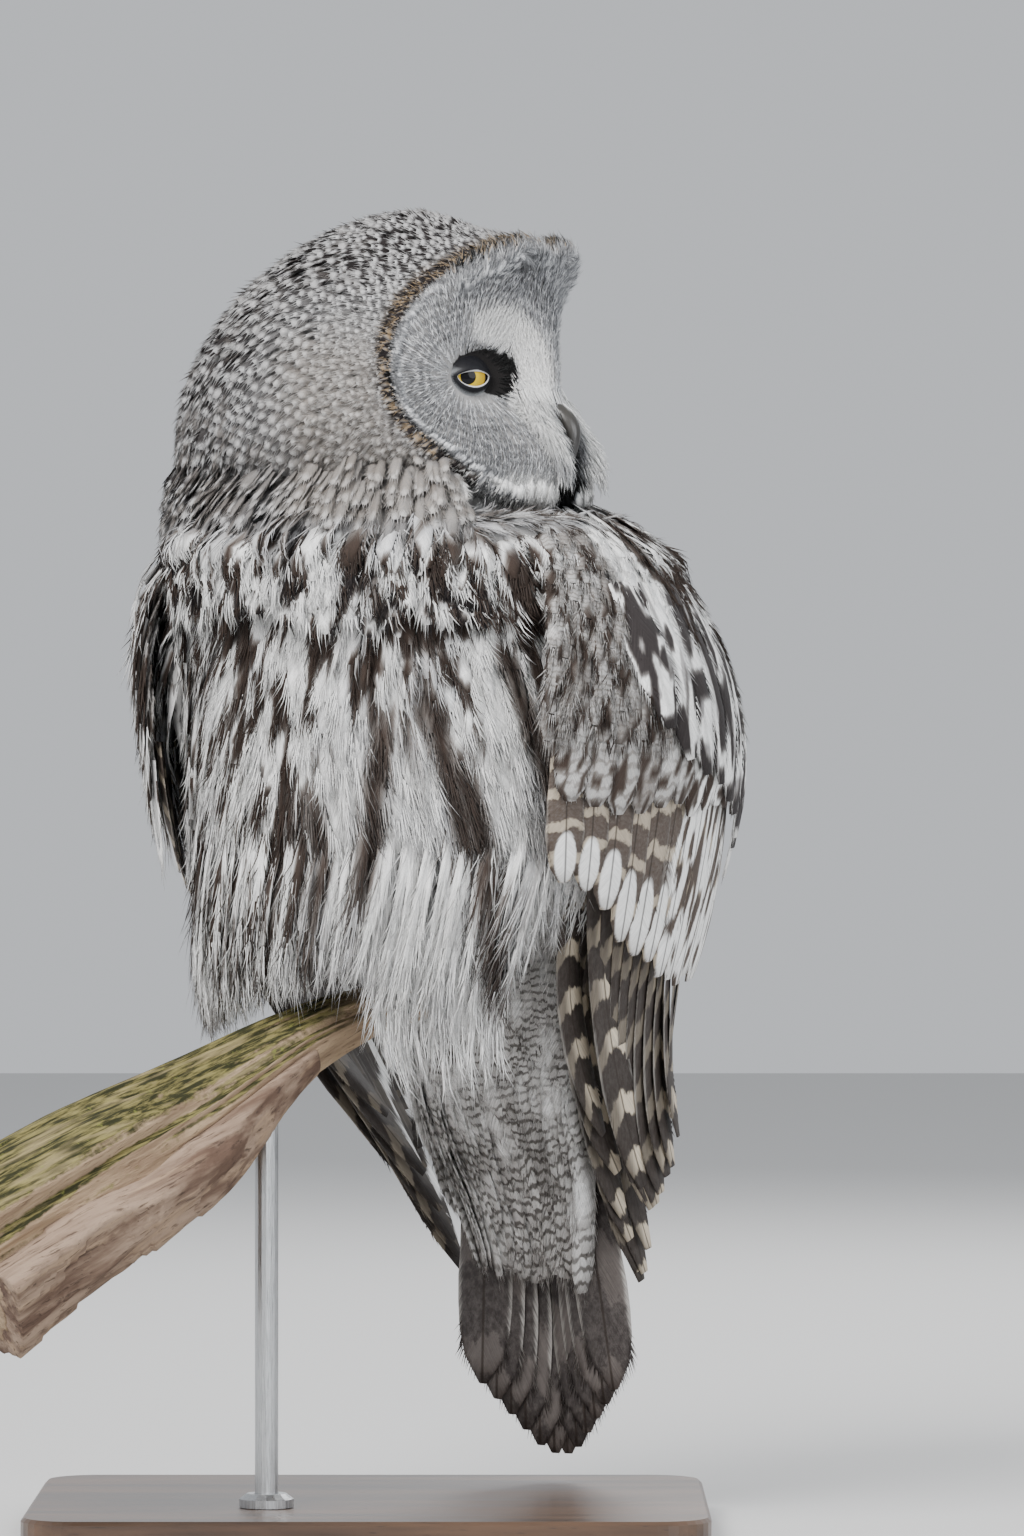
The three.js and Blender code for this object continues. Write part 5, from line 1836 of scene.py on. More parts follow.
    def rim(self, look: Material) -> None:
        """Lays the dense flecked rim, the chin, the lores and the brow.

        Args:
            look: Their material.
        """
        coat = Coat("coat_rim", 5)
        rng = draw(6)
        stub = Pattern(2.8, 6)
        stub.vane(((0, 0.7), (0.6, 1.0), (1.0, 0.45)), 2, 0.15, 0.25)
        stub.fringe(rng, 5, 1.7, 0.6, 0.6)
        for row, share in enumerate((0.965, 0.985, 1.005)):
            angle = staggered(self.rim_count, row) * 2 * math.pi - math.pi
            place = HEAD.disc(angle, np.full(len(angle), share)) + rng.normal(size=(len(angle), 3)) * 0.4 * MM
            lay = self.rooting.along(ON_HEAD.world(place), self.rim_way, 4.0 * MM)
            coat.lay(stub, lay, 2.2 * MM, -0.3 * MM, 2.6 * MM, Markings.head, 0.5, 0.4)
        self.chin(coat, rng)
        self.lores(coat, rng)
        self.brow(coat, rng)
        coat.build(look, "head_plumage")

    @staticmethod
    def rim_way(points: Array, outs: Array) -> Array:
        """Lie of the rim: away from the middle of the disc."""
        q = ON_HEAD.local(points)
        return ON_HEAD.turn(unit(rows_of(q[:, 0], 22 * MM, q[:, 2] - HEAD.disc_up)))

    @staticmethod
    def tuft_way(spread: float, back: float, up: float) -> Rule:
        """Lie of tufts on the face.

        Args:
            spread: How fast it turns outwards away from the middle of the face.
            back: Its share backwards.
            up: Its share upwards.

        Returns:
            The lie, as a rule for places and their outward directions.
        """
        return lambda points, outs: ON_HEAD.turn(
            unit(rows_of(ON_HEAD.local(points)[:, 0] * spread, back, up))
        )

    def chin(self, coat: Coat, rng: np.random.Generator) -> None:
        """Lays the white moustaches and the dark throat between them.

        Args:
            coat: The coat piece that they join.
            rng: Source of their variation.
        """
        tuft = Pattern(5, 15)
        tuft.vane(((0, 0.5), (0.45, 0.9), (0.8, 0.7)), 2, 0.12, 0.25)
        tuft.fringe(rng, 13, 5, 0.6, 0.3, 1)
        side = rng.uniform(-56, 56, self.chin_count) * MM
        up = rng.uniform(-66, -42, self.chin_count) * MM
        up -= 6 * MM * smooth(30 * MM, 0, np.abs(side))
        share = HEAD.share(side, up)
        keep = share < 1.05
        place = HEAD.face(side[keep], up[keep], np.minimum(share[keep], 1))
        lay = self.rooting.along(ON_HEAD.world(place), self.tuft_way(14, -0.2, -1.0), 13 * MM, 0.5)
        coat.lay(tuft, lay, 5 * MM, -0.5 * MM, 4.5 * MM, Markings.head, 0.8, 0.4)

    def brow(self, coat: Coat, rng: np.random.Generator) -> None:
        """Lays the loose tufts over the brow, beyond the upper inner edge of each half of the disc.

        Args:
            coat: The coat piece that they join.
            rng: Source of their variation.
        """
        tuft = Pattern(5, 14)
        tuft.vane(((0, 0.6), (0.5, 0.9), (0.9, 0.4)), 2, 0.1, 0.25)
        tuft.fringe(rng, 14, 5, 0.6, 0.2)
        count = self.brow_count
        angle = np.radians(rng.uniform(38, 100, count))
        place = HEAD.disc(angle, rng.uniform(0.8, 1.04, count)) * rows_of(rng.choice((-1, 1), count), 1, 1)
        way = self.tuft_way(12, -0.7, 0.9)
        lay = self.rooting.along(ON_HEAD.world(place), way, lerp(8 * MM, 13 * MM, rng.random(count)), 0.5)
        stand = lerp(2.5 * MM, 5.5 * MM, rng.random(count))
        coat.lay(tuft, lay, 4.5 * MM, -0.5 * MM, stand, Markings.head, 1.2, 0.5)

    def lores(self, coat: Coat, rng: np.random.Generator) -> None:
        """Lays the long bristles that hide most of the bill.

        Args:
            coat: The coat piece that they join.
            rng: Source of their variation.
        """
        tuft = Pattern(3, 20)
        tuft.barb(Barb((0, 0), (0, 20), 0.9, 0.5, 0.4), 2)
        tuft.plume(rng, 5, 11, 0.6, 0.05, 0.16, 2)
        count = self.lore_count
        side = rng.uniform(1, 22, count) * MM * rng.choice((-1, 1), count)
        up = rng.uniform(-30, 8, count) * MM
        place = HEAD.face(side, up, np.full(count, 0.3))
        way = self.tuft_way(16, -0.5, -1.0)
        lay = self.rooting.along(ON_HEAD.world(place), way, lerp(14 * MM, 21 * MM, rng.random(count)), 0.55)
        stand = lerp(3 * MM, 8 * MM, rng.random(count))
        coat.lay(tuft, lay, 3 * MM, -0.5 * MM, stand, Markings.head, 0.9, 0.5)


@dataclass
class BodyCoat:
    """Feathers of neck, breast, belly, flanks, mantle and legs."""

    rooting: Rooting
    collar_rows: int = 13
    collar_count: int = 104

    @staticmethod
    def off_head(points: Array) -> Array:
        """True where places are below the head."""
        return (ON_HEAD.local(points)[:, 2] < -58 * MM) | (points[:, 2] < 512 * MM)

    @staticmethod
    def on_wing(points: Array) -> Array:
        """Tells places on a wing's flesh.

        Args:
            points: Places in the model's frame.

        Returns:
            True where they are on it.
        """
        x, y, z = ON_BODY.local(points).T
        w = WING.at(z)
        out = np.abs(x - TORSO.at(z)["cx"]) > w["fx"] - 4 * MM
        return out & (y > w["fy"] + 14 * MM) & (z > 392 * MM) & (z < 530 * MM)

    @staticmethod
    def way(points: Array, outs: Array) -> Array:
        """Lie of the body's feathers: down, parted from the middle of the breast.

        Args:
            points: Places on the skin.
            outs: Their outward directions.

        Returns:
            Directions.
        """
        x, y, _ = ON_BODY.local(points).T
        swirl = CLOUDS.at(points + 0.7, (30 * MM, 30 * MM, 45 * MM)) - 0.5
        side = 0.22 * np.sign(x) * smooth(0, 60 * MM, np.abs(x)) * smooth(60 * MM, -20 * MM, y)
        return ON_BODY.turn(unit(rows_of(side + 0.5 * swirl, 0.12, -1.0)))

    @staticmethod
    def plumage(kinds: int, number: int, size: Sequence[float], barbs: int, reach: float) -> list[Pattern]:
        """Makes breast feathers: a narrow vane within long loose strands.

        Args:
            kinds: How many like feathers.
            number: Number that their draws start from.
            size: Width and length.
            barbs: Number of strands.
            reach: Their length.

        Returns:
            The feathers' forms.
        """
        outline = ((0, 0.5), (0.35, 0.72), (0.65, 0.6), (0.88, 0.25))
        return feathers(kinds, number, size, (outline, 2, 0.07, 0.25), (barbs, reach, 0.85, 0.22, 2))

    def breast(self, look: Material) -> None:
        """Lays breast, neck and flanks, in an upper and a lower piece.

        Args:
            look: Their material.
        """
        def where(p: Array, outs: Array) -> Array:
            """True where the breast's feathers stand, above a ragged lower edge."""
            edge = 405 * MM - 44 * MM * CLOUDS.at(p, 22 * MM)
            return (p[:, 2] > edge) & self.off_head(p) & ~self.on_wing(p)

        roots = self.rooting.scatter(where, 7.6 * MM, 7)
        low, top = smooth(500 * MM, 400 * MM, roots[:, 2]), smooth(500 * MM, 530 * MM, roots[:, 2])
        length = (lerp(34 * MM, 52 * MM, low) - 10 * MM * top) * draw(18).uniform(0.75, 1.25, len(roots))
        lay = self.rooting.along(roots, self.way, length, 0.1)
        kinds = self.plumage(4, 40, (14, 38), 26, 12)
        width, stand = lerp(12 * MM, 16 * MM, low), lerp(6 * MM, 8 * MM, low)
        upper = roots[:, 2] > 462 * MM
        for name, piece in (("coat_breast_upper", upper), ("coat_breast_lower", ~upper)):
            coat = Coat(name, 8)
            coat.lay_mixed(kinds, lay, width, -2 * MM, stand, Markings.body, 1.5, 0.3, piece)
            coat.build(look, "body_plumage")

    def belly(self, look: Material) -> None:
        """Lays the long loose plumes of the belly and its hem, which hang past the branch.

        Args:
            look: Their material.
        """
        def where(p: Array, outs: Array) -> Array:
            """True where the belly's plumes stand."""
            level = (p[:, 2] < 412 * MM) & (p[:, 2] > 340 * MM)
            return level & (ON_BODY.local(p)[:, 1] < 30 * MM) & ~self.on_wing(p)

        roots = self.rooting.scatter(where, 7.8 * MM, 9)
        lay = self.rooting.along(roots, self.way, 70 * MM, smooth(400 * MM, 350 * MM, roots[:, 2]))
        kinds = [Pattern(16, 64) for _ in range(4)]
        for kind, pattern in enumerate(kinds):
            pattern.vane(((0, 0.3), (0.4, 0.42), (0.75, 0.2)), 2, 0.08, 0.25)
            pattern.plume(draw(50 + kind), 26, 27, 0.9, 0.08, 0.3)
        belly, hem = Coat("coat_belly", 10), Coat("coat_hem", 11)
        lay = self.clear_of_branch(lay)
        belly.lay_mixed(kinds, lay, 15 * MM, -2 * MM, 8 * MM, Markings.body, 2.4, 0.5)
        hem.lay_mixed(kinds, self.hem(), 15 * MM, 0, 2 * MM, Markings.body, 2.4, 0.5)
        belly.build(look, "body_plumage")
        hem.build(look, "body_plumage")

    def neck(self, look: Material) -> None:
        """Lays the loose feathers that fall over the top of the body, all round.

        Args:
            look: Their material.
        """
        rng = draw(17)
        sets = []
        for row, (root, off, end) in enumerate(
            ((534, -46, 500), (527, -32, 491), (519, -18, 482), (510, -8, 474))
        ):
            angle = lerp(-math.pi, math.pi, staggered(84, row))
            sets.append(rows_of(angle + rng.normal(size=len(angle)) * 0.02, root * MM, off * MM, end * MM))
        angle, root, off, end = np.concatenate(sets).T
        face = bell(angle, math.radians(92), math.radians(76))
        root = root - 17 * MM * face + rng.normal(size=len(root)) * 2 * MM
        off, end = off + 14 * MM * face, end - 6 * MM * face + rng.normal(size=len(end)) * 4 * MM
        level = np.full(len(angle), 506 * MM)
        start, bend = self.on_torso(angle, level, off), self.on_torso(angle, level, 0)
        start[:, 2], bend[:, 2] = root, lerp(root, end, 0.5)
        lay = self.around(angle, (start, bend, self.on_torso(angle, end, 5 * MM)))
        coat = Coat("coat_neck", 17)
        kinds = self.plumage(3, 40, (14, 44), 24, 12)
        coat.lay_mixed(kinds, lay, 15 * MM, 0, 2 * MM, Markings.body, 1.5, 0.3)
        coat.build(look, "body_plumage")

    def around(self, angle: Array, places: Sequence[Array]) -> Lay:
        """Feathers round the body, by their angles from its front and their roots, middles and tips."""
        return self.rooting.free(places, [unit(outward(angle, 0.5))] * 3)

    def collar(self, cap: Array, look: Material) -> None:
        """Carries the cap's scalloped rows on over the hollow between head and body.

        Args:
            cap: Roots of the cap in the head's frame.
            look: The cap's material.
        """
        rng = draw(19)
        turn, edge = self.cap_edge(cap)
        sets = []
        for row in range(self.collar_rows):
            angle = lerp(-math.pi, math.pi, staggered(self.collar_count, row))
            angle = angle + rng.normal(size=len(angle)) * 0.015
            sets.append(rows_of(angle, (row / self.collar_rows) ** 1.4 - 0.05))
        angle, share = np.concatenate(sets).T
        near = np.abs(angle[:, None] - turn[None]).min(1) < 0.09
        angle, share = angle[near], share[near] + rng.normal(size=int(near.sum())) * 0.035
        upper = ON_BODY.world(rows_of(*(np.interp(angle, turn, line, period=2 * math.pi) for line in edge.T)))
        lower = self.on_torso(angle, np.full(len(angle), 488 * MM), 5 * MM)
        out, length = outward(angle), np.clip(share, 0, 1)
        step = lerp(0.19, 0.5, length) * rng.uniform(0.85, 1.2, len(angle))
        places = []
        for t in (0, 0.5, 1):
            at = share + step * t
            past = np.maximum(at - 1, 0)
            rise = 4 * MM * np.sin(math.pi * np.clip(at, 0, 1)) + (4 * t - 2.5) * MM - 9 * MM * past
            place = lerp(upper, lower, np.minimum(at, 1)[:, None]) + out * rise[:, None]
            place[:, 2] -= 62 * MM * past
            places.append(place)
        width = lerp(6.4 * MM, 12 * MM, length) * rng.uniform(0.8, 1.25, len(angle))
        outline = ((0, 0.5), (0.4, 0.85), (0.75, 0.7), (0.92, 0.35))
        kinds = feathers(3, 26, (8, 20), (outline, 2, 0.09, 0.2, 0.1), (16, 5, 0.7, 0.35))
        coat = Coat("coat_collar", 19)
        coat.lay_mixed(kinds, self.around(angle, places), width, 0, 1 * MM, Markings.skin, 1.0, 0.35)
        coat.build(look, "head_plumage")

    @staticmethod
    def cap_edge(cap: Array) -> tuple[Array, Array]:
        """Finds the cap's lower edge.

        Args:
            cap: Roots of the cap in the head's frame.

        Returns:
            Angles round the body and places in its frame, in order.
        """
        edge = cap[(np.abs(cap[:, 2] + 38 * MM) < 4 * MM) & (cap[:, 1] > -54 * MM)]
        edge = ON_BODY.local(ON_HEAD.world(edge))
        s = TORSO.at(np.full(len(edge), 516 * MM))
        reach = np.where(edge[:, 1] < s["cy"], s["front"], s["back"])
        turn = np.arctan2((edge[:, 0] - s["cx"]) / s["half"], -(edge[:, 1] - s["cy"]) / reach)
        order = np.argsort(turn)
        return turn[order], edge[order]

    def hem(self) -> Lay:
        """Plumes that hang straight from the lower belly to the branch and past it.

        Returns:
            Where they lie.
        """
        rng, count = draw(16), 46
        sets = []
        for row, root in enumerate((384, 370, 357, 345, 333)):
            angle = np.radians(lerp(-74, 66, (np.arange(count) + rng.random(count)) / count))
            sets.append(rows_of(angle, root * MM + rng.normal(size=count) * 8 * MM, float(row)))
        angle, root, row = np.concatenate(sets).T
        tip_x = self.on_torso(angle, np.full(len(angle), 280 * MM), 0)[:, 0]
        end = (288 - 12.5 * row) * MM + rng.uniform(-8, 5, len(angle)) * MM
        wood = self.branch_top(tip_x) + 1 * MM + rng.uniform(-1, 5, len(angle)) * MM
        end = np.maximum(end, lerp(0, wood, smooth(10 * MM, -2 * MM, tip_x)))
        places = []
        for t in (0, 0.5, 1):
            off = lerp(-11 * MM, lerp(1 * MM, -4 * MM, row / 4), min(t / 0.6, 1))
            shift = rng.normal(size=len(angle)) * 0.03 * t
            places.append(self.on_torso(angle + shift, lerp(root, end, t), off))
        return self.rooting.free(places, [outward(angle)] * 3)

    @staticmethod
    def on_torso(angle: Array, z: Array, off: Amount) -> Array:
        """Places round the torso.

        Args:
            angle: Angles from its front.
            z: Levels.
            off: Heights off its surface.

        Returns:
            The places in the model's frame.
        """
        s = TORSO.at(z)
        reach = np.where(np.cos(angle) > 0, s["front"], s["back"])
        x, y = s["cx"] + (s["half"] + off) * np.sin(angle), s["cy"] - (reach + off) * np.cos(angle)
        return ON_BODY.world(rows_of(x, y, z))

    @staticmethod
    def branch_top(x: Array) -> Array:
        """Level of the branch's upper side below the belly."""
        along, level = np.array(((-206, -140, -88, -36, 0, 30, 62), (207, 240, 260, 280, 288, 295, 300))) * MM
        return np.interp(x, along, level)

    def clear_of_branch(self, lay: Lay) -> Lay:
        """Shortens the plumes that would pass into the branch's upper side.

        Args:
            lay: Where they lie.

        Returns:
            Where the shortened ones lie.
        """
        first, middle, last = (lay.places[:, k] for k in range(3))
        floor = self.branch_top(last[:, 0]) - 4 * MM
        short = (last[:, 0] < 6 * MM) & (last[:, 2] < floor)
        share = (first[:, 2] - floor) / np.maximum(first[:, 2] - last[:, 2], 0.1 * MM)
        share = np.where(short, np.clip(share, 0.25, 1), 1)[:, None]
        bend = first + (middle - first) * share
        return Lay(np.stack([first, bend, bend + (last - middle) * share], 1), lay.outs, lay.charts)

    def mantle(self, look: Material) -> None:
        """Lays the back between the wings, the rump and the flanks behind them.

        Args:
            look: Their material.
        """
        def where(p: Array, outs: Array) -> Array:
            """True where the rump's feathers stand."""
            return (p[:, 2] <= 395 * MM) & (ON_BODY.local(p)[:, 1] >= 30 * MM) & (p[:, 2] > 290 * MM)

        roots = self.rooting.scatter(where, 10 * MM, 11)
        lay = self.rooting.along(roots, self.way, 44 * MM, 0.2)
        coat = Coat("coat_rump", 12)
        kinds = self.plumage(1, 47, (18, 44), 22, 11)
        coat.lay_mixed(kinds, lay, 18 * MM, -2 * MM, 5 * MM, Markings.body, 1.3, 0.25)
        coat.build(look, "body_plumage")

    def legs(self, look: Material) -> None:
        """Lays the short soft feathers of legs and toes.

        Args:
            look: Their material.
        """
        coat = Coat("coat_legs", 13)
        roots = self.rooting.scatter(lambda p, outs: p[:, 2] < 316 * MM, 3.6 * MM, 15)
        pattern = Pattern(4, 11)
        pattern.barb(Barb((0, 0), (0, 11), 1.1, 0.0, 0.3), 2)
        pattern.plume(draw(14), 6, 5.5, 0.7, 0.1, 0.35, 1)
        length = lerp(6 * MM, 12 * MM, smooth(285 * MM, 305 * MM, roots[:, 2]))
        lay = self.rooting.along(roots, self.way, length)
        coat.lay(pattern, lay, 4 * MM, -0.3 * MM, 1.6 * MM, Markings.rear, 0.6, 0.4)
        coat.build(look, "leg_plumage")


@dataclass(frozen=True)
class Tier:
    """One tier of broad feathers on a wing: levels of the tips, and shares and heights of roots and tips."""

    tips: tuple[float, ...]
    count: int
    root_z: float
    root: tuple[float, float, float]
    tip: tuple[float, float, float]
    width: float
    tilt: float
    bulge: float = 1.0
    step: tuple[float, float] = (0.0, 0.0)
    flare: float = 0.0


class Quills(Enum):
    """Kinds of broad feathers."""

    FLIGHT = "flight"
    COVERT = "covert"
    LOOSE = "loose"
    TAIL = "tail"

    def pattern(self, width: float, length: float, seed: int) -> Pattern:
        """A feather of this kind.

        Args:
            width: Its width in millimetres.
            length: Its length in millimetres.
            seed: Number that its variation starts from.

        Returns:
            The feather's form.
        """
        top, before, after, fall, least, vane, fringe = {
            Quills.FLIGHT: (0.72, 0.62, 1, 0.29, 0.02, (6, 0.035, 0.5, 0.03), (26, 3.0, 0.9, 0.8)),
            Quills.TAIL: (0.78, 0.55, 1, 0.222, 0.002, (6, 0.04, 0.5, 0.02), (44, 7.5, 0.9, 0.86)),
            Quills.COVERT: (0.6, 0.7, 1, 0.42, 0.03, (6, 0.07, 0.4, 0.05), (34, 4.5, 0.8, 0.45)),
            Quills.LOOSE: (0.5, 0.6, 0.92, 0.5, 0, (6, 0.09, 0.4, 0.12), (46, 8.0, 0.8, 0.25)),
        }[self]
        shares = np.linspace(0, 1, 17 if self in (Quills.FLIGHT, Quills.TAIL) else 10)
        past = (shares - top) / fall
        ends = np.sqrt(np.maximum(1 - past**2, least))
        if self is Quills.LOOSE:
            ends = lerp(after, 0.25, np.maximum(past, 0) ** 1.5)
        wide = np.where(shares < top, lerp(before, after, shares / top), ends)
        return feathers(1, seed, (width, length), (list(zip(shares, wide)), *vane), fringe)[0]


@dataclass
class WingCoat:
    """One folded wing: flight feathers, coverts, scapulars and the small feathers of its shoulder."""

    rooting: Rooting
    sign: int
    side: str
    primaries: Tier = Tier(
        (204, 172, 148, 133, 126, 128, 140),
        9,
        380,
        (0.25, 0.6, -12.5),
        (0.14, 0.7, -10.6),
        23,
        -0.13,
        0.3,
        (0.45, 1.1),
    )
    secondaries: Tier = Tier(
        (176, 168, 166, 172, 186, 208, 236),
        11,
        396,
        (0.18, 0.92, -3),
        (0.42, 0.95, -3),
        25,
        -0.12,
        0.7,
        (0.45, 1.1),
    )
    greater: Tier = Tier(
        (344, 329, 305, 298, 288, 294, 288, 294),
        14,
        411,
        (0.05, 0.95, 3.4),
        (0.07, 0.93, 6.5),
        21,
        0.1,
        flare=5.5,
    )
    median: Tier = Tier(
        (382, 376, 382, 376, 382, 376, 382), 15, 434, (0.06, 0.94, 6.4), (0.06, 0.94, 9), 20, 0.09
    )
    scapulars: Tier = Tier((416, 396, 390, 371, 365, 345), 10, 488, (0.2, 0.9, 4.5), (0.3, 0.96, 13), 27, 0.1)

    def strip(self, start: Array, end: Array, heights: Sequence[Amount], bulge: float = 1.0) -> Lay:
        """Lays feathers along the wing's sheet.

        Args:
            start: Shares and levels of the roots.
            end: Shares and levels of the tips.
            heights: Heights of roots and tips off the sheet, in metres.
            bulge: How far the tier follows the wing's outward curve.

        Returns:
            Where they lie.
        """
        sheet = WingSheet(self.sign)
        places, outs = [], []
        for t in (0.0, 0.5, 1.0):
            at = lerp(start, end, t)
            height = np.broadcast_to(lerp(heights[0], heights[1], t), (len(at),))
            places.append(ON_BODY.world(sheet.off(at[:, 0], at[:, 1], height, bulge)))
            outs.append(ON_BODY.turn(sheet.out(at[:, 0], at[:, 1], bulge)))
        return self.rooting.free(places, outs)

    def tier(
        self,
        coat: Coat,
        tier: Tier,
        kind: Quills,
        marker: Marker,
        chart: tuple[float, float, float, float],
        seed: int,
    ) -> None:
        """Lays one tier.

        Args:
            coat: The coat piece that it joins.
            tier: Its sizes.
            kind: Kind of its feathers.
            marker: Gives their markings.
            chart: Block of the map for them.
            seed: Number that their variation starts from.
        """
        rng = draw(seed)
        share = np.linspace(0, 1, tier.count)
        tips = np.interp(share, np.linspace(0, 1, len(tier.tips)), tier.tips) + rng.uniform(-3, 3, tier.count)
        place = share * (len(tier.tips) - 1)
        flare = tier.flare * smooth(0, 0.6, share)
        start = rows_of(lerp(tier.root[0], tier.root[1], share), tier.root_z * MM)
        end = rows_of(lerp(tier.tip[0], tier.tip[1], share), tips * MM)
        heights = (tier.root[2] + tier.step[0] * place, tier.tip[2] + flare + tier.step[1] * place)
        lay = self.strip(start, end, (heights[0] * MM, heights[1] * MM), tier.bulge)
        length = float(np.mean(tier.root_z - tips))
        width = tier.width * MM * rng.uniform(0.92, 1.08, tier.count)
        parts = 2
        for part in range(parts):
            keep = np.arange(tier.count) % parts == part
            pattern = kind.pattern(tier.width, length, seed + part)
            left, low, wide, tall = chart
            block = (left + wide / parts * part, low, wide / parts, tall)
            coat.lay(
                pattern, lay.part(keep), width[keep], 0, 0, marker, 0.5, 0.02, block, -self.sign * tier.tilt
            )

    def small(self, coat: Coat) -> None:
        """Lays the small coverts of the shoulder in offset rows.

        Args:
            coat: The coat piece that they join.
        """
        rng, sheet, starts = draw(60), WingSheet(self.sign), []
        for row, z in enumerate(np.arange(530, 436, -6.6)):
            turn = np.linspace(0.0, 1.0, 60)
            arc = lengths(sheet.at(turn, np.full(len(turn), z * MM)))
            count = int(arc[-1] / (8.6 * MM))
            at = (np.arange(count) + 0.25 + 0.5 * (row % 2)) / count * arc[-1]
            share = np.clip(np.interp(at, arc, turn) + rng.normal(size=count) * 0.008, 0.0, 1.0)
            starts.append(rows_of(share, z * MM + rng.normal(size=count) * 1.2 * MM))
        start = np.concatenate(starts)
        lower = smooth(510 * MM, 440 * MM, start[:, 1])
        end = rows_of(
            np.clip(lerp(start[:, 0], 0.5, -0.03), 0, 1), start[:, 1] - lerp(20 * MM, 30 * MM, lower)
        )
        root = lerp(2.5 * MM, 5.5 * MM, lower)
        lay = self.strip(start, end, (root, root + 4.5 * MM))
        outline = ((0, 0.5), (0.3, 0.75), (0.6, 0.8), (0.85, 0.5))
        kinds = feathers(3, 61, (12, 24), (outline, 2, 0.06, 0.25, 0.1), (34, 6, 0.7, 0.15))
        coat.lay_mixed(kinds, lay, lerp(10.5 * MM, 14 * MM, lower), 0, 0, self.covert_marks, 1.2, 0.22)

    def flank(self, look: Material) -> None:
        """Lays the long breast feathers that fall over the wing's front edge.

        Args:
            look: Their material.
        """
        rng, across, front, back = draw(66), 0.34, 58, 106
        start = np.array(list(product(np.arange(528, 400, -11), np.linspace(0, across, 6))))[:, ::-1]
        start = start * (1, MM) + rng.normal(size=start.shape) * (0.02, 3 * MM)
        start[:, 0] = np.clip(start[:, 0], 0, 1)
        end = start - rows_of(0, rng.uniform(40, 52, len(start)) * MM)
        height = lerp(14 * MM, 7 * MM, start[:, 0] / across)
        over = self.strip(start, end, (height - 6 * MM, height))
        spots = np.array(list(product(np.arange(520, 380, -9), np.linspace(front, back, 8))))[:, ::-1]
        angle, root = (spots + rng.normal(size=spots.shape) * 2).T
        angle, off = self.sign * np.radians(angle), lerp(3 * MM, 16 * MM, (angle - front) / (back - front))
        places = [
            BodyCoat.on_torso(angle, root * MM - 44 * MM * t, off - 5 * MM * (1 - t)) for t in (0, 0.5, 1)
        ]
        beside = self.rooting.free(places, [outward(angle)] * 3)
        pairs = ((over.places, beside.places), (over.outs, beside.outs), (over.charts, beside.charts))
        outline = ((0, 0.5), (0.4, 0.7), (0.75, 0.5))
        kinds = feathers(2, 68, (14, 44), (outline, 2, 0.07, 0.25), (30, 12, 0.8, 0.2, 2))
        coat = Coat(f"coat_flank_{self.side}", 67)
        lay = Lay(*(np.concatenate(pair) for pair in pairs))
        coat.lay_mixed(kinds, lay, 15 * MM, 0, 0, Markings.body, 1.6, 0.35)
        coat.build(look, "body_plumage")

    @staticmethod
    def across(points: Array) -> Array:
        """Shares of the way from the wing's front edge to its back edge at places."""
        w = WING.at(points[:, 2])
        return np.clip((ON_BODY.local(points)[:, 1] - w["fy"]) / (w["by"] - w["fy"]), 0, 1)

    def covert_marks(self, points: Array) -> Array:
        """Markings of the small coverts: speckled, with the white stripe of the scapulars.

        Args:
            points: Places in the model's frame.

        Returns:
            Rows of dark, white and tan shares.
        """
        z, share = points[:, 2], self.across(points)
        speck = CLOUDS.at(points, (2.4 * MM, 2.4 * MM, 4.5 * MM))
        blotch = CLOUDS.at(points + 0.9, (7 * MM, 7 * MM, 14 * MM))
        bold = smooth(0.3, 0.5, share)
        dark = 0.75 * smooth(0.52, 0.64, speck) + bold * smooth(0.52, 0.6, blotch)
        middle = lerp(0.17, 0.36, smooth(530 * MM, 465 * MM, z))
        stripe = bell(share, middle, 0.075) * smooth(450 * MM, 475 * MM, z)
        line = bell(share, middle + 0.11, 0.03) * smooth(400 * MM, 450 * MM, z)
        white = 0.4 * smooth(0.45, 0.3, speck) + bold * smooth(0.5, 0.4, blotch)
        return rows_of(
            np.maximum(dark * (1 - stripe), line), np.maximum(white, 1.4 * stripe), 0.25 * (1 - bold)
        )

    def greater_marks(self, points: Array) -> Array:
        """Markings of the greater coverts: plain in front, whitish with dark bars towards the back.

        Args:
            points: Places in the model's frame.

        Returns:
            Rows of dark, white and tan shares.
        """
        bars = CLOUDS.at(points + 0.3, (3.5 * MM, 3.5 * MM, 6 * MM))
        return smooth(0.3, 0.5, self.across(points))[:, None] * rows_of(
            smooth(0.52, 0.62, bars), smooth(0.52, 0.44, bars), 0
        )

    def flight_marks(self, points: Array) -> Array:
        """Markings of the flight feathers: mottled with white towards the back of the wing.

        Args:
            points: Places in the model's frame.

        Returns:
            Rows of dark, white and tan shares.
        """
        speck = CLOUDS.at(points + 0.6, (3 * MM, 3 * MM, 7 * MM))
        return rows_of(
            0, smooth(0.55, 0.8, self.across(points)) * (self.sign < 0) * smooth(0.5, 0.62, speck), 0
        )

    @staticmethod
    def scapular_marks(points: Array) -> Array:
        """Markings of the scapulars: white webs and dark slate blotches along the shafts.

        Args:
            points: Places in the model's frame.

        Returns:
            Rows of dark, white and tan shares.
        """
        blotch = 0.7 * CLOUDS.at(points + 0.4, (5 * MM, 5 * MM, 12 * MM))
        blotch = blotch + 0.3 * CLOUDS.at(points, (2 * MM, 2 * MM, 4 * MM))
        return rows_of(1.3 * smooth(0.5, 0.58, blotch), 1.3 * smooth(0.52, 0.44, blotch), 0)

    @staticmethod
    def plain(points: Array) -> Array:
        """No markings beyond the finish's own."""
        return np.zeros((len(points), 3))

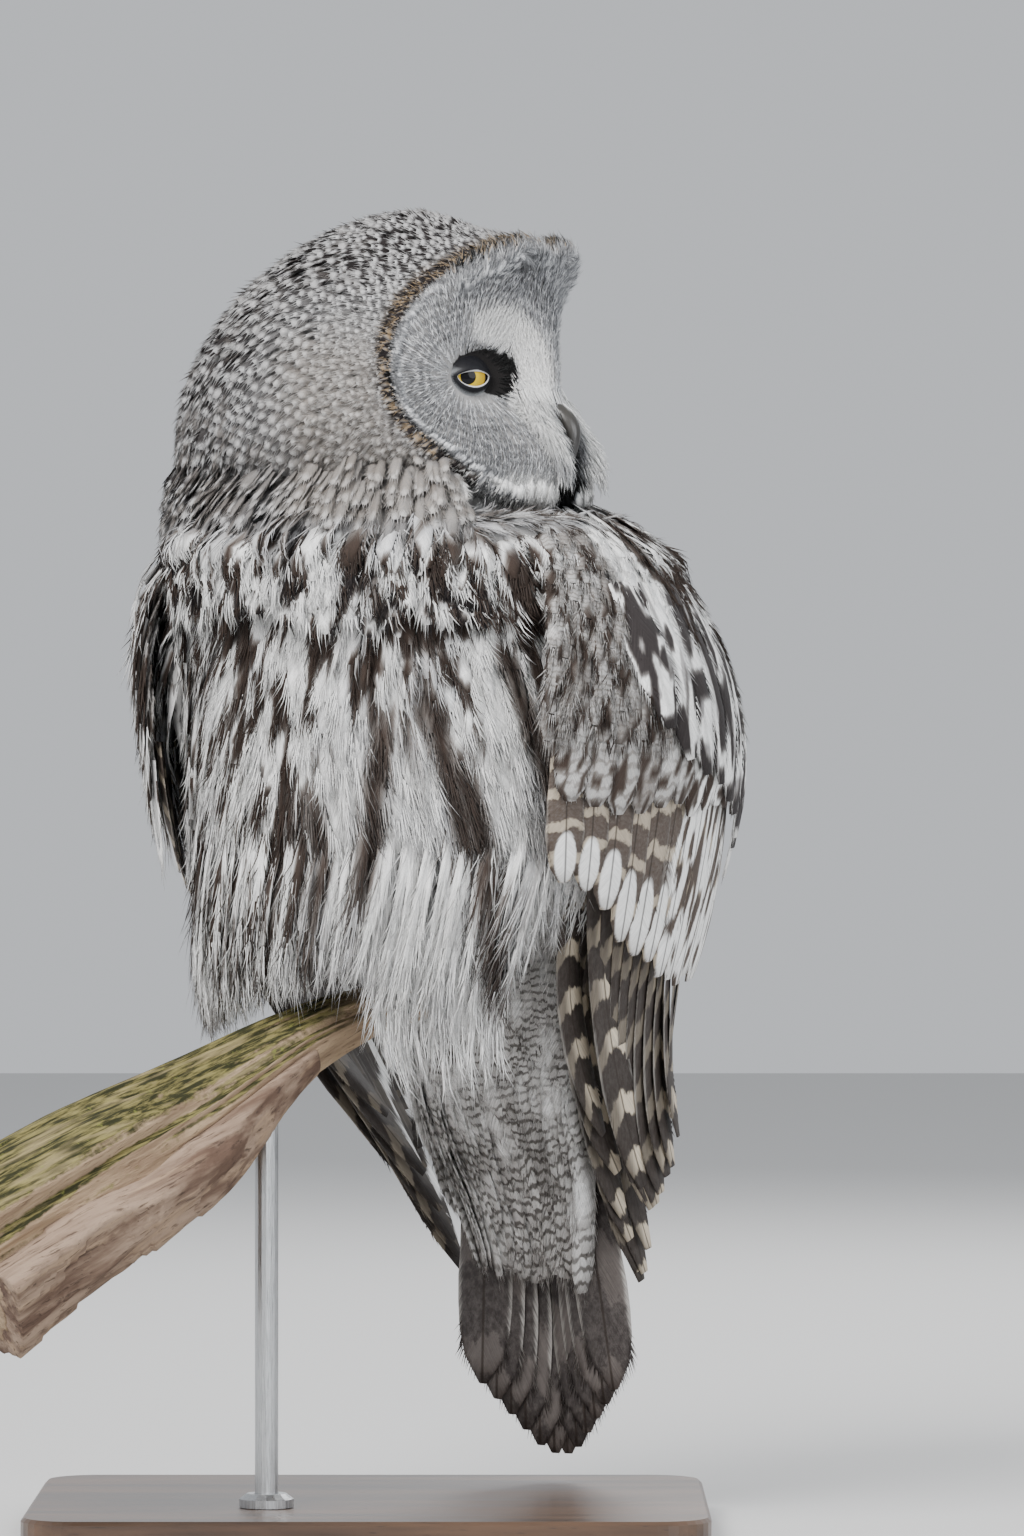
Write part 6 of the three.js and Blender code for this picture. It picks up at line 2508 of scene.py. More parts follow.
    def build(self, looks: Mapping[str, Material]) -> None:
        """Makes the wing's coat pieces.

        Args:
            looks: Materials of flight feathers, greater coverts, small coverts and scapulars.
        """
        seed = 70 + 40 * (self.sign < 0)
        flight = Coat(f"coat_wing_{self.side}_flight", seed)
        self.tier(flight, self.primaries, Quills.FLIGHT, self.flight_marks, (0.0, 0.0, 0.5, 1.0), seed + 1)
        self.tier(flight, self.secondaries, Quills.FLIGHT, self.flight_marks, (0.5, 0.0, 0.5, 1.0), seed + 5)
        piece = flight.build(looks["flight"], "flight_feathers")
        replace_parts(piece, f"wing_{self.side}_primaries", f"wing_{self.side}_secondaries")
        greater = Coat(f"coat_wing_{self.side}_greater", seed + 9)
        self.tier(greater, self.greater, Quills.COVERT, self.greater_marks, (0.0, 0.0, 1.0, 1.0), seed + 10)
        piece = greater.build(looks["greater"], "wing_coverts")
        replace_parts(piece, f"wing_{self.side}_coverts")
        small = Coat(f"coat_wing_{self.side}_small", seed + 14)
        self.tier(small, self.median, Quills.COVERT, self.covert_marks, (0.0, 0.0, 0.3, 0.4), seed + 15)
        self.small(small)
        piece = small.build(looks["small"], "wing_coverts")
        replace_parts(piece, f"wing_{self.side}_shoulder")
        loose = Coat(f"coat_wing_{self.side}_scapulars", seed + 19)
        self.tier(loose, self.scapulars, Quills.LOOSE, self.scapular_marks, (0.0, 0.0, 1.0, 1.0), seed + 20)
        loose.build(looks["scapulars"], "wing_coverts")


@dataclass
class TailCoat:
    """Tail feathers and the coverts over and under them."""

    rooting: Rooting
    feathers: int = 12
    root_z: float = 300 * MM
    tip_z: float = 32 * MM
    root_y: float = 68 * MM
    tip_y: float = 108 * MM
    sag: float = 6 * MM
    root_step: float = 3.6 * MM
    tip_step: float = 7.4 * MM
    width: float = 34 * MM
    layer: float = 2.2 * MM
    shortening: float = 8.1 * MM
    rounded: Sequence = (((0, 0.5), (0.25, 0.85), (0.55, 1.0), (0.8, 0.85), (0.97, 0.4)), 2, 0.07, 0.3)

    def plane(self, z: Array) -> Array:
        """Depth of the tail's plane at levels, in the body's frame."""
        share = (self.root_z - z) / (self.root_z - self.tip_z)
        return lerp(self.root_y, self.tip_y, share) + self.sag * np.sin(math.pi * np.clip(share, 0, 1))

    def lay(self, sets: Sequence[tuple[Array, Array]]) -> Lay:
        """Lays feathers through three rows of places and directions in the body's frame."""
        places, outs = zip(*sets)
        return self.rooting.free([ON_BODY.world(p) for p in places], [ON_BODY.turn(unit(o)) for o in outs])

    def tail(self, look: Material) -> None:
        """Lays the tail feathers.

        Args:
            look: Their material.
        """
        half = (self.feathers - 1) / 2
        place = np.arange(self.feathers) - half
        tip = self.tip_z + self.shortening * np.maximum(0, np.abs(place) - 1)
        depth = (half - np.abs(place) + np.where(place > 0, 0.5, 0)) * self.layer
        sets = []
        for t in (0, 0.5, 1):
            z = lerp(self.root_z - 6 * MM, tip, t)
            at = rows_of(place * lerp(self.root_step, self.tip_step, t), self.plane(z) + depth, z)
            sets.append((at, np.tile([0.0, -1.0, 0.1], (self.feathers, 1))))
        lay = self.lay(sets)
        coat = Coat("coat_tail", 150)
        for part in range(2):
            keep = np.arange(self.feathers) % 2 == part
            pattern = Quills.TAIL.pattern(34, 250, 151 + part)
            block = (0.5 * part, 0, 0.5, 1)
            coat.lay(pattern, lay.part(keep), self.width, 0, 0, WingCoat.plain, 0.8, 0.03, block)
        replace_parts(coat.build(look, "tail_feathers"), "tail")

    def under(self, look: Material) -> None:
        """Lays the undertail coverts.

        Args:
            look: Their material.
        """
        rng = draw(156)
        roots = []
        for row, z in enumerate(np.arange(306, 176, -8.5)):
            roots.append(rows_of(lerp(-1.35, 1.35, staggered(15 if z > 220 else 12, row)), z * MM))
        roots = np.concatenate(roots)
        roots += rng.normal(size=roots.shape) * (0.04, 1.5 * MM)
        length = lerp(
            36 * MM, 52 * MM, smooth(280 * MM, 190 * MM, roots[:, 1])
        ) * rng.uniform(0.75, 1.3, len(roots))
        sets = []
        for t in (0, 0.5, 1):
            z = roots[:, 1] - length * t
            angle = roots[:, 0] * (1 - 0.12 * t)
            size = UNDERTAIL.at(z)
            y = self.plane(z) - size["depth"] - 3 * MM
            out = rows_of(np.sin(angle), -np.cos(angle), 0.0)
            at = rows_of(size["half"] * 0.97 * np.sin(angle), y - size["depth"] * np.cos(angle), z)
            sets.append((at + out * lerp(-3 * MM, 1.8 * MM, t), out))
        coat = Coat("coat_undertail", 155)
        kinds = feathers(3, 157, (17, 42), self.rounded, (30, 6, 0.8, 0.3))
        coat.lay_mixed(kinds, self.lay(sets), 17 * MM, 0, 0, Markings.rear, 1.0, 0.15)
        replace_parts(coat.build(look, "body_plumage"), "undertail_coverts")

    def over(self, look: Material) -> None:
        """Lays the uppertail coverts and the feathers of the rump above them.

        Args:
            look: Their material.
        """
        rng = draw(161)
        roots = []
        for row, z in enumerate(np.arange(372, 250, -9)):
            roots.append(rows_of(lerp(-1, 1, staggered(9, row)), z * MM))
        roots = np.concatenate(roots)
        length = lerp(
            40 * MM, 54 * MM, smooth(330 * MM, 260 * MM, roots[:, 1])
        ) * rng.uniform(0.85, 1.1, len(roots))
        sets = []
        for t in (0, 0.5, 1):
            z = roots[:, 1] - length * t
            share = roots[:, 0] * (1 - 0.1 * t)
            out = rows_of(share * 0.35, 1.0, 0.1)
            at = rows_of(share * 42 * MM, self.plane(z) + 20 * MM + 5 * MM * (1 - share**2), z)
            sets.append((at + unit(out) * lerp(-1 * MM, 3 * MM, t), out))
        coat = Coat("coat_uppertail", 160)
        kinds = feathers(2, 162, (17, 46), self.rounded, (26, 6, 0.8, 0.3))
        coat.lay_mixed(kinds, self.lay(sets), 17 * MM, 0, 0, Markings.body, 1.0, 0.15)
        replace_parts(coat.build(look, "body_plumage"), "uppertail_coverts")

    def build(self, looks: Mapping[str, Material]) -> None:
        """Makes tail and coverts.

        Args:
            looks: Materials of the tail and of the coverts under and over it.
        """
        self.tail(looks["tail"])
        self.under(looks["under"])
        self.over(looks["over"])


@dataclass(frozen=True)
class EyeFinish:
    """Yellow iris round a dark pupil under a wet surface."""

    name: str
    middle: tuple[float, float, float]
    axis: tuple[float, float, float]
    pupil: float = 4.1 * MM
    iris: float = 9.4 * MM

    def make(self) -> Material:
        """Makes the material.

        Returns:
            The material.
        """
        graph = Graph(self.name, Coat_Weight=0.15, Coat_Roughness=0.04, Specular_IOR_Level=0.1)
        spoke = graph.vector("SUBTRACT", graph.place(), self.middle)
        deep = graph.vector("DOT_PRODUCT", spoke, self.axis, out="Value")
        long = graph.vector("LENGTH", spoke, out="Value")
        reach = (long * long - deep * deep).most(0.0) ** 0.5
        fibres = graph.noise(graph.vector("NORMALIZE", spoke), 60, 3, 0.7)
        colour = graph.mix(
            reach.step(self.pupil, self.iris, 0.0, 1.0), (0.62, 0.44, 0.02), (0.50, 0.32, 0.012)
        )
        colour = graph.mix(fibres.step(0.35, 0.7, 0.0, 0.35), colour, (0.35, 0.17, 0.01))
        colour = graph.mix(
            reach.step(self.pupil - 0.25 * MM, self.pupil + 0.15 * MM), (0.004, 0.004, 0.005), colour
        )
        colour = graph.mix(
            reach.step(self.iris - 0.5 * MM, self.iris + 0.3 * MM), colour, (0.010, 0.008, 0.008)
        )
        return graph.finish(colour, 0.12)


@dataclass(frozen=True)
class LidFinish:
    """Pale rim of the lids and black skin outside it."""

    name: str = "lid"

    def make(self) -> Material:
        """Makes the material.

        Returns:
            The material.
        """
        graph = Graph(self.name, Specular_IOR_Level=0.15)
        ring = graph.attribute("ring")[0]
        grain = graph.noise(graph.place(), 2500, 3)
        colour = graph.mix(
            (ring + (grain - 0.5) * 0.06).step(0.06, 0.12), (0.62, 0.62, 0.63), (0.008, 0.008, 0.010)
        )
        outside = (ring + (grain - 0.5) * 0.2).step(0.3, 0.5) * (1 - graph.attribute("mark")[0])
        colour = graph.mix(outside, colour, (0.26, 0.27, 0.28))
        return graph.finish(colour, grain.step(0.2, 0.8, 0.4, 0.6), grain, 0.1 * MM)


@dataclass(frozen=True)
class HornFinish:
    """Horn of bill or claw, with growth lines along Z."""

    name: str
    light: Colour
    dark: Colour
    low: float
    high: float

    def make(self) -> Material:
        """Makes the material.

        Returns:
            The material.
        """
        graph = Graph(self.name, Coat_Weight=0.3, Coat_Roughness=0.25)
        place = graph.place()
        lines = graph.noise(graph.stretched(place, (1, 1, 0.25)), 1800, 3)
        _, _, z = graph.split(place)
        share = (z + (lines - 0.5) * 4 * MM).step(self.low, self.high)
        colour = graph.mix(share, self.dark, self.light)
        colour = graph.mix(lines.step(0.3, 0.75, 0.0, 0.3), colour, self.dark)
        return graph.finish(colour, lines.step(0.2, 0.8, 0.28, 0.45), lines, 0.08 * MM)


@dataclass(frozen=True)
class BranchFinish:
    """Weathered branch: moss on top, bare fawn wood near its end and flaking bark beneath."""

    name: str
    bark: bool = False
    axes: tuple[tuple[float, float, float], ...] = (
        (-0.81, -0.41, -0.41), (-0.45, 0.89, 0.0), (-0.37, -0.19, 0.91)
    )

    def make(self) -> Material:
        """Makes the material.

        Returns:
            The material.
        """
        graph = Graph(self.name, Specular_IOR_Level=0.2)
        place = graph.place()
        lengths = [graph.vector("DOT_PRODUCT", place, axis, out="Value") for axis in self.axes]
        turned = graph.join(lengths[0] * 0.12, lengths[1], lengths[2])
        fibres = graph.noise(turned, 420, 4, 0.65)
        broad = graph.noise(turned, 110, 3, 0.6)
        flakes = graph.noise(place, 160, 4, 0.6)
        _, _, up = graph.split(graph.add("ShaderNodeNewGeometry", out="Normal"))
        x, _, _ = graph.split(place)
        if self.bark:
            plates = graph.noise(turned, 70, 5, 0.6)
            colour = graph.mix(plates.step(0.38, 0.62), (0.115, 0.072, 0.052), (0.31, 0.225, 0.165))
            colour = graph.mix(broad.step(0.52, 0.66, 0.0, 0.7), colour, (0.38, 0.27, 0.18))
            colour = graph.mix(fibres.step(0.54, 0.68, 0.0, 0.8), colour, (0.05, 0.032, 0.025))
            return graph.finish(
                colour, flakes.step(0.2, 0.8, 0.8, 0.95), flakes * 0.6 + fibres * 0.4, 1.6 * MM
            )
        wood = graph.mix(broad.step(0.3, 0.7), (0.20, 0.135, 0.088), (0.42, 0.31, 0.20))
        wood = graph.mix(fibres.step(0.56, 0.72, 0.0, 0.85), wood, (0.055, 0.035, 0.024))
        moss = graph.mix(fibres.step(0.40, 0.66), (0.024, 0.025, 0.010), (0.215, 0.185, 0.070))
        moss = graph.mix(broad.step(0.54, 0.70, 0.0, 0.6), moss, (0.33, 0.265, 0.14))
        moss = graph.mix(flakes.step(0.62, 0.74, 0.0, 0.7), moss, (0.20, 0.22, 0.05))
        where = (
            up + (flakes - 0.5) * 0.9 + (broad - 0.5) * 0.8
        ).step(0.05, 0.45) * x.step(-0.03, 0.01, 1.0, 0.0)
        colour = graph.mix(where, wood, moss)
        return graph.finish(colour, flakes.step(0.2, 0.8, 0.78, 0.95), fibres * 0.8 + flakes * 0.2, 2.4 * MM)


@dataclass(frozen=True)
class WoodFinish:
    """Dark polished wood of the base."""

    name: str = "base_walnut"

    def make(self) -> Material:
        """Makes the material.

        Returns:
            The material.
        """
        graph = Graph(self.name, Coat_Weight=0.35, Coat_Roughness=0.2)
        place = graph.stretched(graph.place(), (0.08, 1, 1))
        figure = graph.noise(place, 45, 4, 0.6)
        pores = graph.noise(place, 900, 2, 0.7)
        colour = graph.mix(figure.step(0.3, 0.7), (0.030, 0.016, 0.009), (0.105, 0.056, 0.030))
        colour = graph.mix(pores.step(0.6, 0.75, 0.0, 0.6), colour, (0.012, 0.007, 0.004))
        return graph.finish(colour, figure.step(0.2, 0.8, 0.30, 0.42), pores, 0.1 * MM)


@dataclass(frozen=True)
class SteelFinish:
    """Brushed steel of rod and collar."""

    name: str = "rod_steel"

    def make(self) -> Material:
        """Makes the material.

        Returns:
            The material.
        """
        graph = Graph(self.name, Metallic=1.0)
        brushed = graph.noise(graph.stretched(graph.place(), (1, 1, 0.03)), 2600, 2, 0.6)
        colour = graph.mix(brushed.step(0.3, 0.7), (0.42, 0.43, 0.44), (0.62, 0.63, 0.64))
        return graph.finish(colour, brushed.step(0.2, 0.8, 0.24, 0.4), brushed, 0.03 * MM)


@dataclass
class Face:
    """Eyes, lids and bill."""

    nodes: dict[str, bpy.types.Object]
    gaze: float = math.radians(52)
    lid_wide: float = 8.6 * MM
    lid_above: float = 2.4 * MM
    lid_below: float = 5.0 * MM
    lid_outer: float = 17 * MM

    def frame(self, sign: int) -> tuple[Vector, Matrix]:
        """An eye's middle and the frame that looks out along its z axis, in the model's frame.

        Args:
            sign: 1 for the left eye, -1 for the right.

        Returns:
            The middle and the frame, in the model's frame.
        """
        head = ON_HEAD.matrix
        middle = head @ HEAD.eye_middle(sign)
        axis = (head.to_3x3() @ HEAD.eye_axis(sign)).normalized()
        across = Vector((0, 0, 1)).cross(axis).normalized()
        upward = axis.cross(across)
        return middle, Matrix((across, upward, axis)).transposed()

    def eye(self, side: str, sign: int) -> None:
        """Makes an eyeball with a bulging front.

        Args:
            side: Side that names it.
            sign: 1 for the left, -1 for the right.
        """
        middle, frame = self.frame(sign)

        def place(angle: Array, share: Array) -> Array:
            """Points of the ball.

            Args:
                angle: Angles round the form.
                share: Shares of the way from its first pole to its last.

            Returns:
                Rows of points in the model's frame.
            """
            turn = share * math.pi
            radius = (HEAD.eye_radius - 0.3 * MM) * (1 + 0.03 * bell(turn, 0, 0.8))
            flat = np.where(turn > 2.0, 0.45, 1.0)
            local = rows_of(np.sin(turn) * np.cos(angle), np.sin(turn) * np.sin(angle), np.cos(turn) * flat)
            return (local * radius[:, None]) @ np.array(frame).T + np.array(middle)

        gaze = ON_HEAD.matrix.to_3x3() @ Vector((sign * math.sin(self.gaze), -math.cos(self.gaze), -0.02))
        look = EyeFinish(f"iris_{side}", tuple(middle), tuple(gaze.normalized())).make()
        piece = Sculpt.object_of(Sculpt.ball(48, 32, place), f"eyeball_{side}", look)
        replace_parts(piece, f"eye_{side}")
        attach(piece, "root")

    def lid(self, side: str, sign: int, look: Material) -> None:
        """Makes both lids of an eye as one rolled ring round its almond opening.

        Args:
            side: Side that names them.
            sign: 1 for the left, -1 for the right.
            look: Their material.
        """
        middle, frame = self.frame(sign)
        turned = np.array(frame)
        form = bmesh.new()
        layer = form.verts.layers.float_vector.new("ring")
        around = 72
        made = bmesh.ops.create_circle(form, segments=around, radius=1)
        loop = sorted(made["verts"], key=lambda v: math.atan2(v.co.y, v.co.x))
        turns = [math.atan2(v.co.y, v.co.x) for v in loop]
        edges = list(form.edges)
        rows = (0.0, 0.04, 0.1, 0.18, 0.3, 0.5, 0.75, 1.0)
        radius = HEAD.eye_radius
        for r, share in enumerate(rows):
            if r:
                made = bmesh.ops.extrude_edge_only(form, edges=edges)
                edges = [e for e in made["geom"] if isinstance(e, bmesh.types.BMEdge)]
                loop = [v for v in made["geom"] if isinstance(v, bmesh.types.BMVert)]
                loop = sorted(loop, key=lambda v: self.turn_of(v, turned, middle))
            for vert, turn in zip(loop, turns):
                vert.co = self.lid_point(turn, share, radius, turned, middle)
                vert[layer] = (share, 0, 0)
        bmesh.ops.recalc_face_normals(form, faces=form.faces)
        piece = Sculpt.object_of(form, f"lids_{side}", look)
        self.face_out(piece, frame.col[2])
        thick = piece.modifiers.new("thickness", "SOLIDIFY")
        thick.thickness, thick.offset = 0.8 * MM, -1
        Sculpt.apply(piece)
        piece.data.materials.clear()
        piece.data.materials.append(look)
        mark(piece, Markings.head)
        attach(piece, "root")

    @staticmethod
    def turn_of(vert: bmesh.types.BMVert, frame: Array, middle: Vector) -> float:
        """Angle of a point of the lids round the eye's axis, measured on the almond's own scale."""
        local = (np.array(vert.co) - np.array(middle)) @ frame
        return math.atan2(local[1], local[0])

    def lid_point(self, turn: float, share: float, radius: float, frame: Array, middle: Vector) -> Array:
        """A point of the lids.

        Args:
            turn: Angle round the eye's axis.
            share: Share of the way from the opening to the outer edge.
            radius: Radius of the eyeball.
            frame: Frame of the eye.
            middle: Middle of the eyeball.

        Returns:
            The point in the model's frame.
        """
        tall = self.lid_above if math.sin(turn) > 0 else self.lid_below
        x = self.lid_wide * math.cos(turn)
        y = tall * math.copysign(abs(math.sin(turn)) ** 1.15, math.sin(turn))
        inner = math.hypot(x, y)
        angle = math.atan2(y, x)
        reach = lerp(inner, self.lid_outer, share**1.2)
        roll = 1 if math.sin(turn) > 0 else 0.7
        lift = 0.5 * MM + 1.5 * MM * math.sin(math.pi * min(share * 2.2, 1)) * roll
        ball = radius + lift
        seam = ball * 0.93
        deep = math.sqrt(max(ball**2 - reach**2, 0)) if reach < seam else ball * 0.3676 - (reach - seam) * 0.9
        local = np.array([math.cos(angle) * reach, math.sin(angle) * reach, deep])
        return local @ frame.T + np.array(middle)

    @staticmethod
    def face_out(piece: bpy.types.Object, axis: Vector) -> None:
        """Turns a sheet's faces to look along an axis.

        Args:
            piece: The sheet.
            axis: The axis.
        """
        mesh = piece.data
        total = sum((p.normal * p.area for p in mesh.polygons), Vector())
        if total.dot(axis) < 0:
            mesh.flip_normals()

    def bill(self, look: Material) -> None:
        """Makes the two halves of the bill from rounded copies of their solids.

        Args:
            look: Its material.
        """
        for half in ("bill_upper", "bill_lower"):
            piece = Face.rounded(self.nodes[half], f"{half}_horn", look, 2)
            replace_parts(piece, half)
            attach(piece, "root")

    @staticmethod
    def rounded(node: bpy.types.Object, name: str, look: Material, levels: int) -> bpy.types.Object:
        """A rounded copy of a node.

        Args:
            node: The CAD node.
            name: Name of the copy.
            look: Its material.
            levels: Levels of subdivision.

        Returns:
            The copy.
        """
        piece = Sculpt.object_of(Sculpt.copy_of(node), name, look)
        finer = piece.modifiers.new("rounding", "SUBSURF")
        finer.levels = finer.render_levels = levels
        Sculpt.apply(piece)
        return piece


@dataclass
class Claws:
    """The eight claws."""

    nodes: dict[str, bpy.types.Object]

    def build(self, look: Material) -> None:
        """Makes rounded claws.

        Args:
            look: Their material.
        """
        for name in sorted(n for n in self.nodes if n.startswith("claw_")):
            piece = Face.rounded(self.nodes[name], f"{name}_horn", look, 1)
            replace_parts(piece, name)
            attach(piece, "root")


@dataclass
class Branch:
    """The cut branch and its hanging bark, finer than their solids and in their place."""

    path: tuple[tuple[float, float, float, float], ...] = (
        (62, 2, 285, 12.5),
        (30, -10, 280, 13),
        (0, -25, 271, 14),
        (-36, -45, 256, 20),
        (-88, -72, 222, 32),
        (-140, -100, 192, 41),
        (-206, -135, 150, 48),
    )

    def middle(self, share: Array) -> tuple[Array, Array, Array]:
        """Middle line of the branch.

        Args:
            share: Shares of the way from its thin end.

        Returns:
            Points, directions along it and radii.
        """
        table = np.array(self.path) * MM
        place = np.clip(share, 0, 1) * (len(table) - 1)
        i = np.minimum(place.astype(int), len(table) - 2)
        t = (place - i)[:, None]
        a, b = table[i], table[i + 1]
        before, after = table[np.maximum(i - 1, 0)], table[np.minimum(i + 2, len(table) - 1)]
        m0, m1 = (b - before) / 2, (after - a) / 2
        t2, t3 = t * t, t * t * t
        point = (2 * t3 - 3 * t2 + 1) * a + (t3 - 2 * t2 + t) * m0 + (3 * t2 - 2 * t3) * b + (t3 - t2) * m1
        slope = (6 * t2 - 6 * t) * a + (3 * t2 - 4 * t + 1) * m0
        slope = slope + (6 * t - 6 * t2) * b + (3 * t2 - 2 * t) * m1
        radius = lerp(a[:, 3], b[:, 3], t[:, 0])
        return point[:, :3], unit(slope[:, :3]), radius

    def surface(
        self,
        angle: Array,
        share: Array,
        radius: Callable[[Array, Array, Array], Array],
        start: float,
        end: float,
    ) -> Array:
        """Points round the branch.

        Args:
            angle: Angles round it from its upper side.
            share: Shares of the form's own rows, whose ends close it.
            radius: Gives the reach from place along, angle and plain radius.
            start: Share of the branch where the form starts.
            end: Share where it ends.

        Returns:
            Rows of points.
        """
        cap = 0.06
        t = np.clip((share - cap) / (1 - 2 * cap), 0, 1)
        close = np.clip(np.minimum(share, 1 - share) / cap, 0, 1)
        along = lerp(start, end, t)
        point, ahead, plain = self.middle(along)
        across = unit(np.cross(np.array([0, 0, 1.0]), ahead))
        lift = np.cross(ahead, across)
        reach = radius(along, angle, plain) * close
        return point + across * (reach * np.sin(angle))[:, None] + lift * (reach * np.cos(angle))[:, None]

    @staticmethod
    def wood(along: Array, angle: Array, plain: Array) -> Array:
        """Reach of the grooved wood.

        Args:
            along: Shares of the branch.
            angle: Angles round it.
            plain: Plain radii.

        Returns:
            The reaches from its middle.
        """
        groove = 0.05 * (1 + np.sin(3 * angle + 2 * along)) + 0.035 * (1 + np.sin(7 * angle - 3 * along))
        x, y = np.cos(angle), np.sin(angle)
        ring = rows_of(x * 5, y * 5, along * 2.2)
        fine = CLOUDS.at(ring, (0.5, 0.5, 0.35)) - 0.5
        crack = smooth(0.62, 0.74, CLOUDS.at(ring + 3.1, (0.9, 0.9, 1.1)))
        crack = crack + 0.6 * smooth(0.6, 0.7, CLOUDS.at(ring + 7.7, (0.33, 0.33, 0.5)))
        return plain * (1.0 - groove + 0.05 * fine - 0.075 * crack)

    @staticmethod
    def bark(along: Array, angle: Array, plain: Array) -> Array:
        """Reach of the bark that hangs under the branch.

        Args:
            along: Shares of the branch.
            angle: Angles round it.
            plain: Plain radii.

        Returns:
            The reaches from its middle.
        """
        under = np.abs(np.abs(angle) - math.pi)
        ring = rows_of(np.cos(angle) * 5, np.sin(angle) * 5, along * 9)
        flake = CLOUDS.at(ring, (1.1, 1.1, 0.8))
        plates = np.floor(flake * 7) / 7
        fine = CLOUDS.at(ring + 5.5, (0.4, 0.4, 0.3)) - 0.5
        thick = 13 * MM * smooth(0.5, 0.75, along) * (0.45 + 0.8 * plates + 0.25 * fine)
        edge = smooth(0, 0.22, 1.5 + 0.35 * (flake - 0.5) - under)
        return np.where(
            edge > 0, plain * 0.93 + (thick + 1 * MM) * edge, plain * 0.6
        ) - (1 - edge) * plain * 0.1

    def build(self, wood: Material, bark: Material) -> None:
        """Makes branch and bark.

        Args:
            wood: Material of the branch.
            bark: Material of the bark.
        """
        tube = Sculpt.ball(150, 260, lambda a, s: self.surface(a, s, self.wood, 0, 1))
        piece = Sculpt.object_of(tube, "branch", wood)
        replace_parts(piece, "perch")
        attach(piece, "root")
        slab = Sculpt.ball(120, 170, lambda a, s: self.surface(a, s, self.bark, 0.5, 0.998))
        piece = Sculpt.object_of(slab, "branch_bark", bark)
        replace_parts(piece, "perch_bark")
        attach(piece, "root")


@dataclass
class Studio:
    """Floor, lights and camera."""

    middle_x: float = 73.8 * MM
    middle_z: float = 397 * MM
    distance: float = 3.99
    lens: float = 180.0
    sensor: float = 36.0

    def floor(self) -> None:
        """Lays the plain pale floor."""
        form = bmesh.new()
        bmesh.ops.create_grid(form, x_segments=2, y_segments=2, size=6)
        graph = Graph("floor_paper")
        grain = graph.noise(graph.place(), 300, 2)
        look = graph.finish(graph.mix(grain, (0.55, 0.55, 0.55), (0.57, 0.57, 0.565)), 0.9)
        Sculpt.object_of(form, "floor", look, False)

    def light(
        self,
        name: str,
        place: Sequence[float],
        size: float,
        power: float,
        colour: Colour = (1, 1, 1),
    ) -> None:
        """Sets a soft light that looks at the bird.

        Args:
            name: Its name.
            place: Its place.
            size: Its width.
            power: Its power in watts.
            colour: Its colour.
        """
        lamp = bpy.data.lights.new(name, "AREA")
        lamp.shape, lamp.size, lamp.energy, lamp.color = "DISK", size, power, colour
        made = bpy.data.objects.new(name, lamp)
        made.location = place
        made.rotation_euler = (Vector((0.03, 0, 0.4)) - Vector(place)).to_track_quat("-Z", "Y").to_euler()
        bpy.context.scene.collection.objects.link(made)

    def camera(self) -> None:
        """Sets the camera at the photograph's view."""
        data = bpy.data.cameras.new("view")
        data.lens, data.sensor_width, data.sensor_fit = self.lens, self.sensor, "AUTO"
        made = bpy.data.objects.new("view", data)
        made.location = (self.middle_x, -self.distance, self.middle_z)
        made.rotation_euler = (math.radians(90), 0, 0)
        bpy.context.scene.collection.objects.link(made)
        bpy.context.scene.camera = made

    def build(self) -> None:
        """Makes the whole studio."""
        self.floor()
        self.light("key", (-1.3, -2.0, 2.3), 1.6, 150, (1.0, 0.98, 0.96))
        self.light("fill", (1.8, -2.2, 1.2), 2.2, 52, (0.96, 0.98, 1.0))
        self.light("rear", (0.6, 2.0, 2.0), 2.0, 60)
        world = bpy.data.worlds.new("room")
        bpy.context.scene.world = world
        world.use_nodes = True
        back = next(n for n in world.node_tree.nodes if n.type == "BACKGROUND")
        back.inputs["Color"].default_value = (0.62, 0.64, 0.67, 1)
        back.inputs["Strength"].default_value = 1.0
        self.camera()


def mark(piece: bpy.types.Object, marker: Marker) -> None:
    """Gives the points of a piece the coat's own markings.

    Args:
        piece: The piece.
        marker: Gives the markings at points.
    """
    mesh = piece.data
    points = np.zeros(len(mesh.vertices) * 3)
    mesh.vertices.foreach_get("co", points)
    marks = marker(points.reshape(-1, 3))
    layer = mesh.attributes.new("mark", "FLOAT_VECTOR", "POINT")
    layer.data.foreach_set("vector", marks.astype(np.float32).ravel())


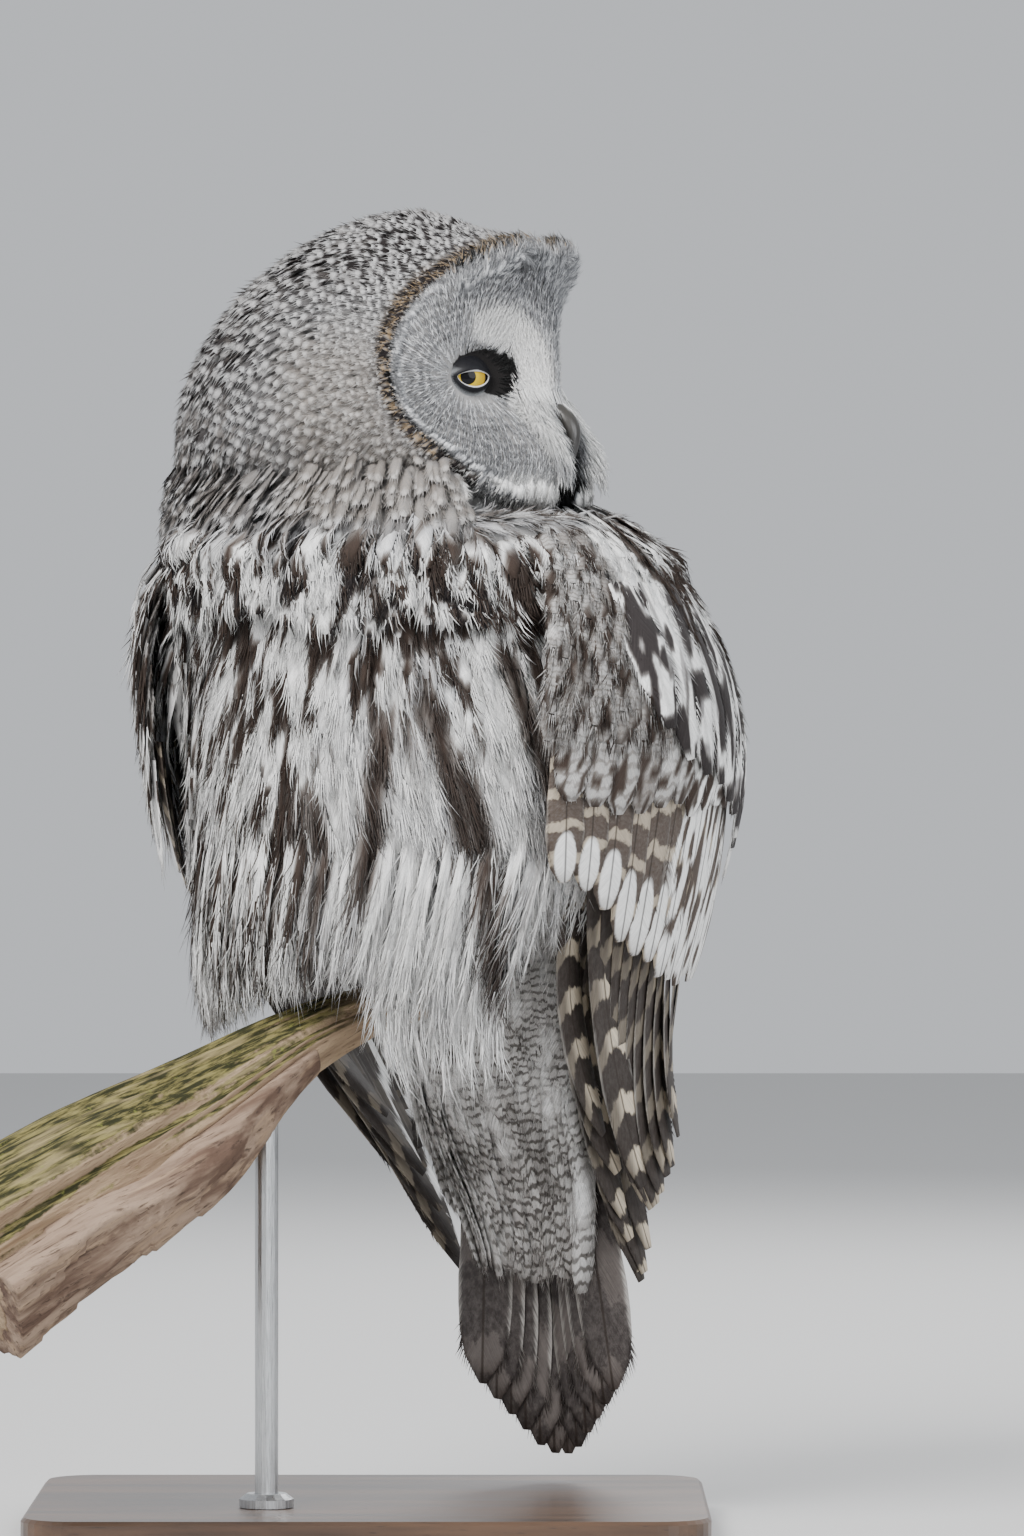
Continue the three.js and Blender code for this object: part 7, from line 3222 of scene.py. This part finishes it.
def main() -> None:
    """Builds the owl, its branch and stand, and the studio."""
    logging.basicConfig(level=logging.INFO, format="%(message)s")
    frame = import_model()
    nodes = frame["nodes"]
    Studio().build()
    skin = Skin(nodes)
    skin.build(SkinFinish().make())
    mark(skin.piece, Markings.skin)
    LOG.info("skin: %d faces", len(skin.piece.data.polygons))
    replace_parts(skin.piece, "torso", "neck", "head", "leg_left", "leg_right", "foot_left", "foot_right")
    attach(skin.piece, "root")
    rooting = Rooting(skin)
    head = HeadCoat(rooting)
    cap = PlumageFinish(
        "cap_feathers", light=(0.62, 0.62, 0.625), dark=(0.022, 0.018, 0.018), scallop=1.0, scallop_from=0.6
    ).make()
    head.cap(cap)
    bristle = PlumageFinish(
        "disc_bristles",
        light=(0.74, 0.75, 0.77),
        shade=(0.23, 0.235, 0.245),
        dark=(0.004, 0.004, 0.004),
        strand=25.0,
        spread=0.8,
    ).make()
    head.disc(bristle)
    head.rim(bristle)
    body = BodyCoat(rooting)
    breast = PlumageFinish(
        "breast_feathers", light=(0.66, 0.665, 0.68), shade=(0.19, 0.172, 0.16), shaft=0.25, spread=0.62
    ).make()
    body.collar(head.cap_rows(), cap)
    body.neck(breast)
    body.breast(breast)
    body.belly(breast)
    body.mantle(breast)
    body.legs(PlumageFinish("leg_feathers", light=(0.50, 0.48, 0.46), shade=(0.22, 0.20, 0.18)).make())
    flight = QuillFinish(
        "flight_vanes",
        (0.034, 0.026, 0.022),
        (0.60, 0.52, 0.40),
        bars=7,
        bar_share=0.3,
        inner_only=0.8,
        edge_strength=0.35,
        mottle=0.2,
    )
    wing = {
        "flight": flight.make(),
        "greater": QuillFinish(
            "greater_coverts",
            (0.075, 0.055, 0.043),
            bars=4.5,
            bar_share=0.22,
            tip=1.0,
            mottle=0.5,
            edge_strength=0.3,
        ).make(),
        "small": PlumageFinish(
            "small_coverts",
            light=(0.46, 0.455, 0.45),
            shade=(0.12, 0.105, 0.095),
            vermiculation=0.6,
            spread=0.6,
        ).make(),
        "scapulars": PlumageFinish(
            "scapular_webs",
            light=(0.45, 0.44, 0.44),
            shade=(0.15, 0.14, 0.135),
            dark=(0.035, 0.030, 0.030),
            shaft=0.7,
        ).make(),
    }
    WingCoat(rooting, 1, "left").build(wing)
    # The far wing's flight feathers take a copy with faint bars and edges, so they read darker overall:
    # painted shade for the far wing, which lies in shadow.
    wing["flight"] = replace(flight, name="far_flight_vanes_painted_shade", bar_strength=0.3, edge_strength=0.1).make()
    right = WingCoat(rooting, -1, "right")
    right.build(wing)
    right.flank(breast)
    tail = {
        "tail": QuillFinish(
            "tail_vanes",
            (0.042, 0.035, 0.034),
            (0.16, 0.14, 0.13),
            bars=3,
            bar_strength=0.6,
            edge_strength=0.65,
            mottle=0.5,
        ).make(),
        "under": PlumageFinish(
            "undertail_down",
            light=(0.66, 0.65, 0.635),
            shade=(0.10, 0.09, 0.082),
            vermiculation=0.9,
            waves=8.0,
            shaft=0.1,
            spread=0.3,
        ).make(),
        "over": breast,
    }
    TailCoat(rooting).build(tail)
    face = Face(nodes)
    lid = LidFinish().make()
    for side, sign in (("left", 1), ("right", -1)):
        face.eye(side, sign)
        face.lid(side, sign, lid)
    face.bill(HornFinish("bill_horn", (0.038, 0.035, 0.030), (0.02, 0.02, 0.022), 0.545, 0.58).make())
    Claws(nodes).build(HornFinish("claw_horn", (0.05, 0.045, 0.042), (0.012, 0.011, 0.011), 0.25, 0.3).make())
    Branch().build(BranchFinish("branch_moss").make(), BranchFinish("branch_flakes", True).make())
    stand = {"stand_base": WoodFinish().make(), "stand_rod": SteelFinish().make()}
    stand["stand_collar"] = stand["stand_rod"]
    for name, look in stand.items():
        for spot in nodes[name].material_slots:
            spot.material = look


if __name__ == "__main__":
    main()
